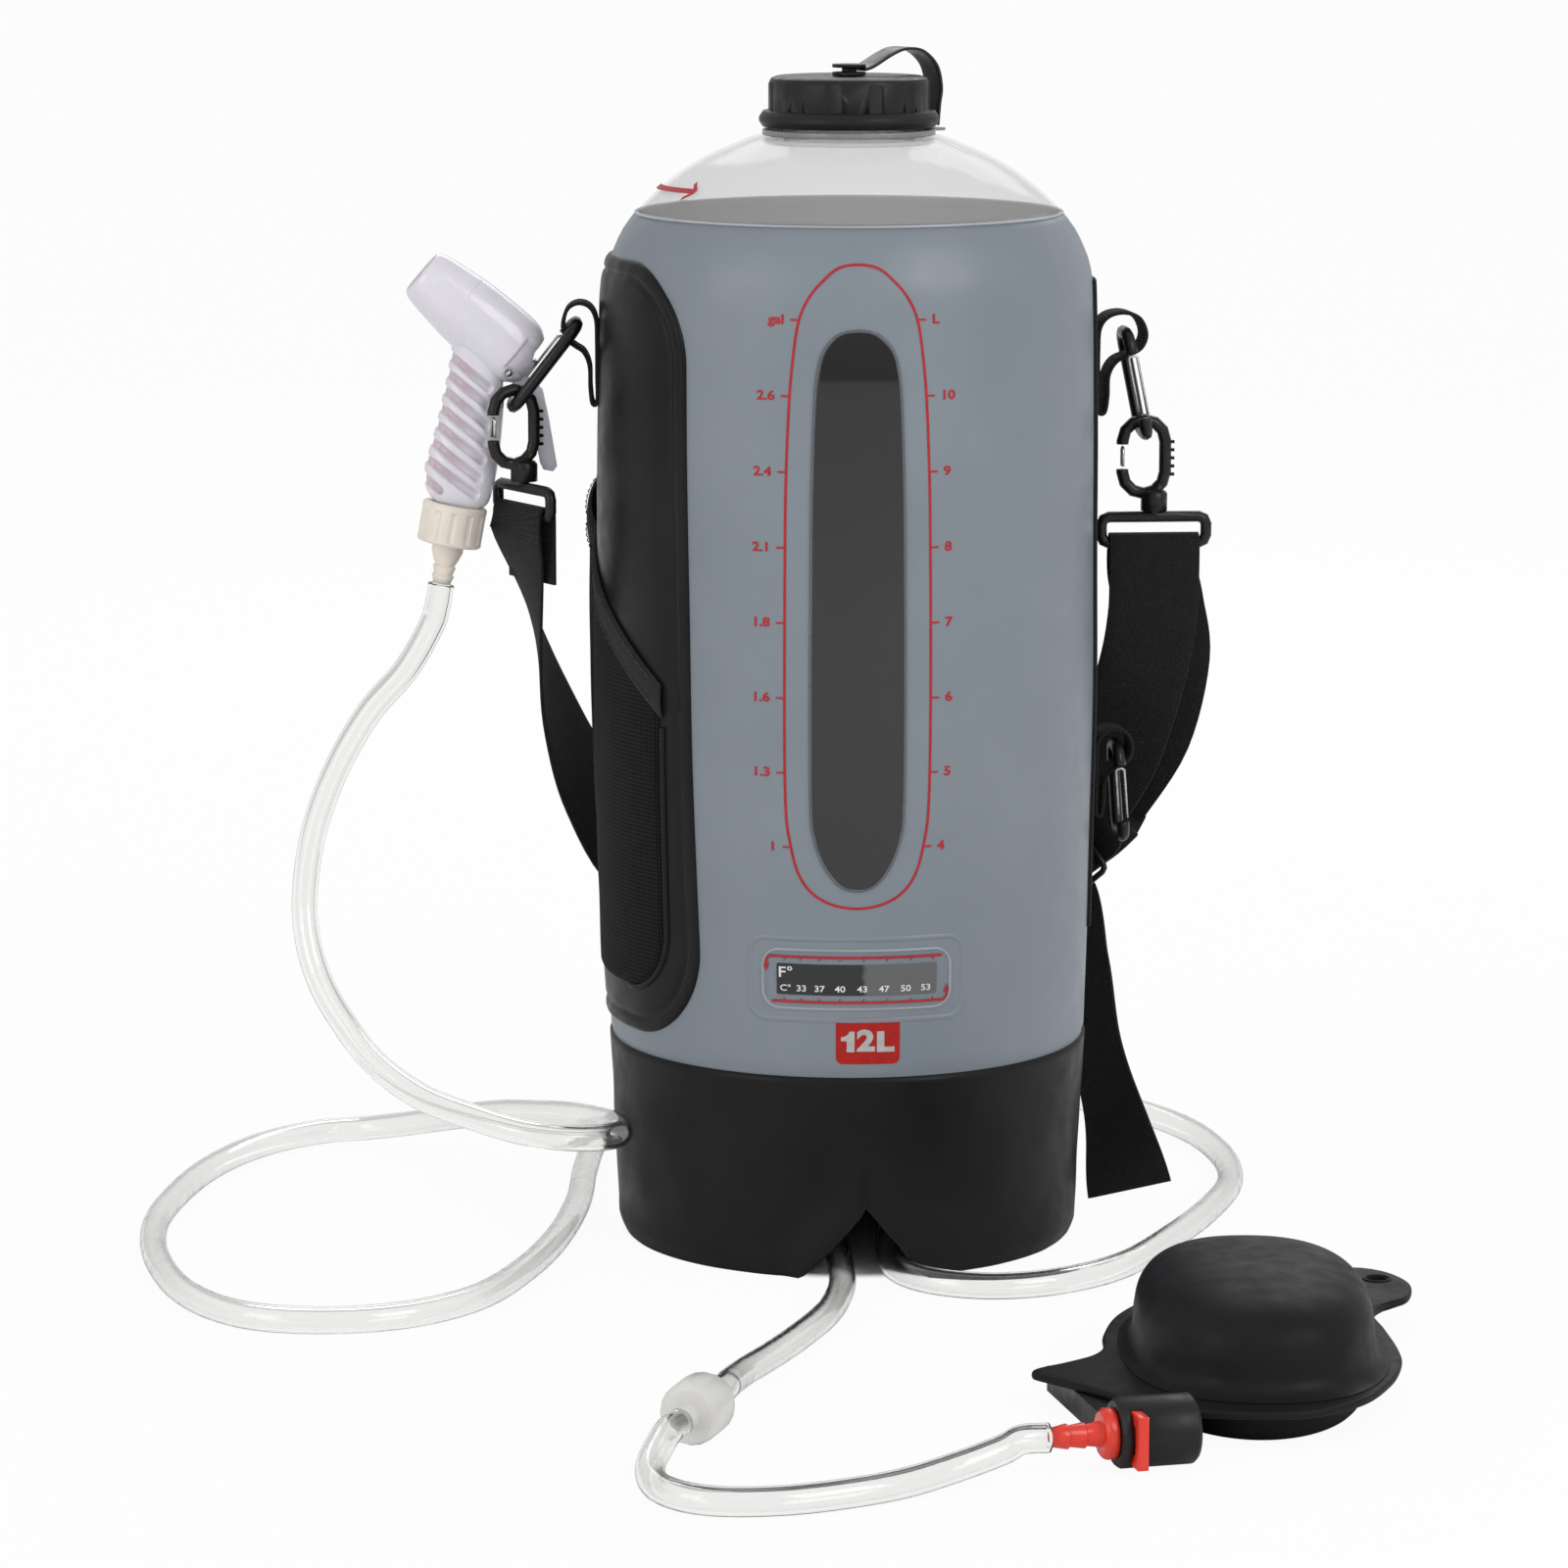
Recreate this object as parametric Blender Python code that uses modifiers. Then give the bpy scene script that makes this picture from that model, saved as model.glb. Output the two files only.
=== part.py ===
"""Camp shower bag: a soft water cylinder with a foot pump, a spray gun and a shoulder strap.

Lengths are in metres and +Z is up. The bag's axis is the Z axis while the pieces are made, and
the bag's front faces -Y. At the end the whole assembly is shifted so that the origin lies under
the middle of its box, on the floor. An azimuth is an angle about the bag's axis, measured from
the front towards +X.
"""
import math

import bmesh
import bpy
from mathutils import Matrix, Vector

# Fits
SEAT_GAP = 0.0003           # air between pieces that touch
PATCH_GAP = 0.0005          # air under a sheet that is welded to the wall
RUN_GAP = 0.0004            # air round a piece that moves
OVERRUN = 0.003             # how far a cutter passes the face that it cuts

# Bag
BODY_RADIUS = 0.1025
COLLAR_HEIGHT = 0.085
SEAM_HEIGHT = 0.430         # where the clear dome is welded to the grey wall
DOME_HEIGHT = 0.0305
FILM = 0.0012               # coated fabric and clear film
BAG_STEPS = 40
WALL_SHARES = [             # share of the wall's height, share of the body's radius
    (1.000, 0.8537), (0.977, 0.9112), (0.953, 0.9502), (0.929, 0.9756), (0.880, 0.9860),
    (0.640, 0.9970), (0.360, 1.0000), (0.000, 0.9727)]
INNER_WALL_SHARES = [0.000, 0.500, 0.929, 1.000]
DOME_SHARES = [             # share of the dome's height, share of the seam's radius
    (1.000, 0.4350), (0.860, 0.5640), (0.700, 0.6880), (0.520, 0.7920), (0.280, 0.9010), (0.000, 1.0000)]

# Base collar, a stiff skirt that the bag stands on
COLLAR_WALL = 0.0022
COLLAR_BOTTOM_RADIUS = 0.0970
COLLAR_TUCK_RADIUS = 0.0945
COLLAR_TUCK_HEIGHT = 0.009
NOTCH_HALF_WIDTH = 0.0285
NOTCH_HEIGHT = 0.030
NOTCH_FLAT = 0.004

# Bag floor, welded inside the seam and bulging down into the collar
FLOOR_HEM = 0.016
FLOOR_LOW = 0.043           # height of the flat middle
FLOOR_FLAT_RADIUS = 0.052
FLOOR_MID_RADIUS_SHARE = 0.82
FLOOR_MID_HEIGHT_SHARE = 0.38

# Filler neck and its ring
NECK_STEPS = 32
NECK_RADIUS = 0.0306
NECK_BORE = 0.0272
NECK_HEIGHT = 0.0200        # above the dome
NECK_FLANGE_RADIUS = 0.0355
NECK_FLANGE = 0.0016
THREAD_DEPTH = 0.0007
THREAD_PITCH = 0.0030
THREAD_TURNS = 2
NECK_RING_RADIUS = 0.0358
NECK_RING_HEIGHT = 0.0024
TETHER_AZIMUTH = math.radians(122.0)
LUG_REACH = 0.0445
LUG_WIDTH = 0.0150

# Cap, gasket, tether
CAP_RADIUS = 0.0333
CAP_HEIGHT = 0.0206
CAP_BRIM_RADIUS = 0.0372
CAP_BRIM_HEIGHT = 0.0066
CAP_BRIM_EDGE = 0.0016
CAP_BRIM_LIFT = 0.0037      # from the dome's top to the brim
CAP_WALL = 0.0014
CAP_TOP = 0.0022
CAP_SHOULDER = 0.0030
FLUTE_COUNT = 12
FLUTE_RADIUS = 0.0090
FLUTE_DEPTH = 0.0009
FLUTE_STEPS = 12
GASKET = 0.0018
BUTTON_RADIUS = 0.0070
BUTTON_NECK_RADIUS = 0.0030
BUTTON_DISC = 0.0014
TETHER_WIDTH = 0.0120
TETHER_THICKNESS = 0.0012
TETHER_PEAK = 0.0080        # how high the tether arches over the button
TETHER_SHARES = [           # share of the lug's reach, share of the arch's height
    (0.20, 0.16), (0.42, 0.75), (0.58, 1.00), (0.77, 0.86), (0.93, 0.10), (0.985, -1.00), (0.965, -1.90),
    (0.945, -2.45)]

# Front of the wall: window, thermometer
FRONT_AZIMUTH = math.radians(-2.4)
WINDOW_WIDTH = 0.0360
WINDOW_CORNER_SHARE = 0.98
WINDOW_LOW = 0.1590
WINDOW_HIGH = 0.3900
WINDOW_FILM = 0.0008
THERMO_WIDTH = 0.0800
THERMO_HEIGHT = 0.0260
THERMO_MIDDLE = 0.1270
THERMO_CORNER = 0.0060
THERMO_FILM = 0.0012
STRIP_WIDTH = 0.0680
STRIP_HEIGHT = 0.0150
STRIP_THICKNESS = 0.0006
STRIP_CORNER = 0.0010

# Left side panel with its pocket
SIDE_AZIMUTH = math.radians(-90.0)
PANEL_WIDTH = 0.1680        # along the wall
PANEL_LOW = 0.1030
PANEL_HIGH = 0.4180
PANEL_CORNER = 0.0400
PANEL_THICKNESS = 0.0014
POUCH_WIDTH = 0.1420
POUCH_LOW = 0.1160
POUCH_CORNER = 0.0260
POUCH_THICKNESS = 0.0014
POUCH_BULGE = 0.0075
BULGE_PLACE = -0.0450       # middle of the bulge, across the pouch
BULGE_HALF_WIDTH = 0.0300
MOUTH_FRONT = 0.2400        # height of the pocket's mouth at its front edge
MOUTH_BACK = 0.3300
BINDING_WIDTH = 0.0140
BINDING_THICKNESS = 0.0020

# Right side band
BAND_WIDTH = 0.0250
BAND_LOW = 0.1300
BAND_HIGH = 0.4020
BAND_THICKNESS = 0.0016

# Webbing loops
WEBBING = 0.0016
LOOP_WIDTH = 0.0150
LEFT_AZIMUTH = math.radians(-93.6)
RIGHT_AZIMUTH = math.radians(94.6)
LEFT_LOOP_DROP = 0.0790     # from the seam down to its foot
LEFT_LOOP_HEIGHT = 0.0400
LEFT_LOOP_REACH = 0.0130
RIGHT_LOOP_DROP = 0.0845
RIGHT_LOOP_HEIGHT = 0.0400
RIGHT_LOOP_REACH = 0.0190
LOWER_LOOP_LOW = 0.1750
LOWER_LOOP_HEIGHT = 0.0350
LOWER_LOOP_REACH = 0.0140
LOOP_SHARES = [             # share of the reach, share of the height
    (0.00, 0.02), (0.00, 0.30), (0.00, 0.62), (0.03, 0.86), (0.22, 0.985), (0.55, 1.02), (0.86, 0.96),
    (1.00, 0.80),
    (0.90, 0.66), (0.64, 0.585), (0.38, 0.52), (0.22, 0.38), (0.20, 0.16), (0.14, 0.00)]
BAR_REACH_SHARE = 0.62      # where a hook's bar lies in a loop
BAR_HEIGHT_SHARE = 0.80

# Carabiners, all of one pattern
CARABINER_BAR = 0.0026      # radius of the bar
CARABINER_WIDTH = 0.0240    # between the middles of the two sides
CARABINER_LENGTH = 0.0430   # between the middles of the two ends
LEFT_SWING = math.radians(38.0)
RIGHT_SWING = math.radians(-11.5)
ACCESSORY_LENGTH = 0.0380
ACCESSORY_WIDTH = 0.0220
ACCESSORY_SWING = math.radians(-4.0)
GATE_WIRE = 0.0007
GATE_GAP = 0.0007
GATE_HALF_SPREAD = 0.0018
GATE_LUG = 0.0012           # straight ends of the bar beside the gate
CARABINER_CORNER_SHARE = 0.26       # a corner's radius as a share of the width
CORNER_STEPS = 3

# Swivel snap hooks, rings and the swivel pins in them
HOOK_BAR = 0.0026
HOOK_WIDTH = 0.0180         # between the middles of the two sides
HOOK_LENGTH = 0.0310        # from the middle of the top arc to the foot of the eye
BARREL_RADIUS = 0.0056
BARREL_HEIGHT = 0.0085
PIN_RADIUS = 0.0022
PIN_HEAD_RADIUS = 0.0036
PIN_HEAD = 0.0018
RING_BAR = 0.0024
RING_WIDTH = 0.0490
RING_HEIGHT = 0.0110
RING_CORNER = 0.0032
LEFT_HOOK_SHIFT = -0.0080   # from the middle of its carabiner towards the front
LEFT_HOOK_RISE = 0.0018     # how far the carabiner's corner lifts it there
LEFT_YAW = math.radians(20.0)
LEFT_RING_YAW = math.radians(-82.0)
HOOK_OFFSET = 0.0045        # from the middle of the hook's eye to its barrel
HOOK_STEPS = 14
HOOK_RIB_COUNT = 5
HOOK_RIB = 0.0012

# Shoulder strap
STRAP_WIDTH = 0.0380
STRAP_THICKNESS = 0.0014
FOLD_STEPS = 5
FOLD_LEAD = 0.0120          # straight length beside a ring's bar
STRAP_PER_SPAN = 2
STRAP_SEWN = 0.0280         # length of the end that is sewn back behind a ring
SLIDER_BAR = 0.0014
SLIDER_PITCH = 0.0130       # between its middle bar and an outer one
SLIDER_LEAVING_SHARES = [(0.5, 1.4), (1.0, 1.7), (1.7, 1.7)]    # share of the pitch, share of the rise
TAIL_START_SHARE = 1.25
TAIL_RISE_SHARE = 1.22
SLIDER_WIDTH = 0.0450
SLIDER_PLACE = (0.1010, 0.0860, 0.1480)
SLIDER_DOWN = (-0.566, 0.540, -0.622)
SLIDER_OUT = (0.690, 0.724, 0.0)
TAIL_TIP = (0.1250, 0.0300, 0.0045)

# Spray gun, in the frame of its handle: z up the handle, x towards the trigger
GUN_LEAN = math.radians(10.5)
GUN_SIDE_SHIFT = 0.0035     # the gun's middle plane, behind the carabiner's
GUN_HANG_X = 0.0234         # from the handle's foot to the carabiner's lower bar
GUN_HANG_Z = 0.0374
HANDLE_LENGTH = 0.0540
HANDLE_WIDTH = 0.0270
HANDLE_DEPTH = 0.0210
HANDLE_STEPS = 16
HANDLE_SHARES = [           # share of the length, share of the width, shift as a share of the width
    (0.00, 0.80, 0.00), (0.05, 0.92, -0.02), (0.22, 1.00, -0.06), (0.45, 0.95, -0.04), (0.70, 0.87, 0.00),
    (0.95, 0.84, 0.02), (1.22, 0.80, 0.04)]
SLOT_COUNT = 7
SLOT_START_SHARE = 0.09
SLOT_PITCH_SHARE = 0.112
SLOT_HEIGHT = 0.0032
SLOT_WIDTH = 0.0190
SLOT_DEPTH = 0.0030
SLOT_SLANT = math.radians(24.0)
BARREL_TILT = math.radians(30.5)
BARREL_FROM_AXIS = 0.0325   # from the handle's axis to the spray face
BARREL_RISE = 0.0706        # where the barrel's axis meets the handle's
GUN_BARREL = 0.0560
GUN_FRONT_RADIUS = 0.0118
GUN_REAR_RADIUS = 0.0140
GUN_STEPS = 24
WATERWAY_STEPS = 18         # not a divisor of the barrel's own
HANDLE_BORE_STEPS = 14
WATERWAY_RADIUS = 0.0035
FACE_RADIUS = 0.0092
FACE_DEPTH = 0.0080
FACE_THICKNESS = 0.0026
FACE_HOLE = 0.0008
FACE_HOLE_COUNT = 6
SEAT_DEPTH = 0.0260         # valve seat, from the spray face
SEAT_HOLE = 0.0028
CHAMBER_RADIUS = 0.0050
CHAMBER_END = 0.0440
STEM_RADIUS = 0.0017
STEM_HEAD_RADIUS = 0.0043
STEM_HEAD = 0.0020
STEM_BUTTON_RADIUS = 0.0034
STEM_BUTTON = 0.0016
SPRING_WIRE = 0.0005
SPRING_RADIUS = 0.0034
SPRING_TURNS = 5
SPRING_POINTS = 6           # along one turn
BUTTON_START = 0.0562       # valve button, from the spray face
SLOT_START = 0.0465         # trigger slot, from the spray face
SLOT_RISE = 0.0045          # above the barrel's axis
SLOT_DROP = 0.0080
ROOM_LEFT = 0.0066          # trigger's room in the handle, from the handle's axis
ROOM_LOW = 0.0430           # from the handle's foot
TRIGGER_THICKNESS = 0.0080
TRIGGER_LENGTH = 0.0450
PIVOT_DEPTH = 0.0510        # pivot, from the spray face
PIVOT_DROP = 0.0080         # pivot, below the barrel's axis
PIVOT_PIN_RADIUS = 0.0015
PIVOT_PIN_LENGTH = 0.0200
TRIGGER_SHARES = [          # outline about the pivot, in shares of the trigger's length
    (-0.080, -0.033), (-0.056, 0.067), (0.104, 0.222), (0.198, 0.166), (0.118, 0.020),
    (0.256, -0.052), (0.344, -0.111),
    (0.444, -0.356), (0.596, -0.778), (0.569, -0.833), (0.478, -0.833), (0.436, -0.778), (0.289, -0.400),
    (0.218, -0.233), (0.089, -0.111)]

# Hose nut and barbed tail of the gun
SPIGOT_RADIUS = 0.0092
SPIGOT_LENGTH = 0.0130
NUT_RADIUS = 0.0135
NUT_HEIGHT = 0.0170
NUT_DROP = 0.0040           # from the handle's foot to the nut's top
NUT_LIP = 0.0036
NUT_FLUTES = 12
NUT_FLUTE_RADIUS = 0.0022
TAIL_COLLAR = 0.0038
TAIL_RADIUS = 0.0066
TAIL_LENGTH = 0.0170        # below the nut

# Hoses
HOSE_RADIUS = 0.0055
HOSE_BORE = 0.0040
HOSE_SPACING = 0.0290       # between the points of a tube
HOSE_LEAD = 0.0100          # straight length at each end
HOSE_SIDE_STEPS = 2
BARB_SHARES = [             # share of a barb's length, share of the hose's bore
    (0.00, 0.88), (0.34, 1.20), (0.36, 0.98), (0.68, 1.22), (0.70, 1.00)]

# Fittings under the bag
FITTING_X = 0.0140
FITTING_Y = -0.0200
FITTING_AXIS_HEIGHT = 0.0150
FITTING_STEM = 0.0060
FITTING_BORE = 0.0028
FITTING_BARB = 0.0200
FITTING_FLANGE_RADIUS = 0.0110
FITTING_FLANGE = 0.0020
FITTING_NUT_RADIUS = 0.0120
FITTING_NUT = 0.0045
FITTING_RISE = 0.0070       # stem above the bag's floor

# Check valve in the pump hose
VALVE_X = -0.0815
VALVE_Y = -0.3250
VALVE_TURN = math.radians(-23.0)
VALVE_RADIUS = 0.0120
VALVE_LENGTH = 0.0240
VALVE_NECK = 0.0046
VALVE_REACH = 0.0200        # half of the length over both spigots
VALVE_CHAMBER = 0.0085
VALVE_DISC_RADIUS = 0.0068
VALVE_DISC = 0.0014
VALVE_LIFT = 0.0015

# Foot pump, in its own frame: x across, y along
PUMP_X = 0.1317
PUMP_Y = -0.2669
PUMP_TURN = math.radians(-4.0)
PUMP_HALF_WIDTH = 0.0540
PUMP_HALF_LENGTH = 0.0870
PUMP_SHEET = 0.0030
TRAY_HEIGHT = 0.0120
TRAY_HALF_WIDTH = 0.0440
TRAY_HALF_LENGTH = 0.0750
TRAY_WALL = 0.0030
PUMP_STEPS = 32
DOME_HALF_WIDTH = 0.0463
DOME_HALF_LENGTH = 0.0730
PUMP_DOME_HEIGHT = 0.0370
PUMP_SKIN = 0.0026
FOAM_CLEARANCE = 0.0012
FOAM_FLOOR = 0.0070         # height of the foam's underside
EYELET_RADIUS = 0.0040
EYELET_SHARES = (1.11, 1.20)
INTAKE_RADIUS = 0.0050
FLAP_RADIUS = 0.0085
FLAP_THICKNESS = 0.0010
PUMP_OUTLINE_SHARES = [     # shares of the half width and of the half length
    (1.00, 0.00), (0.97, 0.34), (0.95, 0.60), (1.11, 0.78), (1.31, 0.91), (1.33, 1.15), (1.19, 1.36),
    (0.96, 1.43),
    (0.76, 1.28), (0.60, 1.08), (0.28, 1.02), (-0.19, 1.01), (-0.59, 0.87), (-0.87, 0.58), (-1.00, 0.25),
    (-1.02, 0.04), (-1.12, -0.10), (-1.33, -0.22), (-1.54, -0.31), (-1.60, -0.37), (-1.52, -0.42),
    (-1.22, -0.60),
    (-0.89, -0.83), (-0.56, -0.96), (-0.15, -1.01), (0.30, -0.99), (0.67, -0.80), (0.89, -0.51),
    (0.99, -0.23)]
PUMP_DOME_SHARES = [        # share of the dome's radius, share of its height
    (0.00, 1.000), (0.42, 0.965), (0.68, 0.870), (0.86, 0.690), (0.94, 0.420), (0.965, 0.100),
    (1.00, 0.050),
    (1.00, 0.000)]

# Quick connector of the pump
CONNECTOR_X = -0.0425
CONNECTOR_Y = -0.1050
CONNECTOR_TURN = math.radians(14.0)
CONNECTOR_RADIUS = 0.0130
CONNECTOR_LENGTH = 0.0300
BARB_COLLAR_RADIUS = 0.0095
BARB_COLLAR = 0.0050
PUMP_BARB = 0.0190
BARB_PLUG_RADIUS = 0.0060
BARB_PLUG = 0.0100
CLIP_THICKNESS = 0.0040
CLIP_HALF_GAP = 0.0052      # half of the space between its legs
CLIP_HALF_WIDTH = 0.0100
CLIP_STAND = 0.0040         # how far the clip stands out of the housing
CLIP_BRIDGE = 0.0040
CLIP_LEG_END = -0.0030
CLIP_TRAVEL = 0.0040
CLIP_FROM_FACE = 0.0060
PLUG_GROOVE_RADIUS = 0.0048
BOSS_HALF_WIDTH = 0.0110
BOSS_LOW = 0.0020
PORT_HOLE = 0.0030

# Routes of the hoses, chosen by hand, in metres from the bag's axis on the floor
SHOWER_HOSE_ROUTE = [
    (-0.174, 0.0115, 0.256), (-0.1845, 0.0115, 0.238), (-0.200, 0.010, 0.2205), (-0.2134, 0.009, 0.198),
    (-0.2232, 0.0075, 0.173), (-0.2276, 0.004, 0.149), (-0.2274, -0.002, 0.129), (-0.222, -0.0105, 0.110),
    (-0.212, -0.022, 0.094), (-0.199, -0.037, 0.080), (-0.181, -0.054, 0.070), (-0.160, -0.071, 0.065),
    (-0.139, -0.085, 0.0615), (-0.118, -0.087, 0.059), (-0.101, -0.072, 0.0565), (-0.100, -0.044, 0.054),
    (-0.108, -0.016, 0.0505), (-0.119, 0.008, 0.047), (-0.130, 0.035, 0.0415), (-0.146, 0.074, 0.033),
    (-0.164, 0.112, 0.0225), (-0.182, 0.143, 0.013), (-0.203, 0.160, 0.007), (-0.227, 0.158, 0.0057),
    (-0.252, 0.134, 0.0057), (-0.272, 0.094, 0.0057), (-0.285, 0.046, 0.0057), (-0.2925, -0.006, 0.0057),
    (-0.290, -0.062, 0.0057), (-0.277, -0.118, 0.0057), (-0.254, -0.154, 0.0057), (-0.222, -0.166, 0.0057),
    (-0.188, -0.160, 0.0057), (-0.160, -0.136, 0.0057), (-0.140, -0.094, 0.0057), (-0.1245, -0.041, 0.0057),
    (-0.1135, 0.022, 0.0057), (-0.108, 0.084, 0.0057), (-0.099, 0.141, 0.0057), (-0.072, 0.190, 0.0057),
    (-0.024, 0.220, 0.0057), (0.040, 0.231, 0.0057), (0.098, 0.219, 0.0057), (0.137, 0.189, 0.0057),
    (0.163, 0.143, 0.0057), (0.173, 0.090, 0.0057), (0.170, 0.038, 0.0057), (0.154, -0.010, 0.0057),
    (0.132, -0.056, 0.0057), (0.106, -0.101, 0.0057), (0.078, -0.125, 0.0057), (0.050, -0.132, 0.0057),
    (0.026, -0.123, 0.0057), (0.0125, -0.104, 0.0060), (0.0105, -0.084, 0.0082), (0.0128, -0.063, 0.0128)]
BAG_HOSE_ROUTE = [
    (-0.0128, -0.063, 0.0128), (-0.0105, -0.084, 0.0082), (-0.0105, -0.104, 0.0060),
    (-0.0130, -0.132, 0.0057),
    (-0.0210, -0.168, 0.0057), (-0.0350, -0.203, 0.0057), (-0.0480, -0.232, 0.0062),
    (-0.0600, -0.262, 0.0085),
    (-0.0675, -0.288, 0.0115)]
PUMP_HOSE_ROUTE = [
    (-0.0965, -0.3610, 0.0105), (-0.1015, -0.3800, 0.0070), (-0.1005, -0.3990, 0.0057),
    (-0.0915, -0.4140, 0.0057),
    (-0.0770, -0.4210, 0.0057), (-0.0560, -0.4210, 0.0057), (-0.0340, -0.4145, 0.0057),
    (-0.0120, -0.4040, 0.0060),
    (0.0080, -0.3920, 0.0080), (0.0250, -0.3830, 0.0112)]

# Routes of the strap's layers between its rings and the slider, in metres from the bag's axis,
# each with the direction of the strap's width
FRONT_LAYER_ROUTE = [
    ((0.1295, 0.0100, 0.258), (1.0, 0.0, 0.0)), ((0.1270, 0.0200, 0.234), (0.99, -0.10, -0.05)),
    ((0.1200, 0.0450, 0.196), (0.90, -0.30, -0.32)), ((0.1120, 0.0640, 0.173), (0.70, -0.38, -0.60))]
REAR_ROUTE = [
    ((0.0850, 0.1050, 0.130), (0.30, -0.26, -0.92)), ((0.0480, 0.1200, 0.118), (0.12, -0.05, -0.99)),
    ((0.0000, 0.1240, 0.112), (0.0, 0.0, -1.0)), ((-0.0450, 0.1200, 0.120), (-0.12, -0.05, -0.99)),
    ((-0.0850, 0.1010, 0.142), (-0.32, -0.27, -0.91)), ((-0.1080, 0.0740, 0.180), (-0.37, -0.54, -0.76)),
    ((-0.1220, 0.0420, 0.218), (-0.22, -0.82, -0.53)), ((-0.1300, 0.0200, 0.252), (0.05, -0.95, -0.30))]
BACK_LAYER_ROUTE = [
    ((0.1220, 0.0850, 0.170), (0.75, -0.38, -0.55)), ((0.1350, 0.0620, 0.200), (0.90, -0.25, -0.30)),
    ((0.1390, 0.0380, 0.236), (0.98, -0.10, -0.08)), ((0.1340, 0.0220, 0.260), (1.0, 0.0, 0.0))]
STRAP_TAIL_ROUTE = [
    ((0.1010, 0.0980, 0.122), (0.62, -0.55, -0.40)), ((0.1080, 0.0780, 0.092), (0.50, -0.80, -0.20)),
    ((0.1130, 0.0560, 0.062), (0.45, -0.88, 0.0)), ((0.1200, 0.0400, 0.032), (0.62, -0.78, 0.0))]

PARTS = "camp_shower_bag"
CUTTERS = "cutters"
HOSE_PIECES = ("shower_hose", "pump_hose_near", "pump_hose_far", "check_valve_body", "check_valve_disc")


# Scene, collections and materials

def clear_scene():
    for obj in list(bpy.data.objects):
        bpy.data.objects.remove(obj, do_unlink=True)


def collection(name):
    found = bpy.data.collections.get(name) or bpy.data.collections.new(name)
    if found.name not in bpy.context.scene.collection.children:
        bpy.context.scene.collection.children.link(found)
    return found


def material(name, colour, roughness, metallic=0.0, alpha=1.0):
    made = bpy.data.materials.new(name)
    made.use_nodes = True
    shader = made.node_tree.nodes["Principled BSDF"]
    shader.inputs["Base Color"].default_value = (*colour, 1.0)
    shader.inputs["Roughness"].default_value = roughness
    shader.inputs["Metallic"].default_value = metallic
    shader.inputs["Alpha"].default_value = alpha
    return made


def grey_fabric():
    return material("grey_fabric", (0.20, 0.24, 0.28), 0.45)


def clear_film():
    return material("clear_film", (0.80, 0.80, 0.80), 0.10, alpha=0.35)


def black_fabric():
    return material("black_fabric", (0.018, 0.018, 0.019), 0.60)


def black_webbing():
    return material("black_webbing", (0.010, 0.010, 0.011), 0.85)


def black_plastic():
    return material("black_plastic", (0.012, 0.012, 0.013), 0.35)


def black_rubber():
    return material("black_rubber", (0.016, 0.016, 0.017), 0.50)


def white_plastic():
    return material("white_plastic", (0.70, 0.66, 0.76), 0.30)


def cream_plastic():
    return material("cream_plastic", (0.70, 0.62, 0.52), 0.40)


def red_plastic():
    return material("red_plastic", (0.80, 0.04, 0.02), 0.30)


def steel():
    return material("steel", (0.60, 0.60, 0.60), 0.25, metallic=1.0)


def foam():
    return material("foam", (0.10, 0.10, 0.10), 0.95)


# Building helpers

def empty(name, parent, place=(0.0, 0.0, 0.0), turn=None):
    made = bpy.data.objects.new(name, None)
    bpy.context.scene.collection.objects.link(made)
    made.parent = parent
    made.location = place
    if turn is not None:
        made.rotation_euler = turn.to_euler()
    return made


def add(name, data, parent, look=None, place=(0.0, 0.0, 0.0), turn=None, cutter=False):
    """Links an object as a part or, with cutter, as a shape that only cuts or joins."""
    made = bpy.data.objects.new(name, data)
    collection(CUTTERS if cutter else PARTS).objects.link(made)
    made.parent = parent
    made.location = place
    if turn is not None:
        made.rotation_euler = turn.to_euler()
    if look is not None:
        data.materials.append(look)
    if cutter:
        made.display_type = "WIRE"
        made.hide_render = True
    return made


def mesh_from(name, fill):
    """Makes a mesh datablock with the bmesh that fill works on."""
    work = bmesh.new()
    fill(work)
    data = bpy.data.meshes.new(name)
    work.to_mesh(data)
    work.free()
    return data


def smooth(obj, angle=math.radians(35.0)):
    obj.data.shade_smooth()
    obj.data.set_sharp_from_angle(angle=angle)
    return obj


def turned(name, profile, parent, look=None, steps=GUN_STEPS, ring=False, **where):
    """Turns a profile of (radius, height) points about Z, from the top of its outer side down."""
    data = bpy.data.meshes.new(name)
    edges = [(i, i + 1) for i in range(len(profile) - 1)]
    if ring:
        edges.append((len(profile) - 1, 0))
    data.from_pydata([(radius, 0.0, height) for radius, height in profile], edges, [])
    made = add(name, data, parent, look, **where)
    screw = made.modifiers.new("turn", "SCREW")
    screw.steps = steps
    screw.render_steps = steps
    screw.use_merge_vertices = not ring
    screw.merge_threshold = 0.00001
    screw.use_smooth_shade = True
    return made


def rod(name, radius, length, parent, look=None, steps=GUN_STEPS, **where):
    """A cylinder about its own Z, with its middle at its origin."""
    def fill(work):
        bmesh.ops.create_cone(work, cap_ends=True, segments=steps, radius1=radius, radius2=radius, depth=length)
    return add(name, mesh_from(name, fill), parent, look, **where)


def block(name, size, parent, look=None, bevel=0.0, **where):
    """A box of the given size, with its middle at its origin."""
    def fill(work):
        bmesh.ops.create_cube(work, size=1.0)
        bmesh.ops.scale(work, verts=work.verts, vec=Vector(size))
    made = add(name, mesh_from(name, fill), parent, look, **where)
    if bevel:
        round_edges(made, bevel)
    return made


def round_edges(obj, width, segments=2):
    bevel = obj.modifiers.new("round", "BEVEL")
    bevel.width = width
    bevel.segments = segments
    bevel.limit_method = "ANGLE"


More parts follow.
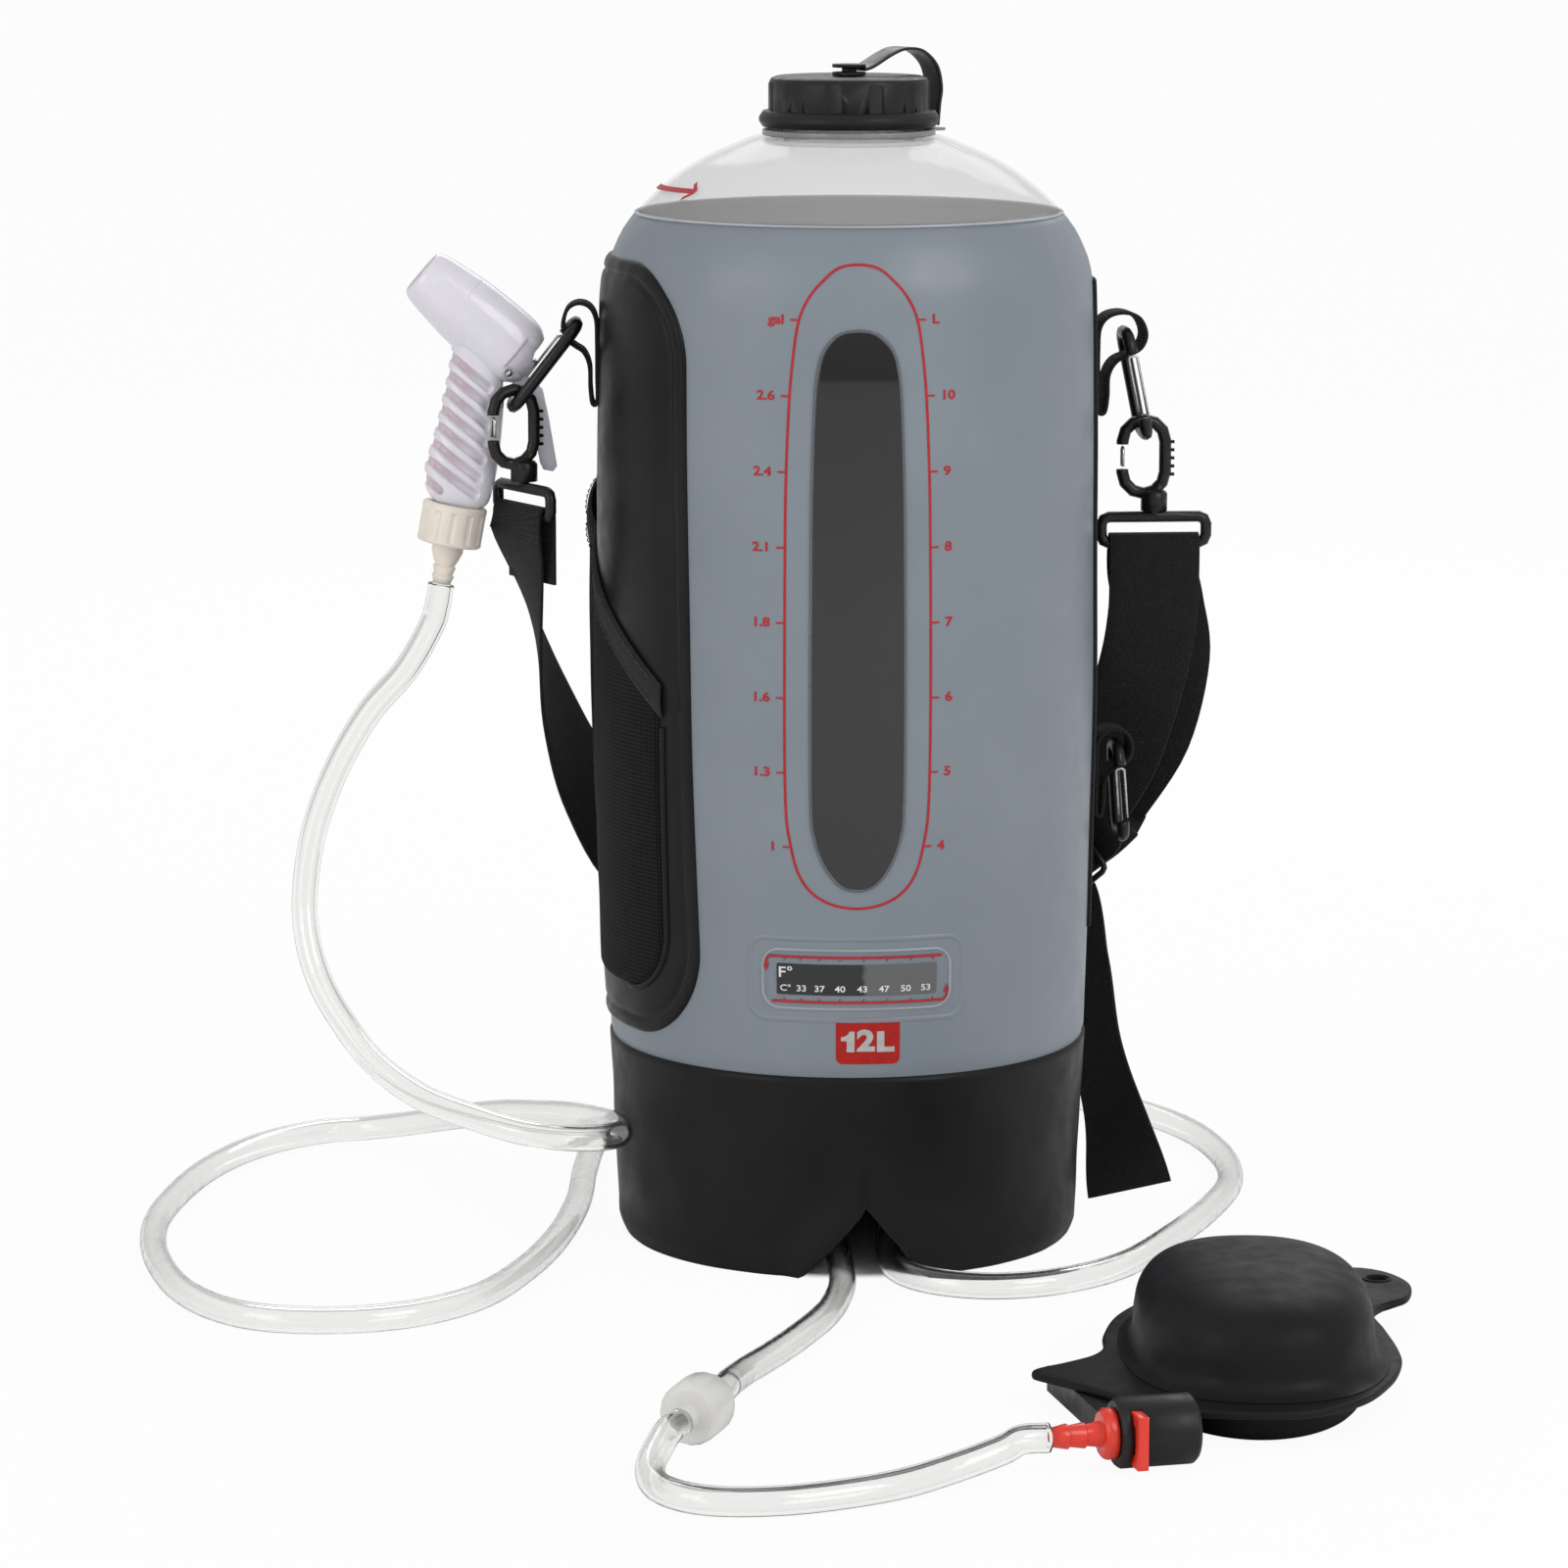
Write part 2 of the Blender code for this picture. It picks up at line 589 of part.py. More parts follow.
def plate(name, outline, thickness, parent, look=None, **where):
    """A flat outline in its own XY plane, filled and given a thickness."""
    data = bpy.data.curves.new(name, "CURVE")
    data.dimensions = "2D"
    data.fill_mode = "BOTH"
    data.extrude = thickness / 2
    line = data.splines.new("POLY")
    line.points.add(len(outline) - 1)
    for point, (x, y) in zip(line.points, outline):
        point.co = (x, y, 0.0, 1.0)
    line.use_cyclic_u = True
    return add(name, data, parent, look, **where)


def tube(name, points, radius, parent, look=None, level=2, ring=False, **where):
    data = bpy.data.curves.new(name, "CURVE")
    data.dimensions = "3D"
    data.bevel_depth = radius
    data.bevel_resolution = level
    data.use_fill_caps = not ring
    line = data.splines.new("POLY")
    line.points.add(len(points) - 1)
    for point, place in zip(line.points, points):
        point.co = (*place, 1.0)
    line.use_cyclic_u = ring
    return add(name, data, parent, look, **where)


def as_mesh(obj):
    """Replaces a curve object by a mesh object of the same shape, with its caps welded."""
    bpy.context.view_layer.update()
    evaluated = obj.evaluated_get(bpy.context.evaluated_depsgraph_get())
    data = bpy.data.meshes.new_from_object(evaluated)
    work = bmesh.new()
    work.from_mesh(data)
    bmesh.ops.remove_doubles(work, verts=work.verts, dist=0.000001)
    work.to_mesh(data)
    work.free()
    name = obj.name
    home = obj.users_collection[0]
    parent, place, turn = obj.parent, obj.location.copy(), obj.rotation_euler.copy()
    hidden = obj.hide_render
    bpy.data.objects.remove(obj, do_unlink=True)
    made = bpy.data.objects.new(name, data)
    home.objects.link(made)
    made.parent = parent
    made.location = place
    made.rotation_euler = turn
    if hidden:
        made.display_type = "WIRE"
        made.hide_render = True
    return smooth(made)


def boolean(obj, other, operation):
    change = obj.modifiers.new(other.name, "BOOLEAN")
    change.operation = operation
    change.solver = "EXACT"
    change.object = other


def cut(obj, cutter):
    boolean(obj, cutter, "DIFFERENCE")


def join(obj, other):
    boolean(obj, other, "UNION")


def curve_point(before, start, end, after, share):
    """A point on the smooth curve that runs from start to end."""
    return 0.5 * (2 * start + (end - before) * share
                  + (2 * before - 5 * start + 4 * end - after) * share ** 2
                  + (3 * start - before - 3 * end + after) * share ** 3)


def smooth_path(route, per_span, ring=False):
    """Reads points from a smooth curve through the route's own points."""
    route = [Vector(point) for point in route]
    count = len(route)
    spans = count if ring else count - 1
    path = []
    for i in range(spans):
        if ring:
            before, start, end, after = (route[(i + k) % count] for k in (-1, 0, 1, 2))
        else:
            start, end = route[i], route[i + 1]
            before = route[i - 1] if i > 0 else 2 * start - end
            after = route[i + 2] if i + 2 < count else 2 * end - start
        for k in range(per_span):
            path.append(curve_point(before, start, end, after, k / per_span))
    if not ring:
        path.append(route[-1])
    return path


def even_path(route, spacing):
    """Points at even steps along the smooth curve through the route's points."""
    fine = smooth_path(route, 12)
    lengths = [0.0]
    for a, b in zip(fine, fine[1:]):
        lengths.append(lengths[-1] + (b - a).length)
    count = max(2, round(lengths[-1] / spacing))
    points = []
    k = 0
    for i in range(count + 1):
        target = lengths[-1] * i / count
        while k < len(fine) - 2 and lengths[k + 1] < target:
            k += 1
        share = (target - lengths[k]) / (lengths[k + 1] - lengths[k])
        points.append(fine[k].lerp(fine[k + 1], share))
    return points


def ribbon(name, centres, across, width, thickness, parent, look=None, ring=False, **where):
    """A flat band along centres, with across giving its width direction at each of them."""
    def fill(work):
        pairs = []
        for centre, side in zip(centres, across):
            half = Vector(side).normalized() * (width / 2)
            pairs.append((work.verts.new(centre - half), work.verts.new(centre + half)))
        spans = list(zip(pairs, pairs[1:]))
        if ring:
            spans.append((pairs[-1], pairs[0]))
        for (a, b), (c, d) in spans:
            work.faces.new((a, b, d, c))
    made = add(name, mesh_from(name, fill), parent, look, **where)
    thicken(made, thickness, 0.0)
    return made


def thicken(obj, thickness, offset):
    shell = obj.modifiers.new("thickness", "SOLIDIFY")
    shell.thickness = thickness
    shell.offset = offset
    shell.use_even_offset = False


# The bag's wall, on which many pieces lie

def wall_point(height_share, radius_share):
    return BODY_RADIUS * radius_share, COLLAR_HEIGHT + (SEAM_HEIGHT - COLLAR_HEIGHT) * height_share


def wall_radius(height):
    """Outer radius of the wall at a height."""
    points = [wall_point(*pair) for pair in WALL_SHARES]
    if height <= points[-1][1]:
        return points[-1][0]
    for (upper_r, upper_z), (lower_r, lower_z) in zip(points, points[1:]):
        if height >= lower_z:
            share = min(1.0, (height - lower_z) / (upper_z - lower_z))
            return lower_r + (upper_r - lower_r) * share
    return points[0][0]


def outward(azimuth):
    return Vector((math.sin(azimuth), -math.cos(azimuth), 0.0))


def on_wall(azimuth, height, lift):
    return outward(azimuth) * (wall_radius(height) + lift) + Vector((0.0, 0.0, height))


def rounded_columns(half_width, low, high, corner, middle=5, ends=4):
    """Columns (place across, lowest, highest) of a rectangle with round corners."""
    columns = []
    for i in range(ends + 1):
        angle = math.pi / 2 * i / ends
        across = half_width - corner + corner * math.sin(angle)
        inset = corner - corner * math.cos(angle)
        columns.append((across, low + inset, high - inset))
    right = columns[1:]
    inner = half_width - corner
    flat = [(-inner + 2 * inner * i / middle, low, high) for i in range(middle + 1)]
    left = [(-across, bottom, top) for across, bottom, top in reversed(right)]
    return left + flat + right


def wrapped(name, azimuth, columns, lift, thickness, parent, look, levels=6):
    """A sheet on the bag's wall: lift(across, height) is how far its inner face stands off."""
    low = min(column[1] for column in columns)
    high = max(column[2] for column in columns)
    rows = {low + (high - low) * i / levels for i in range(levels + 1)}
    rows |= {wall_point(*pair)[1] for pair in WALL_SHARES if low < wall_point(*pair)[1] < high}
    rows = sorted(rows)

    def fill(work):
        grid = []
        for across, bottom, top in columns:
            angle = azimuth + across / BODY_RADIUS
            heights = [min(max(row, bottom), top) for row in rows]
            grid.append([work.verts.new(on_wall(angle, z, lift(across, z))) for z in heights])
        for left, right in zip(grid, grid[1:]):
            for j in range(len(rows) - 1):
                work.faces.new((left[j], right[j], right[j + 1], left[j + 1]))
        bmesh.ops.remove_doubles(work, verts=work.verts, dist=0.00001)
        bmesh.ops.dissolve_degenerate(work, edges=work.edges, dist=0.00001)
    made = add(name, mesh_from(name, fill), parent, look)
    thicken(made, thickness, 1.0)
    return smooth(made)


# Bag shell

def make_bag_wall(root):
    outer = [wall_point(*pair) for pair in WALL_SHARES]
    outer[0] = (outer[0][0], outer[0][1] - SEAT_GAP)
    outer[-1] = (outer[-1][0], outer[-1][1] + SEAT_GAP)
    inner = []
    for share in INNER_WALL_SHARES:
        height = COLLAR_HEIGHT + (SEAM_HEIGHT - COLLAR_HEIGHT) * share
        height = min(max(height, outer[-1][1]), outer[0][1])
        inner.append((wall_radius(height) - FILM, height))
    turned("bag_wall", outer + inner, root, grey_fabric(), BAG_STEPS, ring=True)


def dome_top():
    return SEAM_HEIGHT + DOME_HEIGHT


def make_top_dome(root):
    seam_radius = wall_radius(SEAM_HEIGHT)
    outer = [(NECK_RADIUS + SEAT_GAP, dome_top())]
    for height, radius in DOME_SHARES:
        outer.append((seam_radius * radius, SEAM_HEIGHT + DOME_HEIGHT * height))
    inner = []
    for height, radius in DOME_SHARES[-1:0:-2]:
        inner.append((seam_radius * radius - FILM, SEAM_HEIGHT + (DOME_HEIGHT - FILM) * height))
    inner.append((seam_radius * DOME_SHARES[0][1], dome_top() - FILM))
    inner.append((NECK_RADIUS + SEAT_GAP, dome_top() - FILM))
    turned("top_dome", outer + inner, root, clear_film(), BAG_STEPS, ring=True)


def make_base_collar(root):
    top = wall_radius(COLLAR_HEIGHT)
    outer = [(top, COLLAR_HEIGHT), (COLLAR_BOTTOM_RADIUS, COLLAR_TUCK_HEIGHT), (COLLAR_TUCK_RADIUS, 0.0)]
    inner = [(radius - COLLAR_WALL, height) for radius, height in reversed(outer)]
    collar = turned("base_collar", outer + inner, root, black_fabric(), BAG_STEPS, ring=True)
    half_flat = NOTCH_FLAT / 2
    outline = [(-NOTCH_HALF_WIDTH, -OVERRUN), (NOTCH_HALF_WIDTH, -OVERRUN), (NOTCH_HALF_WIDTH, 0.0),
               (half_flat, NOTCH_HEIGHT), (-half_flat, NOTCH_HEIGHT), (-NOTCH_HALF_WIDTH, 0.0)]
    notch = plate("notch", outline, COLLAR_BOTTOM_RADIUS, root, cutter=True,
                  place=(0.0, -COLLAR_BOTTOM_RADIUS, 0.0), turn=Matrix.Rotation(math.pi / 2, 3, "X"))
    cut(collar, as_mesh(notch))


def floor_hem_radius():
    return min(wall_radius(COLLAR_HEIGHT) - COLLAR_WALL, wall_radius(COLLAR_HEIGHT) - FILM) - 3 * SEAT_GAP


def make_bag_floor(root):
    hem = floor_hem_radius()
    top = COLLAR_HEIGHT + FLOOR_HEM
    mid_radius = hem * FLOOR_MID_RADIUS_SHARE
    mid_height = FLOOR_LOW + (COLLAR_HEIGHT - FLOOR_LOW) * FLOOR_MID_HEIGHT_SHARE
    profile = [(hem, top), (hem, COLLAR_HEIGHT - FLOOR_HEM / 2), (mid_radius, mid_height),
               (FLOOR_FLAT_RADIUS, FLOOR_LOW), (0.0, FLOOR_LOW)]
    inside = [(0.0, FLOOR_LOW + FILM), (FLOOR_FLAT_RADIUS, FLOOR_LOW + FILM), (mid_radius - FILM, mid_height + FILM),
              (hem - FILM, COLLAR_HEIGHT - FLOOR_HEM / 2 + FILM), (hem - FILM, top)]
    data_profile = profile + inside
    floor = turned("bag_floor", data_profile + [profile[0]], root, grey_fabric(), BAG_STEPS)
    for side, name in ((1, "outlet_hole"), (-1, "inlet_hole")):
        hole = rod(name, FITTING_STEM + SEAT_GAP, 2 * OVERRUN, root, cutter=True,
                   place=(side * FITTING_X, FITTING_Y, FLOOR_LOW + FILM / 2))
        cut(floor, hole)


# Filler neck, ring, cap and tether

def make_filler_neck(root):
    top = dome_top() + NECK_HEIGHT
    flange_top = dome_top() - FILM - SEAT_GAP
    profile = [(NECK_RADIUS, top)]
    for turn in range(THREAD_TURNS):
        middle = top - THREAD_PITCH * (turn + 1)
        profile += [(NECK_RADIUS, middle + THREAD_PITCH / 4), (NECK_RADIUS + THREAD_DEPTH, middle),
                    (NECK_RADIUS, middle - THREAD_PITCH / 4)]
    profile += [(NECK_RADIUS, flange_top), (NECK_FLANGE_RADIUS, flange_top),
                (NECK_FLANGE_RADIUS, flange_top - NECK_FLANGE), (NECK_BORE, flange_top - NECK_FLANGE),
                (NECK_BORE, top)]
    turned("filler_neck", profile, root, clear_film(), NECK_STEPS, ring=True)


def make_neck_ring(root):
    low = dome_top() + SEAT_GAP
    inner = NECK_RADIUS + SEAT_GAP
    profile = [(NECK_RING_RADIUS, low + NECK_RING_HEIGHT), (NECK_RING_RADIUS, low), (inner, low),
               (inner, low + NECK_RING_HEIGHT)]
    ring = turned("neck_ring", profile, root, clear_film(), NECK_STEPS, ring=True)
    length = LUG_REACH - (inner + NECK_RING_RADIUS) / 2
    lug = block("ring_lug", (length, LUG_WIDTH, NECK_RING_HEIGHT / 2), root, cutter=True,
                place=outward(TETHER_AZIMUTH) * (LUG_REACH - length / 2)
                + Vector((0.0, 0.0, low + NECK_RING_HEIGHT / 2)),
                turn=Matrix.Rotation(TETHER_AZIMUTH - math.pi / 2, 3, "Z"))
    join(ring, lug)


def cap_base():
    return dome_top() + CAP_BRIM_LIFT


def cap_top():
    return cap_base() + CAP_HEIGHT


def cap_inner_radius():
    return NECK_RADIUS + THREAD_DEPTH + RUN_GAP


def make_cap(root):
    base, top, bore = cap_base(), cap_top(), cap_inner_radius()
    edge = base + CAP_BRIM_HEIGHT / 2
    profile = [(0.0, top), (CAP_RADIUS - CAP_SHOULDER, top),
               (CAP_RADIUS - CAP_SHOULDER * 0.3, top - CAP_SHOULDER * 0.3), (CAP_RADIUS, top - CAP_SHOULDER),
               (CAP_RADIUS, base + CAP_BRIM_HEIGHT), (CAP_BRIM_RADIUS - CAP_BRIM_EDGE, base + CAP_BRIM_HEIGHT),
               (CAP_BRIM_RADIUS, edge + CAP_BRIM_EDGE / 2), (CAP_BRIM_RADIUS, edge - CAP_BRIM_EDGE / 2),
               (CAP_BRIM_RADIUS - CAP_BRIM_EDGE, base), (bore, base), (bore, top - CAP_TOP), (0.0, top - CAP_TOP)]
    cap = turned("cap", profile, root, black_plastic(), NECK_STEPS)
    height = CAP_HEIGHT - CAP_BRIM_HEIGHT + OVERRUN

    def fill(work):
        for i in range(FLUTE_COUNT):
            angle = 2 * math.pi * (i + 0.5) / FLUTE_COUNT
            reach = CAP_RADIUS + FLUTE_RADIUS - FLUTE_DEPTH
            spot = Matrix.Translation((reach * math.cos(angle), reach * math.sin(angle), 0.0))
            bmesh.ops.create_cone(work, cap_ends=True, segments=FLUTE_STEPS, radius1=FLUTE_RADIUS,
                                  radius2=FLUTE_RADIUS, depth=height, matrix=spot)
    flutes = add("flutes", mesh_from("flutes", fill), root, cutter=True,
                 place=(0.0, 0.0, base + CAP_BRIM_HEIGHT + SEAT_GAP + height / 2))
    cut(cap, flutes)
    gasket_top = top - CAP_TOP - SEAT_GAP
    gasket_outer = bore - SEAT_GAP
    turned("cap_gasket", [(gasket_outer, gasket_top), (gasket_outer, gasket_top - GASKET + SEAT_GAP),
                          (NECK_BORE, gasket_top - GASKET + SEAT_GAP), (NECK_BORE, gasket_top)],
           root, black_rubber(), NECK_STEPS, ring=True)


def make_tether(root):
    low = cap_top() + SEAT_GAP
    slot = TETHER_THICKNESS + 2 * SEAT_GAP
    turned("tether_button", [(0.0, low + 2 * BUTTON_DISC + slot), (BUTTON_RADIUS, low + 2 * BUTTON_DISC + slot),
                             (BUTTON_RADIUS, low + BUTTON_DISC + slot), (BUTTON_NECK_RADIUS, low + BUTTON_DISC + slot),
                             (BUTTON_NECK_RADIUS, low + BUTTON_DISC), (BUTTON_RADIUS, low + BUTTON_DISC),
                             (BUTTON_RADIUS, low), (0.0, low)], root, black_plastic(), steps=20)
    along = outward(TETHER_AZIMUTH)
    across = Vector((0.0, 0.0, 1.0)).cross(along)
    start_height = low + BUTTON_DISC + slot / 2
    lug_top = dome_top() + SEAT_GAP + NECK_RING_HEIGHT * 0.75 + SEAT_GAP + TETHER_THICKNESS / 2
    route = [along * (BUTTON_NECK_RADIUS + SEAT_GAP) + Vector((0.0, 0.0, start_height)),
             along * (BUTTON_RADIUS + SEAT_GAP) + Vector((0.0, 0.0, start_height))]
    for reach, rise in TETHER_SHARES:
        route.append(along * LUG_REACH * reach + Vector((0.0, 0.0, start_height + TETHER_PEAK * rise)))
    route[-1].z = lug_top
    centres = smooth_path(route, 3)
    ribbon("tether_strap", centres, [across] * len(centres), TETHER_WIDTH, TETHER_THICKNESS, root, black_webbing())


# Front window and thermometer

def against_wall(across, height):
    return PATCH_GAP


def over_strip(across, height):
    return STRIP_THICKNESS + 2 * PATCH_GAP


def make_front_pieces(root):
    corner = WINDOW_WIDTH / 2 * WINDOW_CORNER_SHARE
    columns = rounded_columns(WINDOW_WIDTH / 2, WINDOW_LOW, WINDOW_HIGH, corner, middle=1)
    wrapped("sight_window", FRONT_AZIMUTH, columns, against_wall, WINDOW_FILM, root, clear_film(), levels=2)
    middle = THERMO_MIDDLE
    columns = rounded_columns(STRIP_WIDTH / 2, middle - STRIP_HEIGHT / 2, middle + STRIP_HEIGHT / 2, STRIP_CORNER,
                              middle=12, ends=1)
    wrapped("thermometer_strip", FRONT_AZIMUTH, columns, against_wall, STRIP_THICKNESS, root, black_plastic(), levels=1)
    columns = rounded_columns(THERMO_WIDTH / 2, middle - THERMO_HEIGHT / 2, middle + THERMO_HEIGHT / 2,
                              THERMO_CORNER, middle=12)
    wrapped("thermometer_window", FRONT_AZIMUTH, columns, over_strip, THERMO_FILM, root, clear_film(), levels=2)


# Left panel and pocket

def mouth_height(across):
    """Height of the pocket's mouth: low at the front edge, rising to the back."""
    share = 0.5 - across / POUCH_WIDTH
    eased = share * share * (3 - 2 * share)
    return MOUTH_FRONT + (MOUTH_BACK - MOUTH_FRONT) * eased


def pouch_lift(across, height):
    """Distance of the pouch's inner face from the wall."""
    flat = PANEL_THICKNESS + 2 * PATCH_GAP
    side = max(0.0, 1 - ((across - BULGE_PLACE) / BULGE_HALF_WIDTH) ** 2)
    up = max(0.0, min(1.0, (height - POUCH_LOW) / (mouth_height(across) - POUCH_LOW)))
    return flat + POUCH_BULGE * side * math.sin(math.pi / 2 * up)


def make_side_panel(root):
    columns = rounded_columns(PANEL_WIDTH / 2, PANEL_LOW, PANEL_HIGH, PANEL_CORNER, middle=8)
    wrapped("side_panel", SIDE_AZIMUTH, columns, against_wall, PANEL_THICKNESS, root,
            black_fabric(), levels=2)
    plain = rounded_columns(POUCH_WIDTH / 2, POUCH_LOW, POUCH_LOW + POUCH_WIDTH, POUCH_CORNER, middle=10)
    columns = [(across, low, mouth_height(across)) for across, low, high in plain]
    wrapped("pocket_pouch", SIDE_AZIMUTH, columns, pouch_lift, POUCH_THICKNESS, root, black_webbing(), levels=6)
    columns = [(across, mouth_height(across) + SEAT_GAP, mouth_height(across) + BINDING_WIDTH)
               for across, low, high in plain]
    wrapped("pocket_binding", SIDE_AZIMUTH, columns, pouch_lift, BINDING_THICKNESS, root, black_webbing(),
            levels=10)


def make_side_band(root):
    columns = rounded_columns(BAND_WIDTH / 2, BAND_LOW, BAND_HIGH, BAND_THICKNESS, middle=4, ends=1)
    wrapped("side_band", RIGHT_AZIMUTH, columns, against_wall, BAND_THICKNESS, root,
            black_webbing(), levels=2)


# Webbing loops with their carabiners

def loop_base(backing):
    """Distance of a loop's sewn layer from the wall."""
    return backing + 2 * PATCH_GAP + WEBBING / 2


def make_loop(name, azimuth, low, height, reach, backing, root):
    wall = max(wall_radius(low), wall_radius(low + height)) + loop_base(backing)
    wall = max(wall, wall_radius(low + height / 2) + loop_base(backing))
    route = []
    for out, up in LOOP_SHARES:
        route.append(outward(azimuth) * (wall + reach * out) + Vector((0.0, 0.0, low + height * up)))
    centres = smooth_path(route, 2, ring=True)
    across = outward(azimuth + math.pi / 2)
    ribbon(name, centres, [across] * len(centres), LOOP_WIDTH, WEBBING, root, black_webbing(), ring=True)
    return (outward(azimuth) * (wall + reach * BAR_REACH_SHARE)
            + Vector((0.0, 0.0, low + height * BAR_HEIGHT_SHARE)))


def oval(width, length, corner, lug):
    """Points along a bar that is bent to a long ring and open on its -X side, where the gate is.

    The ring's top is at the origin and it reaches down -Z.
    """
    half = width / 2
    points = [(-half, -corner - lug)]
    for sx, middle_z, first in ((-1, -corner, 2), (1, -corner, 1), (1, corner - length, 0),
                                (-1, corner - length, -1)):
        for i in range(CORNER_STEPS + 1):
            angle = math.pi / 2 * (first - i / CORNER_STEPS)
            place = (sx * (half - corner) + corner * math.cos(angle), middle_z + corner * math.sin(angle))
            if (Vector(place) - Vector(points[-1])).length > GATE_WIRE / 10:
                points.append(place)
    points.append((-half, corner - length + lug))
    return [Vector((x, 0.0, z)) for x, z in points]


def make_gate(name, hinge, nose, parent):
    """A wire gate from its hinge end to the nose: a narrow U of spring wire."""
    along = (nose - hinge).normalized()
    depth = Vector((0.0, GATE_HALF_SPREAD, 0.0))
    start = along * (GATE_GAP + GATE_WIRE)
    reach = along * ((nose - hinge).length - GATE_GAP - GATE_WIRE)
    tip = reach - along * GATE_HALF_SPREAD * 0.5
    points = [start + depth, tip + depth, reach + depth * 0.5, reach - depth * 0.5, tip - depth, start - depth]
    tube(name, points, GATE_WIRE, parent, steel(), level=1, place=hinge)


def make_carabiner(name, bar_place, swing, length, width, parent, quarter=math.pi / 2):
    """A carabiner that hangs from bar_place. Its width runs across the swing's plane."""
    turn = Matrix.Rotation(swing, 3, "Y") @ Matrix.Rotation(quarter, 3, "Z")
    frame = empty(name + "_frame", parent, bar_place, turn)
    corner = width * CARABINER_CORNER_SHARE
    start = -corner - GATE_LUG
    end = -length + corner + GATE_LUG
    points = oval(width, length, corner, GATE_LUG)
    body = tube(name, points, CARABINER_BAR, frame, black_plastic(), level=2)
    hinge = Vector((-width / 2, 0.0, end))
    nose = Vector((-width / 2, 0.0, start))
    make_gate(name + "_gate", hinge, nose, frame)
    return frame, Vector((0.0, 0.0, -length)), body


def down_swing(swing):
    return Matrix.Rotation(swing, 3, "Y") @ Vector((0.0, 0.0, -1.0))


# Snap hooks and strap rings

def make_snap_hook(side, place, yaw, ring_yaw, parent):
    """A swivel snap hook hung with the middle of its top arc at place, and its ring below."""
    frame = empty("snap_hook_frame_" + side, parent, place, Matrix.Rotation(yaw, 3, "Z"))
    start = -HOOK_WIDTH / 2 - GATE_LUG
    end = -HOOK_LENGTH + HOOK_WIDTH / 2 + GATE_LUG
    points = oval(HOOK_WIDTH, HOOK_LENGTH, HOOK_WIDTH / 2, GATE_LUG)
    body = tube("snap_hook_" + side, points, HOOK_BAR, frame, black_plastic())
    body = as_mesh(body)
    barrel_top = -HOOK_LENGTH + HOOK_BAR / 2
    barrel_low = barrel_top - BARREL_HEIGHT
    profile = [(0.0, barrel_top), (BARREL_RADIUS * 0.8, barrel_top), (BARREL_RADIUS, barrel_top - HOOK_BAR / 2),
               (BARREL_RADIUS, barrel_low), (0.0, barrel_low)]
    axis = (HOOK_OFFSET, 0.0, 0.0)
    join(body, turned("barrel_" + side, profile, frame, steps=HOOK_STEPS, cutter=True, place=axis))
    ribs = block("ribs_" + side, (HOOK_RIB, HOOK_BAR, HOOK_RIB), frame, cutter=True)
    rib_mesh = bmesh.new()
    for i in range(HOOK_RIB_COUNT):
        drop = HOOK_LENGTH * (0.30 + 0.11 * i)
        spot = Matrix.Translation((HOOK_WIDTH / 2 + HOOK_BAR, 0.0, -drop))
        size = Matrix.Diagonal((2 * HOOK_RIB, HOOK_BAR, HOOK_RIB, 1.0))
        bmesh.ops.create_cube(rib_mesh, size=1.0, matrix=spot @ size)
    rib_mesh.to_mesh(ribs.data)
    rib_mesh.free()
    join(body, ribs)
    chamber_top = barrel_top - HOOK_BAR / 2 - HOOK_BAR * 0.9
    head_low = chamber_top - PIN_HEAD - 2 * SEAT_GAP
    bore = [(0.0, chamber_top), (PIN_HEAD_RADIUS + SEAT_GAP, chamber_top), (PIN_HEAD_RADIUS + SEAT_GAP, head_low),
            (PIN_RADIUS + SEAT_GAP, head_low), (PIN_RADIUS + SEAT_GAP, barrel_low - OVERRUN),
            (0.0, barrel_low - OVERRUN)]
    cut(body, turned("swivel_bore_" + side, bore, frame, steps=HOOK_STEPS + 2, cutter=True, place=axis))
    make_gate("snap_gate_" + side, Vector((-HOOK_WIDTH / 2, 0.0, end)), Vector((-HOOK_WIDTH / 2, 0.0, start)), frame)
    ring_top = barrel_low - SEAT_GAP - RING_BAR
    swivel = empty("swivel_frame_" + side, frame, axis, Matrix.Rotation(ring_yaw, 3, "Z"))
    ring = make_ring("strap_ring_" + side, ring_top, swivel)
    pin_top = chamber_top - SEAT_GAP
    pin = [(0.0, pin_top), (PIN_HEAD_RADIUS, pin_top), (PIN_HEAD_RADIUS, pin_top - PIN_HEAD),
           (PIN_RADIUS, pin_top - PIN_HEAD), (PIN_RADIUS, ring_top), (0.0, ring_top)]
    join(ring, turned("swivel_pin_" + side, pin, swivel, steps=10, cutter=True))
    turned_frame = Matrix.Translation(place) @ Matrix.Rotation(yaw, 4, "Z") @ Matrix.Translation(axis)
    matrix = turned_frame @ Matrix.Rotation(ring_yaw, 4, "Z")
    return matrix, ring_top - RING_HEIGHT


def rounded_rectangle(width, top, height, corner, steps=2):
    """Closed outline in XZ with round corners, its upper side at top."""
    points = []
    for sx, sz, first in ((1, 1, 0), (-1, 1, 1), (-1, -1, 2), (1, -1, 3)):
        centre_x = sx * (width / 2 - corner)
        centre_z = top - height / 2 + sz * (height / 2 - corner)
        for i in range(steps + 1):
            angle = math.pi / 2 * (first + i / steps)
            points.append(Vector((centre_x + corner * math.cos(angle), 0.0, centre_z + corner * math.sin(angle))))
    return points


def make_ring(name, top, frame):
    points = rounded_rectangle(RING_WIDTH - 2 * RING_BAR, top, RING_HEIGHT, RING_CORNER)
    return as_mesh(tube(name, points, RING_BAR, frame, black_plastic(), ring=True))


# Shoulder strap

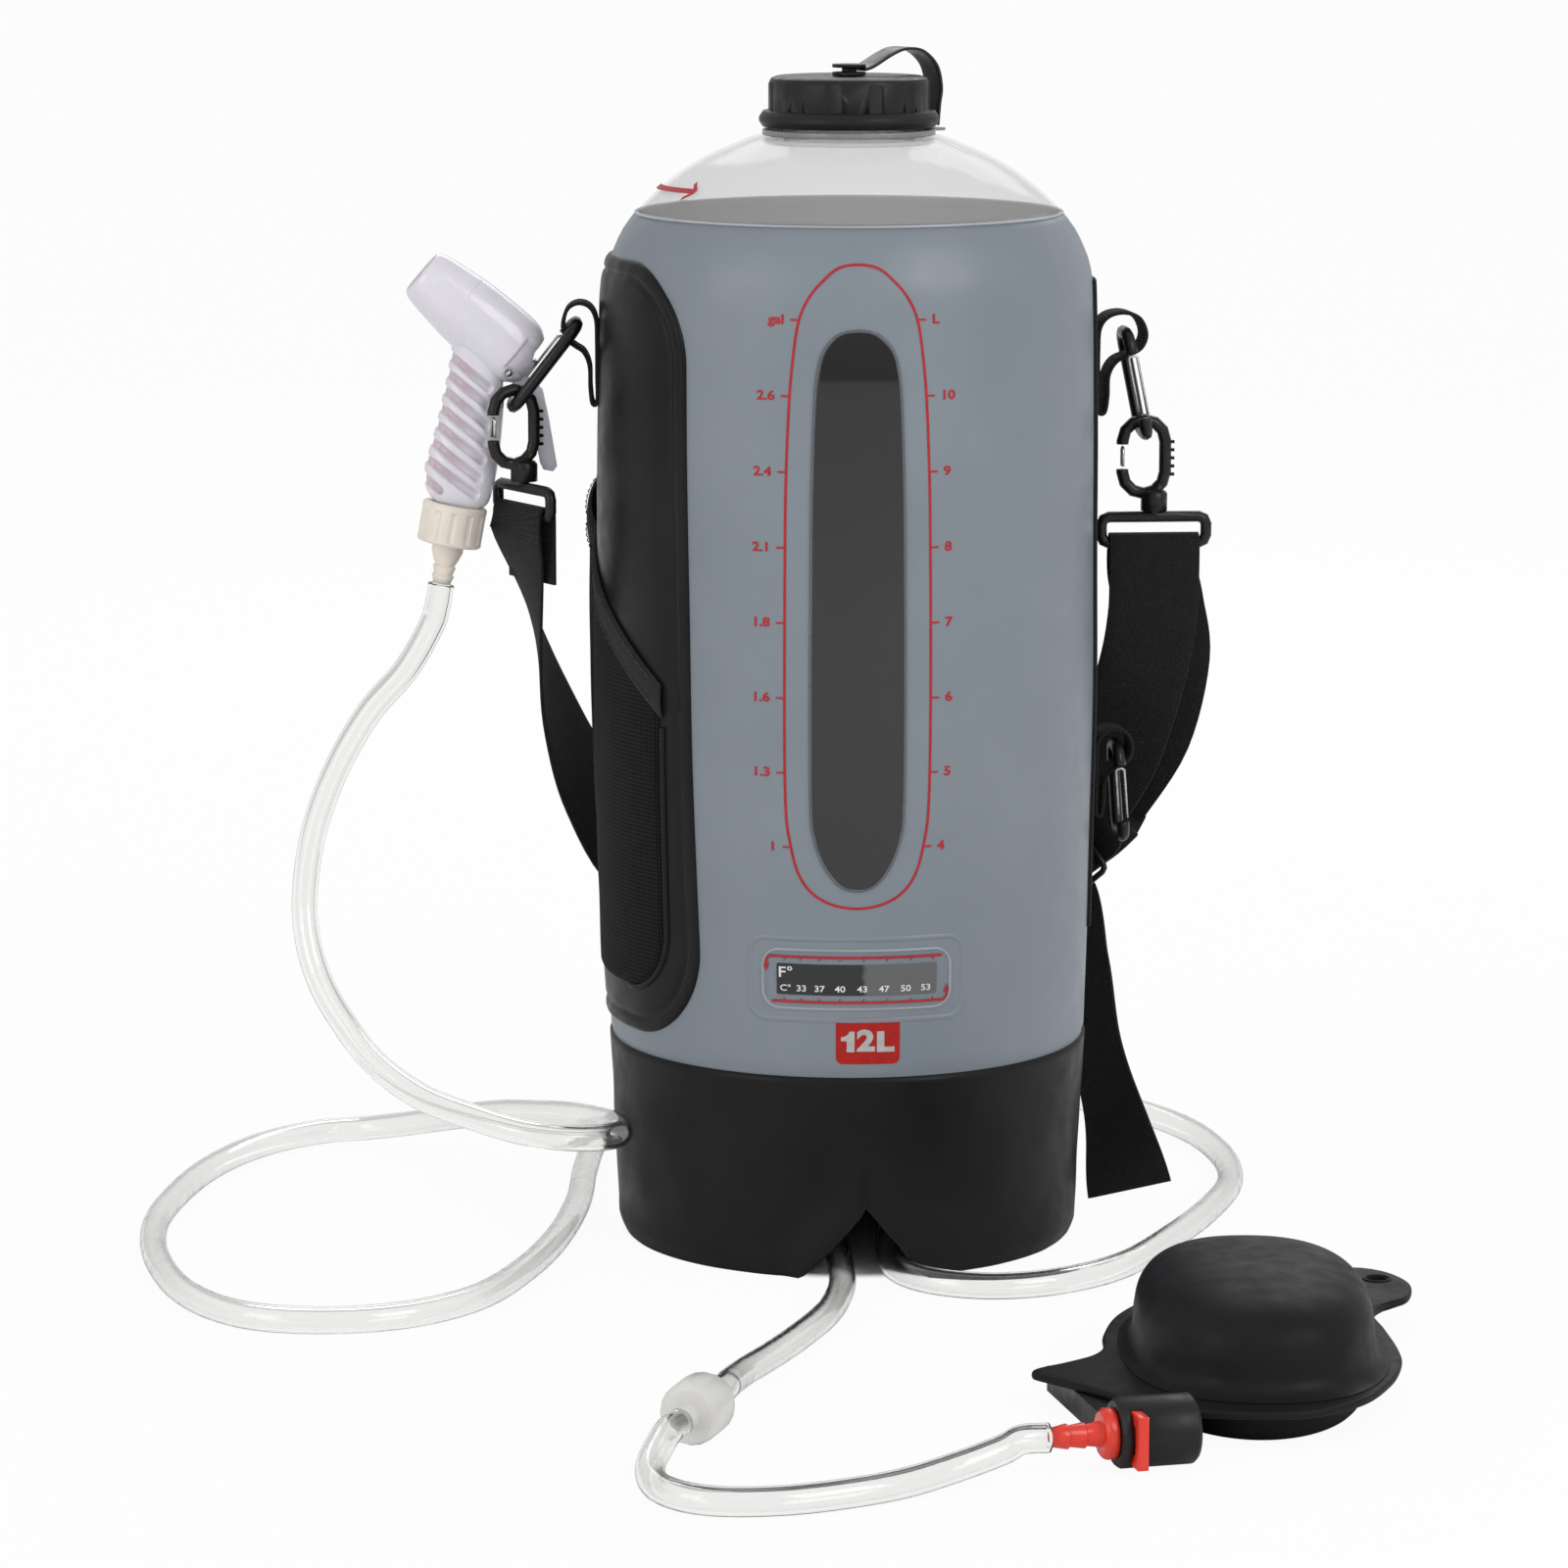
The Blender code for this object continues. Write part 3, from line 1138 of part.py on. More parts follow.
def ring_fold(frame, bar_height, front_last):
    """Stations over a ring's lower bar, from the far side of the ring to the near one."""
    radius = RING_BAR + 2 * SEAT_GAP + STRAP_THICKNESS / 2
    side = -1 if front_last else 1
    places = [(-side * radius, bar_height - FOLD_LEAD)]
    for i in range(FOLD_STEPS + 1):
        angle = math.pi * i / FOLD_STEPS
        places.append((-side * radius * math.cos(angle), bar_height + radius * math.sin(angle)))
    places.append((side * radius, bar_height - FOLD_LEAD))
    stations = [(Vector((0.0, y, z)), Vector((1.0, 0.0, 0.0))) for y, z in places]
    return [(frame @ place, frame.to_3x3() @ across) for place, across in stations]


def smooth_stations(stations, per_span):
    places = smooth_path([place for place, across in stations], per_span)
    across = smooth_path([side for place, side in stations], per_span)
    return places, across


def slider_frame():
    down = Vector(SLIDER_DOWN).normalized()
    out = Vector(SLIDER_OUT)
    across = down.cross(out).normalized()
    out = across.cross(down)
    turn = Matrix((across, down, out)).transposed()
    return Matrix.Translation(SLIDER_PLACE) @ turn.to_4x4()


def slider_stations(frame, pairs):
    """Stations at (way along the strap, height over the slider's plane)."""
    across = frame.to_3x3() @ Vector((1.0, 0.0, 0.0))
    return [(frame @ Vector((0.0, along, rise)), across) for along, rise in pairs]


def make_strap(right_frame, right_bar, left_frame, left_bar, root):
    """The strap's two layers at the right ring, its way round the back and its fold at the left ring."""
    slider = slider_frame()
    layer = STRAP_THICKNESS + SEAT_GAP
    over = SLIDER_BAR + 3 * SEAT_GAP + STRAP_THICKNESS / 2
    under = -over - layer - SEAT_GAP
    wrap = []
    for i in range(FOLD_STEPS + 1):
        angle = math.pi * i / FOLD_STEPS
        wrap.append((over * math.sin(angle), -over * math.cos(angle)))
    leaving = [(-SLIDER_PITCH * along, over * rise) for along, rise in SLIDER_LEAVING_SHARES]
    stations = slider_stations(slider, wrap + leaving)
    stations += BACK_LAYER_ROUTE
    stations += ring_fold(right_frame, right_bar, True)
    stations += FRONT_LAYER_ROUTE
    stations += slider_stations(slider, [(-SLIDER_PITCH * 1.9, 0.0), (-SLIDER_PITCH, over * 0.85),
                                         (0.0, under), (SLIDER_PITCH, over * 0.85), (SLIDER_PITCH * 1.9, 0.0)])
    stations += REAR_ROUTE
    stations += ring_fold(left_frame, left_bar, False)
    radius = RING_BAR + 2 * SEAT_GAP + STRAP_THICKNESS / 2
    sewn = left_frame @ Vector((0.0, radius, left_bar - STRAP_SEWN))
    stations.append((sewn, left_frame.to_3x3() @ Vector((1.0, 0.0, 0.0))))
    places, across = smooth_stations(stations, STRAP_PER_SPAN)
    ribbon("shoulder_strap", places, across, STRAP_WIDTH, STRAP_THICKNESS, root, black_webbing())


def make_slider(root):
    frame_matrix = slider_frame()
    frame = empty("slider_frame", root, frame_matrix.translation, frame_matrix.to_3x3())
    half = SLIDER_PITCH
    outline = rounded_rectangle(SLIDER_WIDTH, half, 2 * half, 2 * SLIDER_BAR)
    points = [Vector((point.x, point.z, 0.0)) for point in outline]
    slider = as_mesh(tube("strap_slider", points, SLIDER_BAR, frame, black_plastic(), ring=True))
    join(slider, rod("middle_bar", SLIDER_BAR, SLIDER_WIDTH, frame, steps=8, cutter=True,
                     turn=Matrix.Rotation(math.pi / 2, 3, "Y")))


def make_strap_tail(root):
    slider = slider_frame()
    over = SLIDER_BAR + 3 * SEAT_GAP + STRAP_THICKNESS / 2
    stations = slider_stations(slider, [(SLIDER_PITCH * TAIL_START_SHARE, over * TAIL_RISE_SHARE)])
    stations += STRAP_TAIL_ROUTE
    stations.append((Vector(TAIL_TIP), Vector((1.0, -0.35, 0.0))))
    places, across = smooth_stations(stations, 4)
    ribbon("strap_tail", places, across, STRAP_WIDTH * 0.98, STRAP_THICKNESS, root, black_webbing())


# Fittings under the bag

def barb_profile(tip, root_height, root_radius):
    """Outer side of a hose barb from its root down to its tip, in heights along its own axis."""
    length = root_height - tip
    return [(root_radius, root_height)] + [(HOSE_BORE * radius, tip + length * share)
                                           for share, radius in reversed(BARB_SHARES)]


def make_fitting(name, x, root):
    """An elbow: a stem up through the bag's floor, with its nut, and a barb towards the front."""
    frame = empty(name + "_frame", root, (x, FITTING_Y, FITTING_AXIS_HEIGHT))
    flange_top = FLOOR_LOW - SEAT_GAP - FITTING_AXIS_HEIGHT
    stem_top = flange_top + SEAT_GAP + FILM + FITTING_RISE
    elbow = turned(name + "_elbow",
                   [(0.0, stem_top), (FITTING_STEM, stem_top), (FITTING_STEM, flange_top),
                    (FITTING_FLANGE_RADIUS, flange_top), (FITTING_FLANGE_RADIUS, flange_top - FITTING_FLANGE),
                    (FITTING_STEM, flange_top - FITTING_FLANGE), (FITTING_STEM, -FITTING_STEM),
                    (0.0, -FITTING_STEM)], frame, black_plastic(), steps=16)
    tip = -FITTING_STEM - FITTING_BARB
    arm = turned(name + "_arm", [(0.0, FITTING_STEM / 3), (FITTING_STEM * 0.8, FITTING_STEM / 3)]
                 + barb_profile(tip, -FITTING_STEM, FITTING_STEM * 0.8) + [(0.0, tip)], frame, steps=14,
                 cutter=True, turn=Matrix.Rotation(-math.pi / 2, 3, "X"))
    join(elbow, arm)
    down = turned(name + "_down_bore", [(0.0, stem_top + OVERRUN), (FITTING_BORE, stem_top + OVERRUN),
                                        (FITTING_BORE, -FITTING_BORE), (0.0, -FITTING_BORE)], frame,
                  steps=10, cutter=True)
    cut(elbow, down)
    ahead = turned(name + "_ahead_bore", [(0.0, FITTING_BORE / 3), (FITTING_BORE * 0.9, FITTING_BORE / 3),
                                          (FITTING_BORE * 0.9, tip - OVERRUN),
                                          (0.0, tip - OVERRUN)], frame, steps=12, cutter=True,
                   turn=Matrix.Rotation(-math.pi / 2, 3, "X"))
    cut(elbow, ahead)
    nut_low = flange_top + 2 * SEAT_GAP + FILM
    turned(name + "_nut", [(FITTING_NUT_RADIUS, nut_low + FITTING_NUT), (FITTING_NUT_RADIUS, nut_low),
                           (FITTING_STEM + SEAT_GAP, nut_low), (FITTING_STEM + SEAT_GAP, nut_low + FITTING_NUT)],
           frame, black_plastic(), steps=12, ring=True)
    return Vector((x, FITTING_Y + tip - SEAT_GAP, FITTING_AXIS_HEIGHT)), Vector((0.0, -1.0, 0.0))


# Spray gun

def handle_section(share):
    """Half width, half depth and shift of the handle's section at a share of its length."""
    for (low, width, shift), (high, next_width, next_shift) in zip(HANDLE_SHARES, HANDLE_SHARES[1:]):
        if share <= high:
            part = (share - low) / (high - low)
            return width + (next_width - width) * part, shift + (next_shift - shift) * part
    return HANDLE_SHARES[-1][1:]


def make_handle_mesh():
    def fill(work):
        rings = []
        for share, width, shift in HANDLE_SHARES:
            ring = []
            for i in range(HANDLE_STEPS):
                angle = 2 * math.pi * i / HANDLE_STEPS
                x = HANDLE_WIDTH * (shift + width / 2 * math.cos(angle))
                y = HANDLE_DEPTH * width / 2 * math.sin(angle)
                ring.append(work.verts.new((x, y, HANDLE_LENGTH * share)))
            rings.append(ring)
        for lower, upper in zip(rings, rings[1:]):
            for i in range(HANDLE_STEPS):
                k = (i + 1) % HANDLE_STEPS
                work.faces.new((lower[i], lower[k], upper[k], upper[i]))
        work.faces.new(list(reversed(rings[0])))
        work.faces.new(rings[-1])
    return mesh_from("handle", fill)


def barrel_matrix():
    """Frame at the middle of the spray face: z runs back along the barrel, x down towards the grip."""
    turn = Matrix.Rotation(math.pi / 2 + BARREL_TILT, 3, "Y")
    along = turn @ Vector((0.0, 0.0, 1.0))
    return Matrix.Translation(Vector((0.0, 0.0, BARREL_RISE)) - along * BARREL_FROM_AXIS) @ turn.to_4x4()


def make_gun(place, root):
    gun = empty("gun_frame", root, place, Matrix.Rotation(GUN_LEAN, 3, "Y"))
    matrix = barrel_matrix()
    barrel = empty("barrel_frame", gun, matrix.translation, matrix.to_3x3())
    rear = GUN_BARREL
    body = turned("gun_body", [(0.0, rear), (GUN_REAR_RADIUS * 0.72, rear), (GUN_REAR_RADIUS * 0.93, rear * 0.965),
                               (GUN_REAR_RADIUS, rear * 0.90), (GUN_REAR_RADIUS * 0.95, rear * 0.60),
                               (GUN_FRONT_RADIUS * 1.03, rear * 0.25), (GUN_FRONT_RADIUS, rear * 0.03),
                               (GUN_FRONT_RADIUS * 0.96, 0.0), (0.0, 0.0)], barrel, white_plastic())
    join(body, add("handle", make_handle_mesh(), gun, cutter=True))
    join(body, turned("spigot", [(0.0, OVERRUN), (SPIGOT_RADIUS, OVERRUN), (SPIGOT_RADIUS, -SPIGOT_LENGTH),
                                 (0.0, -SPIGOT_LENGTH)], gun, cutter=True))
    face_end = FACE_THICKNESS + OVERRUN * 0.3
    rod_end = SLOT_START + RUN_GAP
    bore = [(0.0, rod_end), (STEM_RADIUS + SEAT_GAP, rod_end), (STEM_RADIUS + SEAT_GAP, CHAMBER_END),
            (CHAMBER_RADIUS, CHAMBER_END), (CHAMBER_RADIUS, SEAT_DEPTH), (SEAT_HOLE, SEAT_DEPTH),
            (SEAT_HOLE, FACE_DEPTH), (FACE_RADIUS * 0.88, FACE_DEPTH), (FACE_RADIUS * 0.88, face_end),
            (FACE_RADIUS + SEAT_GAP, face_end), (FACE_RADIUS + SEAT_GAP, -OVERRUN), (0.0, -OVERRUN)]
    cut(body, turned("waterway", bore, barrel, steps=WATERWAY_STEPS, cutter=True))
    bore_top = BARREL_RISE - CHAMBER_RADIUS / 3
    cut(body, turned("handle_bore", [(0.0, bore_top), (WATERWAY_RADIUS, bore_top),
                                     (WATERWAY_RADIUS, -SPIGOT_LENGTH - OVERRUN), (0.0, -SPIGOT_LENGTH - OVERRUN)],
                     gun, steps=HANDLE_BORE_STEPS, cutter=True))
    make_trigger_room(body, gun, barrel)
    make_grip_slots(body, gun)
    make_gun_face(barrel, face_end - SEAT_GAP)
    make_valve(barrel)
    make_trigger(gun, matrix)
    return make_hose_nut(gun)


def make_trigger_room(body, gun, barrel):
    """Clears the barrel's rear and the top of the handle for the trigger, and bores for its pin."""
    back = GUN_BARREL + OVERRUN
    to_barrel = barrel_matrix().inverted()
    right = ROOM_LEFT + 2 * GUN_REAR_RADIUS
    low = [to_barrel @ Vector((x, 0.0, ROOM_LOW)) for x in (right, ROOM_LEFT)]
    outline = [(corner.x, corner.z) for corner in low]
    outline += [(SLOT_DROP, SLOT_START), (-SLOT_RISE, SLOT_START), (-SLOT_RISE, back), (low[0].x, back)]
    room = plate("trigger_room", outline, TRIGGER_THICKNESS + 2 * RUN_GAP, barrel, cutter=True,
                 turn=Matrix.Rotation(math.pi / 2, 3, "X"))
    cut(body, as_mesh(room))
    pivot = pivot_place(barrel_matrix())
    cut(body, rod("pin_hole", PIVOT_PIN_RADIUS + SEAT_GAP, 2 * GUN_REAR_RADIUS + OVERRUN, gun, steps=16, cutter=True,
                  place=pivot, turn=Matrix.Rotation(math.pi / 2, 3, "X")))


def make_grip_slots(body, gun):
    """Slanted grip slots on both sides of the handle."""
    def fill(work):
        for i in range(SLOT_COUNT):
            height = HANDLE_LENGTH * (SLOT_START_SHARE + SLOT_PITCH_SHARE * i)
            width, shift = handle_section(height / HANDLE_LENGTH)
            for side in (1, -1):
                spot = Matrix.Translation((HANDLE_WIDTH * shift, side * HANDLE_DEPTH * width / 2, height))
                slant = Matrix.Rotation(-SLOT_SLANT, 4, "Y")
                size = Matrix.Diagonal((SLOT_WIDTH * width, 2 * SLOT_DEPTH, SLOT_HEIGHT, 1.0))
                bmesh.ops.create_cube(work, size=1.0, matrix=spot @ slant @ size)
    cut(body, add("grip_slots", mesh_from("grip_slots", fill), gun, cutter=True))


def pivot_place(matrix):
    return matrix @ Vector((PIVOT_DROP, 0.0, PIVOT_DEPTH))


def make_gun_face(barrel, depth):
    face = turned("gun_face", [(0.0, depth), (FACE_RADIUS, depth), (FACE_RADIUS, depth - FACE_THICKNESS * 0.8),
                               (FACE_RADIUS * 0.86, depth - FACE_THICKNESS), (0.0, depth - FACE_THICKNESS)],
                  barrel, cream_plastic(), steps=20)

    def fill(work):
        for count, reach in ((FACE_HOLE_COUNT, 0.62), (1, 0.0)):
            for i in range(count):
                angle = 2 * math.pi * i / count
                spot = Matrix.Translation((FACE_RADIUS * reach * math.cos(angle),
                                           FACE_RADIUS * reach * math.sin(angle), 0.0))
                bmesh.ops.create_cone(work, cap_ends=True, segments=6, radius1=FACE_HOLE, radius2=FACE_HOLE,
                                      depth=4 * FACE_THICKNESS, matrix=spot)
    cut(face, add("face_holes", mesh_from("face_holes", fill), barrel, cutter=True))


def make_valve(barrel):
    head = SEAT_DEPTH + SEAT_GAP
    button = BUTTON_START
    turned("valve_stem", [(0.0, button + STEM_BUTTON), (STEM_BUTTON_RADIUS, button + STEM_BUTTON),
                          (STEM_BUTTON_RADIUS, button), (STEM_RADIUS, button), (STEM_RADIUS, head + STEM_HEAD),
                          (STEM_HEAD_RADIUS, head + STEM_HEAD), (STEM_HEAD_RADIUS, head), (0.0, head)],
           barrel, steel(), steps=20)
    start = head + STEM_HEAD + SEAT_GAP + SPRING_WIRE
    end = CHAMBER_END - SEAT_GAP - SPRING_WIRE
    points = []
    count = SPRING_TURNS * SPRING_POINTS
    for i in range(count + 1):
        angle = 2 * math.pi * i / SPRING_POINTS
        points.append(Vector((SPRING_RADIUS * math.cos(angle), SPRING_RADIUS * math.sin(angle),
                              start + (end - start) * i / count)))
    tube("valve_spring", points, SPRING_WIRE, barrel, steel(), level=1)


def make_trigger(gun, matrix):
    pivot = pivot_place(matrix)
    outline = [(TRIGGER_LENGTH * x, TRIGGER_LENGTH * z) for x, z in TRIGGER_SHARES]
    upright = Matrix.Rotation(math.pi / 2, 3, "X")
    trigger = as_mesh(plate("gun_trigger", outline, TRIGGER_THICKNESS, gun, white_plastic(), place=pivot,
                            turn=upright))
    barrel = bpy.data.objects["barrel_frame"]
    fork_high = SLOT_RISE + OVERRUN
    fork_low = STEM_RADIUS * 2.4
    fork = block("fork", (fork_high + fork_low, 2 * STEM_RADIUS * 1.3, GUN_BARREL - CHAMBER_END), barrel, cutter=True,
                 place=((fork_low - fork_high) / 2, 0.0, PIVOT_DEPTH + RUN_GAP))
    cut(trigger, fork)
    cut(trigger, rod("trigger_bore", PIVOT_PIN_RADIUS + SEAT_GAP, 2 * TRIGGER_THICKNESS, gun, steps=16, cutter=True,
                     place=pivot, turn=upright))
    rod("trigger_pin", PIVOT_PIN_RADIUS, PIVOT_PIN_LENGTH, gun, steel(), steps=16, place=pivot, turn=upright)


def make_hose_nut(gun):
    top = -NUT_DROP
    low = top - NUT_HEIGHT
    lip = low + NUT_LIP
    bore = SPIGOT_RADIUS + SEAT_GAP
    hole = TAIL_RADIUS + RUN_GAP
    nut = turned("hose_nut", [(NUT_RADIUS * 0.95, top), (NUT_RADIUS, top - OVERRUN * 0.3),
                              (NUT_RADIUS, low + OVERRUN * 0.3), (NUT_RADIUS * 0.95, low), (hole, low),
                              (hole, lip), (bore, lip), (bore, top)], gun, cream_plastic(), steps=24, ring=True)

    def fill(work):
        for i in range(NUT_FLUTES):
            angle = 2 * math.pi * i / NUT_FLUTES
            reach = NUT_RADIUS + NUT_FLUTE_RADIUS * 0.55
            spot = Matrix.Translation((reach * math.cos(angle), reach * math.sin(angle), 0.0))
            bmesh.ops.create_cone(work, cap_ends=True, segments=6, radius1=NUT_FLUTE_RADIUS,
                                  radius2=NUT_FLUTE_RADIUS, depth=NUT_HEIGHT * 0.74, matrix=spot)
    cut(nut, add("nut_flutes", mesh_from("nut_flutes", fill), gun, cutter=True,
                 place=(0.0, 0.0, low + NUT_HEIGHT * 0.46)))
    collar_top = -SPIGOT_LENGTH - SEAT_GAP
    collar_low = collar_top - TAIL_COLLAR
    tip = low - TAIL_LENGTH
    outer = [(FITTING_BORE, collar_top), (SPIGOT_RADIUS, collar_top), (SPIGOT_RADIUS, collar_low),
             (TAIL_RADIUS, collar_low), (TAIL_RADIUS, low - OVERRUN)]
    outer += barb_profile(tip, low - 2 * OVERRUN, TAIL_RADIUS * 0.85)
    turned("barb_tail", outer + [(FITTING_BORE, tip)], gun, cream_plastic(), steps=18, ring=True)
    return Vector((0.0, 0.0, tip - SEAT_GAP))


# Hoses and the check valve

def make_hose(name, start, route, end, root):
    """A hose from one fitting to another: start and end are (place, direction out of the fitting)."""
    (start_place, start_way), (end_place, end_way) = start, end
    inner_start = start_place + start_way * HOSE_LEAD
    inner_end = end_place + end_way * HOSE_LEAD
    points = even_path([inner_start] + [Vector(point) for point in route] + [inner_end], HOSE_SPACING)
    tube(name, [start_place] + points + [end_place], HOSE_RADIUS, root, clear_film(), level=HOSE_SIDE_STEPS)


def make_check_valve(root):
    turn = Matrix.Rotation(VALVE_TURN, 3, "Z") @ Matrix.Rotation(-math.pi / 2, 3, "X")
    place = Vector((VALVE_X, VALVE_Y, VALVE_RADIUS + SEAT_GAP))
    frame = empty("check_valve_frame", root, place, turn)
    half = VALVE_LENGTH / 2
    chamber = VALVE_DISC + VALVE_LIFT + 2 * SEAT_GAP
    bore = FITTING_BORE
    outer = [(bore, VALVE_REACH), (VALVE_NECK * 0.9, VALVE_REACH), (VALVE_NECK, half),
             (VALVE_RADIUS * 0.86, half), (VALVE_RADIUS, half * 0.62), (VALVE_RADIUS, -half * 0.62),
             (VALVE_RADIUS * 0.86, -half), (VALVE_NECK, -half), (VALVE_NECK * 0.9, -VALVE_REACH),
             (bore, -VALVE_REACH)]
    inner = [(bore, -chamber / 2), (VALVE_CHAMBER, -chamber / 2), (VALVE_CHAMBER, chamber / 2), (bore, chamber / 2)]
    turned("check_valve_body", outer + inner, frame, clear_film(), steps=20, ring=True)
    low = -chamber / 2 + SEAT_GAP
    turned("check_valve_disc", [(0.0, low + VALVE_DISC), (VALVE_DISC_RADIUS, low + VALVE_DISC),
                                (VALVE_DISC_RADIUS, low), (0.0, low)], frame, black_rubber(), steps=20)
    along = turn @ Vector((0.0, 0.0, 1.0))
    reach = along * (VALVE_REACH + SEAT_GAP)
    return (place + reach, along), (place - reach, -along)


# Foot pump

def oval_turned(name, profile, half_width, half_length, frame, look=None, **where):
    """A profile given by its radius along the pump, narrowed across the pump."""
    made = turned(name, profile, frame, look, steps=PUMP_STEPS, **where)
    made.scale.x = half_width / half_length
    return made


def tray_top():
    return TRAY_HEIGHT + PUMP_SHEET


def make_pump_base(pump):
    outline = [(PUMP_HALF_WIDTH * x, PUMP_HALF_LENGTH * y) for x, y in PUMP_OUTLINE_SHARES]
    outline = [(point.x, point.y) for point in smooth_path([(x, y, 0.0) for x, y in outline], 1, ring=True)]
    base = as_mesh(plate("pump_base", outline, PUMP_SHEET, pump, black_rubber(),
                         place=(0.0, 0.0, TRAY_HEIGHT + PUMP_SHEET / 2)))
    radius = TRAY_HALF_LENGTH
    join(base, oval_turned("tray", [(0.0, TRAY_HEIGHT + PUMP_SHEET / 2), (radius, TRAY_HEIGHT + PUMP_SHEET / 2),
                                    (radius, TRAY_WALL / 2), (radius - TRAY_WALL / 2, 0.0), (0.0, 0.0)],
                           TRAY_HALF_WIDTH, TRAY_HALF_LENGTH, pump, cutter=True))
    inside = radius - TRAY_WALL
    cut(base, oval_turned("tray_room", [(0.0, tray_top() + OVERRUN), (inside, tray_top() + OVERRUN),
                                        (inside, TRAY_WALL), (0.0, TRAY_WALL)],
                          TRAY_HALF_WIDTH - TRAY_WALL, inside, pump, cutter=True))
    eyelet = (PUMP_HALF_WIDTH * EYELET_SHARES[0], PUMP_HALF_LENGTH * EYELET_SHARES[1], tray_top())
    cut(base, rod("eyelet", EYELET_RADIUS, 2 * TRAY_HEIGHT, pump, steps=16, cutter=True, place=eyelet))
    cut(base, rod("intake", INTAKE_RADIUS, 4 * TRAY_WALL, pump, steps=16, cutter=True,
                  place=(0.0, 0.0, TRAY_WALL)))
    turned("intake_flap", [(0.0, TRAY_WALL + SEAT_GAP + FLAP_THICKNESS),
                           (FLAP_RADIUS, TRAY_WALL + SEAT_GAP + FLAP_THICKNESS),
                           (FLAP_RADIUS, TRAY_WALL + SEAT_GAP), (0.0, TRAY_WALL + SEAT_GAP)],
           pump, red_plastic(), steps=20)
    return base


def make_pump_dome(pump):
    low = tray_top() + SEAT_GAP
    outer = [(DOME_HALF_LENGTH * radius, low + PUMP_DOME_HEIGHT * height) for radius, height in PUMP_DOME_SHARES]
    inner = [(max(0.0, radius - PUMP_SKIN), max(low, height - PUMP_SKIN)) for radius, height in reversed(outer)]
    oval_turned("pump_dome", outer + inner, DOME_HALF_WIDTH, DOME_HALF_LENGTH, pump, black_rubber())
    radius = TRAY_HALF_LENGTH - TRAY_WALL - FOAM_CLEARANCE
    upper = DOME_HALF_LENGTH - PUMP_SKIN - FOAM_CLEARANCE
    profile = []
    for share, height in PUMP_DOME_SHARES[:-2]:
        profile.append((max(0.0, upper * share - FOAM_CLEARANCE) if share else 0.0,
                        low + PUMP_DOME_HEIGHT * height - PUMP_SKIN - FOAM_CLEARANCE))
    profile += [(min(radius, profile[-1][0]), FOAM_FLOOR), (0.0, FOAM_FLOOR)]
    oval_turned("pump_foam", profile, DOME_HALF_WIDTH - PUMP_SKIN, DOME_HALF_LENGTH - PUMP_SKIN, pump, foam())


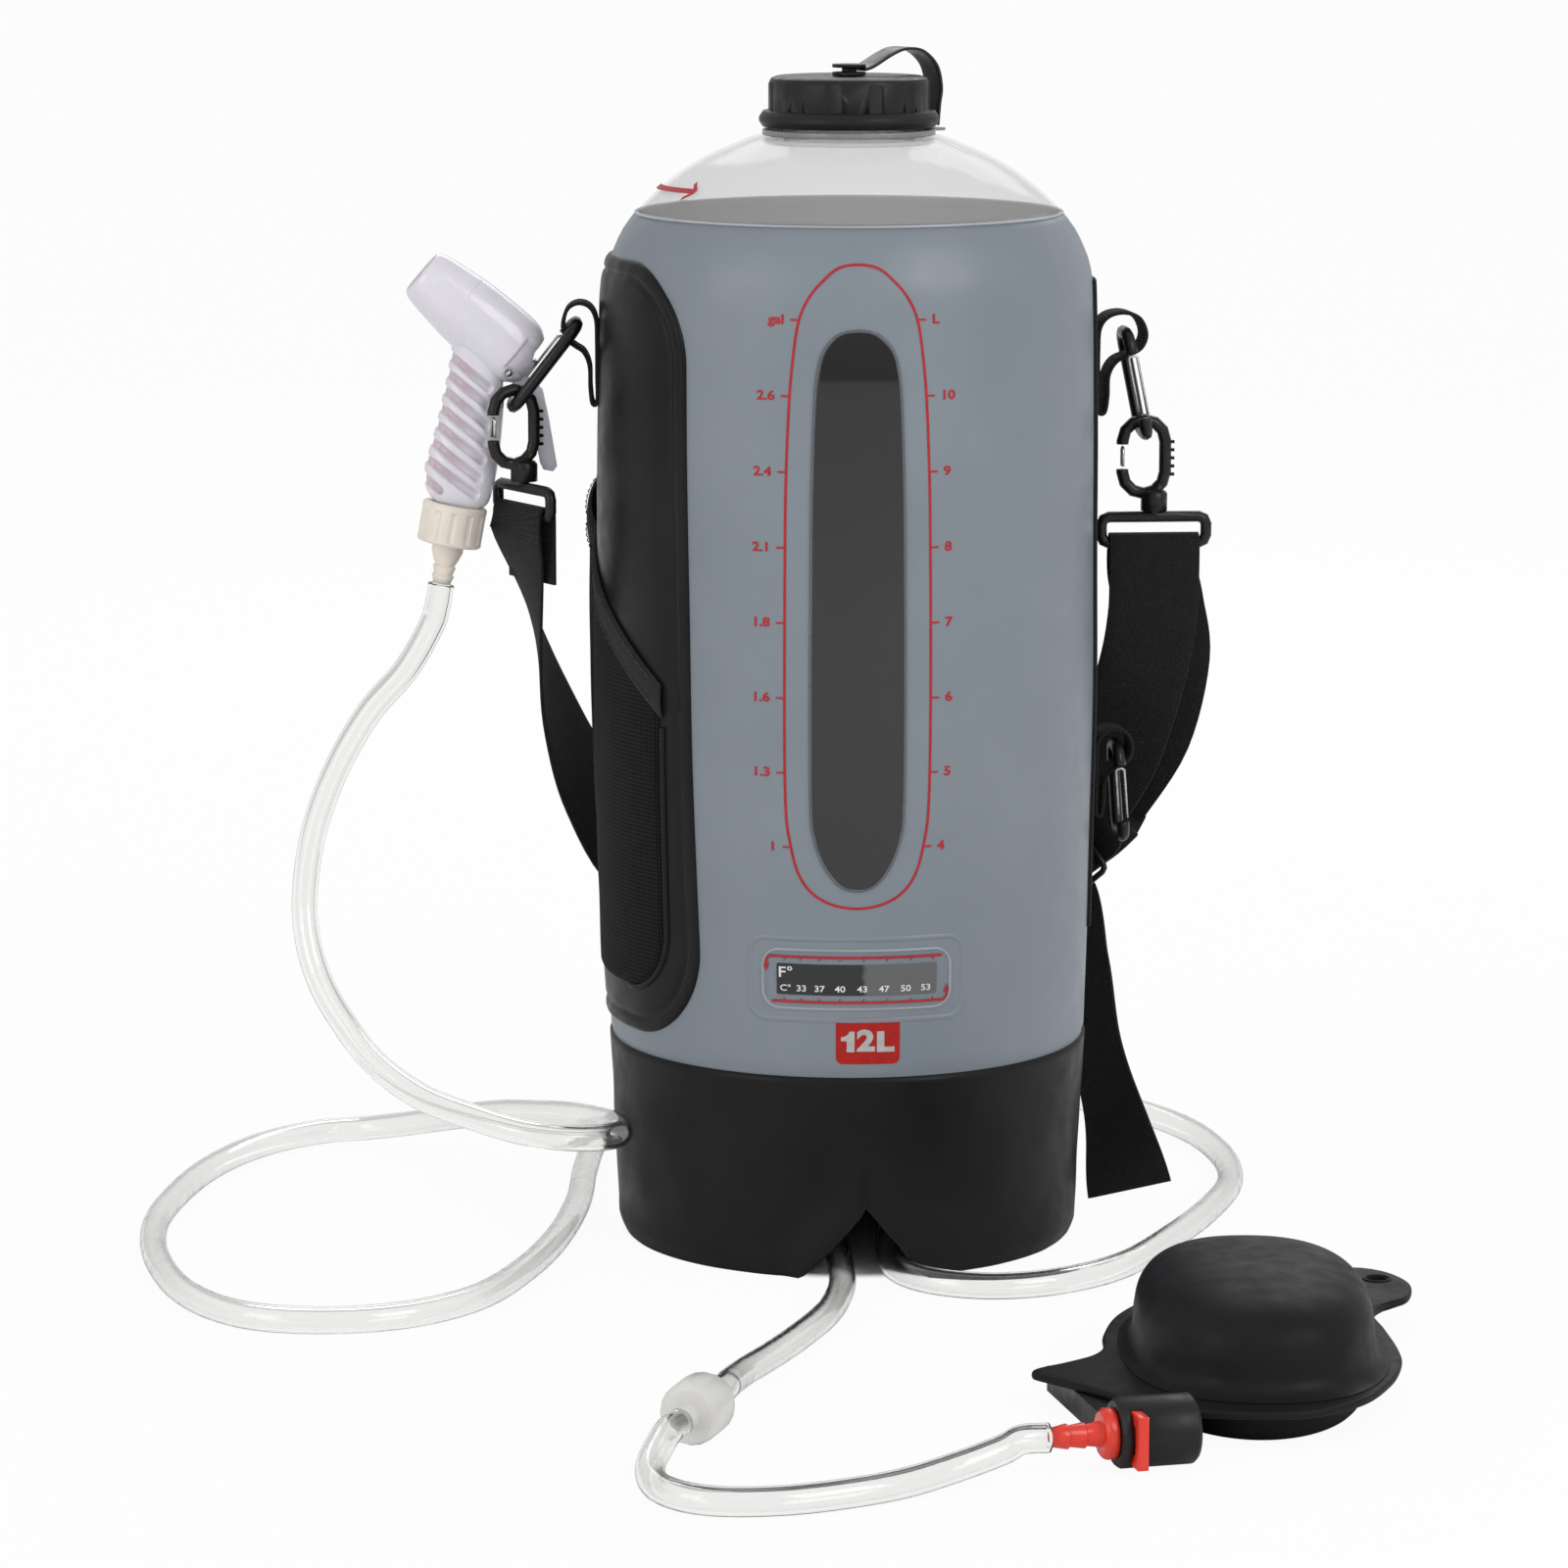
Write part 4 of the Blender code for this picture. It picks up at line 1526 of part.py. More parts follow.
def make_connector(pump, base):
    """Housing with its release clip and the red barb that plugs into it."""
    across = Vector((math.sin(CONNECTOR_TURN), -math.cos(CONNECTOR_TURN), 0.0))
    along = Vector((-math.cos(CONNECTOR_TURN), -math.sin(CONNECTOR_TURN), 0.0))
    turn = Matrix((across, Vector((0.0, 0.0, 1.0)), along)).transposed()
    place = Vector((CONNECTOR_X, CONNECTOR_Y, CONNECTOR_RADIUS + SEAT_GAP))
    frame = empty("connector_frame", pump, place, turn)
    half = CONNECTOR_LENGTH / 2
    radius = CONNECTOR_RADIUS
    housing = turned("pump_housing", [(0.0, half), (radius * 0.90, half), (radius, half * 0.9), (radius, -half * 0.9),
                                      (radius * 0.90, -half), (0.0, -half)], frame, black_plastic(), steps=24)
    boss_length = -CONNECTOR_Y - radius * 0.5
    boss_top = TRAY_HEIGHT - SEAT_GAP - place.z
    boss_low = BOSS_LOW - place.z
    boss = block("boss", (boss_length, boss_top - boss_low, 2 * BOSS_HALF_WIDTH), frame, cutter=True,
                 place=(-boss_length / 2, (boss_top + boss_low) / 2, 0.0))
    join(housing, boss)
    fit = TRAY_HALF_LENGTH + SEAT_GAP
    cut(housing, oval_turned("tray_fit", [(0.0, 2 * TRAY_HEIGHT), (fit, 2 * TRAY_HEIGHT), (fit, -OVERRUN),
                                          (0.0, -OVERRUN)], TRAY_HALF_WIDTH + SEAT_GAP, fit, pump, cutter=True))
    plug = BARB_PLUG_RADIUS + SEAT_GAP
    cut(housing, turned("plug_bore", [(0.0, half + OVERRUN), (plug, half + OVERRUN),
                                      (plug, half - BARB_PLUG - SEAT_GAP), (FITTING_BORE, half - BARB_PLUG - SEAT_GAP),
                                      (FITTING_BORE, -FITTING_BORE), (0.0, -FITTING_BORE)], frame, steps=20,
                        cutter=True))
    port = rod("port", PORT_HOLE, 2 * boss_length, frame, steps=12, cutter=True,
               place=(-boss_length, (boss_top + boss_low) / 2 + PORT_HOLE / 2, 0.0),
               turn=Matrix.Rotation(math.pi / 2, 3, "Y"))
    cut(housing, port)
    cut(base, port)
    clip_place = half - CLIP_FROM_FACE
    room = radius + OVERRUN - CLIP_LEG_END + CLIP_BRIDGE
    cut(housing, block("clip_room", (room, 2 * (CLIP_HALF_WIDTH + RUN_GAP), CLIP_THICKNESS + 2 * RUN_GAP), frame,
                       cutter=True, place=(CLIP_LEG_END - CLIP_TRAVEL - RUN_GAP + room / 2, 0.0, clip_place)))
    front = radius + CLIP_STAND
    bridge = front - CLIP_BRIDGE
    outline = [(CLIP_LEG_END, -CLIP_HALF_WIDTH), (front, -CLIP_HALF_WIDTH), (front, CLIP_HALF_WIDTH),
               (CLIP_LEG_END, CLIP_HALF_WIDTH), (CLIP_LEG_END, CLIP_HALF_GAP), (bridge, CLIP_HALF_GAP),
               (bridge, -CLIP_HALF_GAP), (CLIP_LEG_END, -CLIP_HALF_GAP)]
    plate("pump_clip", outline, CLIP_THICKNESS, frame, red_plastic(), place=(0.0, 0.0, clip_place))
    face = half + SEAT_GAP
    tip = face + BARB_COLLAR + PUMP_BARB
    groove = CLIP_THICKNESS / 2 + RUN_GAP + SEAT_GAP
    outer = [(FITTING_BORE, tip)]
    for share, size in BARB_SHARES:
        outer.append((HOSE_BORE * size, tip - PUMP_BARB * share))
    outer += [(HOSE_BORE * 1.2, face + BARB_COLLAR), (BARB_COLLAR_RADIUS * 0.85, face + BARB_COLLAR),
              (BARB_COLLAR_RADIUS, face + BARB_COLLAR * 0.7), (BARB_COLLAR_RADIUS, face),
              (BARB_PLUG_RADIUS, face), (BARB_PLUG_RADIUS, clip_place + groove),
              (PLUG_GROOVE_RADIUS, clip_place + groove), (PLUG_GROOVE_RADIUS, clip_place - groove),
              (BARB_PLUG_RADIUS, clip_place - groove), (BARB_PLUG_RADIUS, half - BARB_PLUG),
              (FITTING_BORE, half - BARB_PLUG)]
    turned("pump_barb", outer, frame, red_plastic(), steps=16, ring=True)
    to_bag = Matrix.Translation((PUMP_X, PUMP_Y, 0.0)) @ Matrix.Rotation(PUMP_TURN, 4, "Z")
    return to_bag @ (place + along * (tip + SEAT_GAP)), to_bag.to_3x3() @ along


def make_pump(root):
    pump = empty("pump_frame", root, (PUMP_X, PUMP_Y, 0.0), Matrix.Rotation(PUMP_TURN, 3, "Z"))
    base = make_pump_base(pump)
    make_pump_dome(pump)
    return make_connector(pump, base)


# Main

def evaluated_corners(part, graph):
    """World positions of the vertices of a part, with its modifiers applied."""
    evaluated = part.evaluated_get(graph)
    data = evaluated.to_mesh()
    places = [evaluated.matrix_world @ vertex.co for vertex in data.vertices]
    evaluated.to_mesh_clear()
    return places


def stand_on_origin(assembly):
    """Shifts everything until the origin lies under the middle of its box, measured without the hoses."""
    bpy.context.view_layer.update()
    graph = bpy.context.evaluated_depsgraph_get()
    places = []
    for part in collection(PARTS).objects:
        if part.name not in HOSE_PIECES:
            places += evaluated_corners(part, graph)
    middle = [(min(place[i] for place in places) + max(place[i] for place in places)) / 2 for i in (0, 1)]
    assembly.location = (-middle[0], -middle[1], -min(place.z for place in places))
    bpy.context.view_layer.update()


def main():
    clear_scene()
    assembly = empty("assembly", None)
    make_bag_wall(assembly)
    make_top_dome(assembly)
    make_base_collar(assembly)
    make_bag_floor(assembly)
    make_filler_neck(assembly)
    make_neck_ring(assembly)
    make_cap(assembly)
    make_tether(assembly)
    make_front_pieces(assembly)
    make_side_panel(assembly)
    make_side_band(assembly)
    left_foot = SEAM_HEIGHT - LEFT_LOOP_DROP
    right_foot = SEAM_HEIGHT - RIGHT_LOOP_DROP
    left_bar = make_loop("loop_left", LEFT_AZIMUTH, left_foot, LEFT_LOOP_HEIGHT, LEFT_LOOP_REACH,
                         PANEL_THICKNESS, assembly)
    right_bar = make_loop("loop_right", RIGHT_AZIMUTH, right_foot, RIGHT_LOOP_HEIGHT, RIGHT_LOOP_REACH,
                          BAND_THICKNESS, assembly)
    lower_bar = make_loop("loop_right_lower", RIGHT_AZIMUTH, LOWER_LOOP_LOW, LOWER_LOOP_HEIGHT,
                          LOWER_LOOP_REACH, BAND_THICKNESS, assembly)
    make_carabiner("carabiner_left", left_bar, LEFT_SWING, CARABINER_LENGTH, CARABINER_WIDTH, assembly,
                   quarter=-math.pi / 2)
    make_carabiner("carabiner_right", right_bar, RIGHT_SWING, CARABINER_LENGTH, CARABINER_WIDTH, assembly)
    make_carabiner("carabiner_lower", lower_bar, ACCESSORY_SWING, ACCESSORY_LENGTH, ACCESSORY_WIDTH, assembly)
    hang = Vector((0.0, 0.0, CARABINER_BAR + SEAT_GAP + HOOK_BAR))
    left_low = left_bar + down_swing(LEFT_SWING) * CARABINER_LENGTH
    right_low = right_bar + down_swing(RIGHT_SWING) * CARABINER_LENGTH
    left_hook = left_low + hang + Vector((0.0, LEFT_HOOK_SHIFT, LEFT_HOOK_RISE))
    left_frame, left_ring_bar = make_snap_hook("left", left_hook, LEFT_YAW, LEFT_RING_YAW, assembly)
    right_frame, right_ring_bar = make_snap_hook("right", right_low + hang, 0.0, 0.0, assembly)
    make_strap(right_frame, right_ring_bar, left_frame, left_ring_bar, assembly)
    make_slider(assembly)
    make_strap_tail(assembly)
    gun_place = left_low + Vector((-GUN_HANG_X, GUN_SIDE_SHIFT, -GUN_HANG_Z))
    tail_tip = make_gun(gun_place, assembly)
    lean = Matrix.Rotation(GUN_LEAN, 3, "Y")
    hose_start = gun_place + lean @ tail_tip, lean @ Vector((0.0, 0.0, -1.0))
    outlet = make_fitting("outlet", FITTING_X, assembly)
    inlet = make_fitting("inlet", -FITTING_X, assembly)
    make_hose("shower_hose", hose_start, SHOWER_HOSE_ROUTE, outlet, assembly)
    bag_end, pump_end = make_check_valve(assembly)
    barb_tip = make_pump(assembly)
    make_hose("pump_hose_near", inlet, BAG_HOSE_ROUTE, bag_end, assembly)
    make_hose("pump_hose_far", pump_end, PUMP_HOSE_ROUTE, barb_tip, assembly)
    stand_on_origin(assembly)


main()
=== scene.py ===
"""Looks of the camp shower bag: fine soft pieces and procedural materials over the CAD frame.

Lengths are in metres. Places written as numbers are measured from the bag's axis on the floor, and at()
moves them into the frame. An azimuth is an angle about the bag's axis, from the front towards +X.
A place on the wall is given by its distance across, measured along the wall, and its height.
"""
import math

import bmesh
import bpy
from mathutils import Matrix, Vector, noise


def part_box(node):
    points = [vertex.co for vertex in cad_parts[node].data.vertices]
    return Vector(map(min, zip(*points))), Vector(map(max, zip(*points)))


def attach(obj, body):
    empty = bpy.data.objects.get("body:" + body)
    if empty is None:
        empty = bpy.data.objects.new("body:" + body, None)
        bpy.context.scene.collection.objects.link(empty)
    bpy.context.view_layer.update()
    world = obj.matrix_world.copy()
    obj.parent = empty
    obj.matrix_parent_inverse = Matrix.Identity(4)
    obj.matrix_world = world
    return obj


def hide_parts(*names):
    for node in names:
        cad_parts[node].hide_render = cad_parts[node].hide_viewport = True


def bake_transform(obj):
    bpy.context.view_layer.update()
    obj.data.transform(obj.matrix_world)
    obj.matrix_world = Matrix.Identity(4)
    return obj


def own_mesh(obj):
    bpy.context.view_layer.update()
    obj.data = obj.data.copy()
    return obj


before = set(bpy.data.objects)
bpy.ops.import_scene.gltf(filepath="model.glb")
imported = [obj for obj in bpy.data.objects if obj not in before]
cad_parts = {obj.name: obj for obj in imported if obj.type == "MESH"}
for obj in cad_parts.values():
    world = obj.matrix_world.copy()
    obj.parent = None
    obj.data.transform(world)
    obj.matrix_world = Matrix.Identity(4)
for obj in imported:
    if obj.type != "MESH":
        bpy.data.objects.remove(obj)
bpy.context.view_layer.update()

# The bag, as the CAD has it
BODY_RADIUS = 0.1025
WALL_PROFILE = [            # height, outer radius
    (0.0850, 0.0997), (0.2092, 0.1025), (0.3058, 0.1022), (0.3886, 0.1011), (0.4055, 0.1000),
    (0.4138, 0.0974), (0.4221, 0.0934), (0.4300, 0.0875)]
DOME_PROFILE = [            # height, outer radius
    (0.4300, 0.0875), (0.4385, 0.0788), (0.4459, 0.0693), (0.4514, 0.0602), (0.4562, 0.0494),
    (0.4605, 0.0381), (0.4606, 0.0309)]
COLLAR_PROFILE = [          # height, outer radius
    (0.0000, 0.0945), (0.0040, 0.0962), (0.0090, 0.0970), (0.0400, 0.0982), (0.0850, 0.0997)]
FLOOR_PROFILE = [           # height, outer radius
    (0.1010, 0.0966), (0.0770, 0.0966), (0.0590, 0.0792), (0.0470, 0.0640), (0.0430, 0.0520),
    (0.0430, 0.0000)]
PROFILE_SPANS = 8
FILM = 0.0012
COLLAR_WALL = 0.0022
SEAM_HEIGHT = 0.4300
COLLAR_HEIGHT = 0.0850
NOTCH_HALF_WIDTH = 0.0285
NOTCH_HEIGHT = 0.0300
NOTCH_BEND = 1.15
TURN_STEPS = 160
WALL_ROWS = 90
WALL_OVERLAP = 0.0040
WALL_TUCK = 0.0012
WALL_TUCK_HEIGHT = 0.0030
WAVE_RISE = 0.00050
WAVE_SIZE = 0.085
PUCKER_RISE = 0.00030
PUCKER_TURNS = 9.0
PUCKER_SIZE = 0.050
PUCKERS_ABOVE_COLLAR = 0.030
PUCKERS_BELOW_SEAM = 0.045
SEAM_FLAT = 0.0040
BEAD_RADIUS = 0.0005
BEAD_DROP = 0.0008
BEAD_LIFT = 0.0001
BEAD_STEPS = 120
DOME_WAVE_RISE = 0.0006
DOME_WAVE_TURNS = 2.2
DOME_WAVE_SIZE = 0.030
COLLAR_STEPS = 240
COLLAR_ROWS = 40
COLLAR_ROW_BEND = 1.3
COLLAR_SAGS = [(0.0009, 0.045, 7.0), (0.0004, 0.016, 9.0)]      # rise, size, seed
COLLAR_SAG_FADE = 0.030
COLLAR_RIM = 0.0006
COLLAR_RIM_HEIGHT = 0.020
FLARE = 0.0035
FLARE_SHARE = 1.3
FLARE_RUN = 0.012
FLARE_HEIGHT = 0.030

# Front
PRINT_AZIMUTH = math.radians(-2.4)
PRINT_LIFT = 0.00015
PRINT_LINE = 0.0011
WINDOW_EDGE = [             # height, half width
    (0.3889, 0.0000), (0.3875, 0.0072), (0.3843, 0.0114), (0.3800, 0.0143), (0.3740, 0.0160),
    (0.3621, 0.0174), (0.3318, 0.0184), (0.3000, 0.0188), (0.2300, 0.0190), (0.1950, 0.0187),
    (0.1850, 0.0176), (0.1765, 0.0150), (0.1695, 0.0112), (0.1647, 0.0064), (0.1630, 0.0000)]
OUTLINE_EDGE = [            # height, half width
    (0.4150, 0.0000), (0.4135, 0.0085), (0.4083, 0.0150), (0.4017, 0.0204), (0.3931, 0.0242),
    (0.3806, 0.0263), (0.3621, 0.0280), (0.3318, 0.0292), (0.3000, 0.0296), (0.2300, 0.0297),
    (0.1960, 0.0292), (0.1823, 0.0275), (0.1700, 0.0243), (0.1620, 0.0188), (0.1572, 0.0105),
    (0.1555, 0.0000)]
TEN_LITRES = 0.3628
LITRE = 0.0304
TICK = 0.0036
TICK_LINE = 0.0008
NUMBER_GAP = 0.0026
NUMBER_SIZE = 0.0052
NUMBER_WEIGHT = 0.00016
LETTER_STRETCH = 1.22
WATER_LINE = 0.3690
WINDOW_ROWS = 150
WINDOW_COLUMNS = 24
WINDOW_LIFT = 0.0001
WINDOW_RISE = 0.0008
WINDOW_RUN = 0.0014
WINDOW_LEAST_HALF = 0.0001
WINDOW_RIM = 0.0007
WINDOW_RIM_LIFT = 0.0002
GALLONS = ("gal", "2.6", "2.4", "2.1", "1.8", "1.6", "1.3", "1")
LITRES = ("L", "10", "9", "8", "7", "6", "5", "4")
LETTER_CURVE_STEPS = 4
AREA_SHARE = 0.499
AREA_STEPS = 6
THERMO_MIDDLE = 0.1259
THERMO_HALF_WIDTH = 0.0400
THERMO_HALF_HEIGHT = 0.0125
STRIP_HALF_WIDTH = 0.0335
STRIP_HALF_HEIGHT = 0.0064
STRIP_LINE_GAP = 0.0029
STRIP_TICKS = (-0.0303, -0.0233, -0.0156, -0.0071, 0.0027, 0.0125, 0.0224, 0.0318)
STRIP_NUMBERS = (("33", -0.0230), ("37", -0.0155), ("40", -0.0070), ("43", 0.0022), ("47", 0.0111),
                 ("50", 0.0202), ("53", 0.0288))
STRIP_TICK = 0.0015
STRIP_TICK_LINE = 0.0006
STRIP_CORNER = 0.0006
STRIP_BLUR = 0.0040
STRIP_COLOUR = (0.02, 0.02, 0.02)
STRIP_DARK = (0.0080, 0.0085, 0.0095)
STRIP_GREY = (0.120, 0.122, 0.125)
STRIP_LIFT = 0.0003
LINE_LIFT = 0.0004
NUMBER_LIFT = 0.0005
CELSIUS_DROP = 0.0038
CELSIUS_SIZE = 0.0036
FAHRENHEIT_RISE = 0.0026
FAHRENHEIT_SIZE = 0.0062
UNIT_INSET = 0.0038
STRIP_WEIGHT = 0.00006
CELSIUS_WEIGHT = 0.00004
FAHRENHEIT_WEIGHT = 0.00008
ARROW_OVERHANG = 0.0046
ARROW_INSET = 0.0022
ARROW_BEND = 0.0022
ARROW_BEND_STEPS = 6
ARROW_STEM = 0.0012
ARROW_LINE = 0.0011
ARROW_STEP = 0.0040
HEAD_DROP = 0.0010
HEAD_HALF = 0.0015
HEAD_LENGTH = 0.0034
COVER_CORNER = 0.0060
COVER_LIFT = 0.0007
COVER_RUN = 0.0006
COVER_RIM = 0.0010
COVER_RIM_PLACE = 0.0016
COVER_RIM_WIDTH = 0.0011
FRAME_CORNER = 0.0070
FRAME_STEP = 0.0030
EDGE_INSET = 0.0004
EDGE_RADIUS = 0.0006
BORDER_HALF_WIDTH = 0.0455
BORDER_HALF_HEIGHT = 0.0168
BORDER_RADIUS = 0.0020
BORDER_LIFT = 0.0004
BADGE_MIDDLE = 0.1005
BADGE_AZIMUTH = PRINT_AZIMUTH + 0.045
BADGE_LETTERS = 0.0118
BADGE_LETTER_HEIGHT = 0.0086
BADGE_LETTER_PLACES = (-0.0112, -0.0009, 0.0037)
BADGE_LETTER_DROP = 0.0002
BADGE_WEIGHT = 0.00055
ONE_WIDTH = 0.0056
ONE_SHARES = [              # shares of the letter's width and height
    (0.42, 0.0), (1.0, 0.0), (1.0, 1.0), (0.62, 1.0), (0.50, 0.86), (0.28, 0.76), (0.0, 0.72), (0.0, 0.53),
    (0.42, 0.53)]
ELL_WIDTH = 0.0074
ELL_SHARES = [(0.0, 0.0), (1.0, 0.0), (1.0, 0.25), (0.42, 0.25), (0.42, 1.0), (0.0, 1.0)]
BADGE_HALF_WIDTH = 0.0134
BADGE_HALF_HEIGHT = 0.0096
BADGE_CORNER = 0.0028
DOME_ARROW = [              # azimuth and height of each line's ends, half width
    ((-97.0, 0.4398), (-57.5, 0.4405), 0.0009), ((-57.5, 0.4405), (-62.0, 0.4434), 0.0007),
    ((-57.5, 0.4405), (-61.5, 0.4373), 0.0008)]
DOME_ARROW_STEPS = 12
DOME_ARROW_LIFT = 0.0012

# Left side
SIDE_AZIMUTH = math.radians(-90.0)
PANEL_HALF = 0.0840
PANEL_LOW = 0.0945
PANEL_HIGH = 0.4125
PANEL_LEAN = 0.0040
PANEL_CORNER = 0.0400
PANEL_THICKNESS = 0.0019
PANEL_EDGE = 0.0020
PANEL_PUFF = 0.0006
PANEL_PUFF_START = 0.0060
PANEL_PUFF_END = 0.0200
PANEL_PUCKER = 0.00025
PANEL_PUCKER_SIZE = 0.0070
PANEL_PUCKER_END = 0.0180
PANEL_GROOVE_PLACE = 0.0062
PANEL_GROOVE_WIDTH = 0.0011
PANEL_GROOVE_DEPTH = 0.0009
POUCH_HALF = 0.0710
POUCH_LOW = 0.1130
POUCH_CORNER = 0.0260
POUCH_BULGE = 0.0075
BULGE_PLACE = -0.0450
BULGE_HALF_WIDTH = 0.0300
MOUTH_FRONT = 0.2290
MOUTH_BACK = 0.3160
MOUTH_BEND = 0.92
POUCH_LIFT = 0.0010
POUCH_WAVE = 0.0005
POUCH_WAVE_SIZE = 0.0300
POUCH_EDGE = 0.0040
POUCH_CLOTH = 0.0008
BINDING_WIDTH = 0.0140
BINDING_DROP = 0.0005
BINDING_LIFT = 0.0008
BINDING_CROWN = 0.0012
BINDING_CLOTH = 0.0012
BINDING_COLUMNS = 80
BINDING_ROWS = 12
STITCH_ROWS = (0.0022, 0.0118)
STITCH_INSET = 0.0030
STITCH_PITCH = 0.0032
STITCH_PLACES = ((0.0, 0.0020), (0.0011, 0.0024), (0.0022, 0.0020))     # along, above the pocket
THREAD_HALF = 0.00028
PIPING_RADIUS = 0.0013
PIPING_LIFT = 0.0006
PIPING_INSET = 0.0040
PIPING_GAP = 0.0020
PIPING_STEPS = 20
PIPING_FRONT_STEPS = 14
PIPING_ROOM = 0.0001

# Right side
BAND_AZIMUTH = math.radians(94.6)
BAND_MIDDLE = math.radians(90.0)
BAND_HALF = 0.0190
BAND_LOW = 0.1300
BAND_HIGH = 0.4020
BAND_THICKNESS = 0.0016
BAND_EDGE = 0.0008

# Webbing
WEBBING = 0.0016
LOOP_WIDTH = 0.0150
LEFT_LOOP_AZIMUTH = math.radians(-93.6)
LOOP_TOP_SHARE = 1.02
LOOP_SHARES = [             # share of the reach, share of the height
    (0.00, 0.02), (0.00, 0.30), (0.00, 0.62), (0.03, 0.86), (0.22, 0.985), (0.55, 1.02), (0.86, 0.96),
    (1.00, 0.80), (0.90, 0.66), (0.64, 0.585), (0.38, 0.52), (0.22, 0.38), (0.20, 0.16), (0.14, 0.00)]
STRAP_WIDTH = 0.0380
STRAP_THICKNESS = 0.0014
SEAT_GAP = 0.0003
RING_BAR = 0.0024
SLIDER_BAR = 0.0014
SLIDER_PITCH = 0.0130
SLIDER_PLACE = (0.1010, 0.0860, 0.1480)
SLIDER_DOWN = (-0.566, 0.540, -0.622)
SLIDER_OUT = (0.690, 0.724, 0.0)
LEFT_RING_TURN = math.radians(-62.0)
FOLD_LEAD = 0.0120
FOLD_STEPS = 8
STRAP_SEWN = 0.0280
BACK_SLIDER_SHARES = [      # share of the slider's pitch, share of the layer's height over its bar
    (-0.5, 1.4), (-1.0, 1.7), (-1.7, 1.7)]
FRONT_SLIDER_SHARES = [(-1.9, 0.0), (-1.0, 0.85), (1.0, 0.85), (1.9, 0.0)]
TAIL_SLIDER_SHARE = (1.25, 1.22)
TAIL_WIDTH_SHARE = 0.98
FOLD_RADIUS = RING_BAR + 2 * SEAT_GAP + STRAP_THICKNESS / 2
SLIDER_OVER = SLIDER_BAR + 3 * SEAT_GAP + STRAP_THICKNESS / 2
FRONT_LAYER_ROUTE = [
    ((0.1295, 0.0100, 0.258), (1.0, 0.0, 0.0)), ((0.1270, 0.0200, 0.234), (0.99, -0.10, -0.05)),
    ((0.1200, 0.0450, 0.196), (0.90, -0.30, -0.32)), ((0.1120, 0.0640, 0.173), (0.70, -0.38, -0.60))]
REAR_ROUTE = [
    ((0.0850, 0.1050, 0.130), (0.30, -0.26, -0.92)), ((0.0480, 0.1200, 0.118), (0.12, -0.05, -0.99)),
    ((0.0000, 0.1240, 0.112), (0.0, 0.0, -1.0)), ((-0.0450, 0.1200, 0.120), (-0.12, -0.05, -0.99)),
    ((-0.0850, 0.1010, 0.142), (-0.32, -0.27, -0.91)), ((-0.1080, 0.0740, 0.180), (-0.37, -0.54, -0.76)),
    ((-0.1220, 0.0420, 0.218), (-0.22, -0.82, -0.53)), ((-0.1300, 0.0200, 0.252), (0.05, -0.95, -0.30))]
BACK_LAYER_ROUTE = [
    ((0.1220, 0.0850, 0.170), (0.75, -0.38, -0.55)), ((0.1350, 0.0620, 0.200), (0.90, -0.25, -0.30)),
    ((0.1390, 0.0380, 0.236), (0.98, -0.10, -0.08)), ((0.1340, 0.0220, 0.260), (1.0, 0.0, 0.0))]
STRAP_TAIL_ROUTE = [
    ((0.1010, 0.0980, 0.122), (0.62, -0.55, -0.40)), ((0.1080, 0.0780, 0.092), (0.50, -0.80, -0.20)),
    ((0.1130, 0.0560, 0.062), (0.45, -0.88, 0.0)), ((0.1200, 0.0400, 0.032), (0.62, -0.78, 0.0)),
    ((0.1250, 0.0300, 0.0045), (1.0, -0.35, 0.0))]

# Tether of the cap
TETHER_AZIMUTH = math.radians(122.0)
TETHER_WIDTH = 0.0118
TETHER_THICKNESS = 0.0012
TETHER_START = 0.0043
TETHER_HEIGHT = 0.4874
TETHER_PEAK = 0.0080
TETHER_END = 0.4635
LUG_REACH = 0.0445
TETHER_SHARES = [           # share of the lug's reach, share of the arch's height
    (0.20, 0.16), (0.42, 0.75), (0.58, 1.00), (0.77, 0.86), (0.93, 0.10), (0.985, -1.00), (0.965, -1.90)]
TETHER_END_SHARE = 0.945

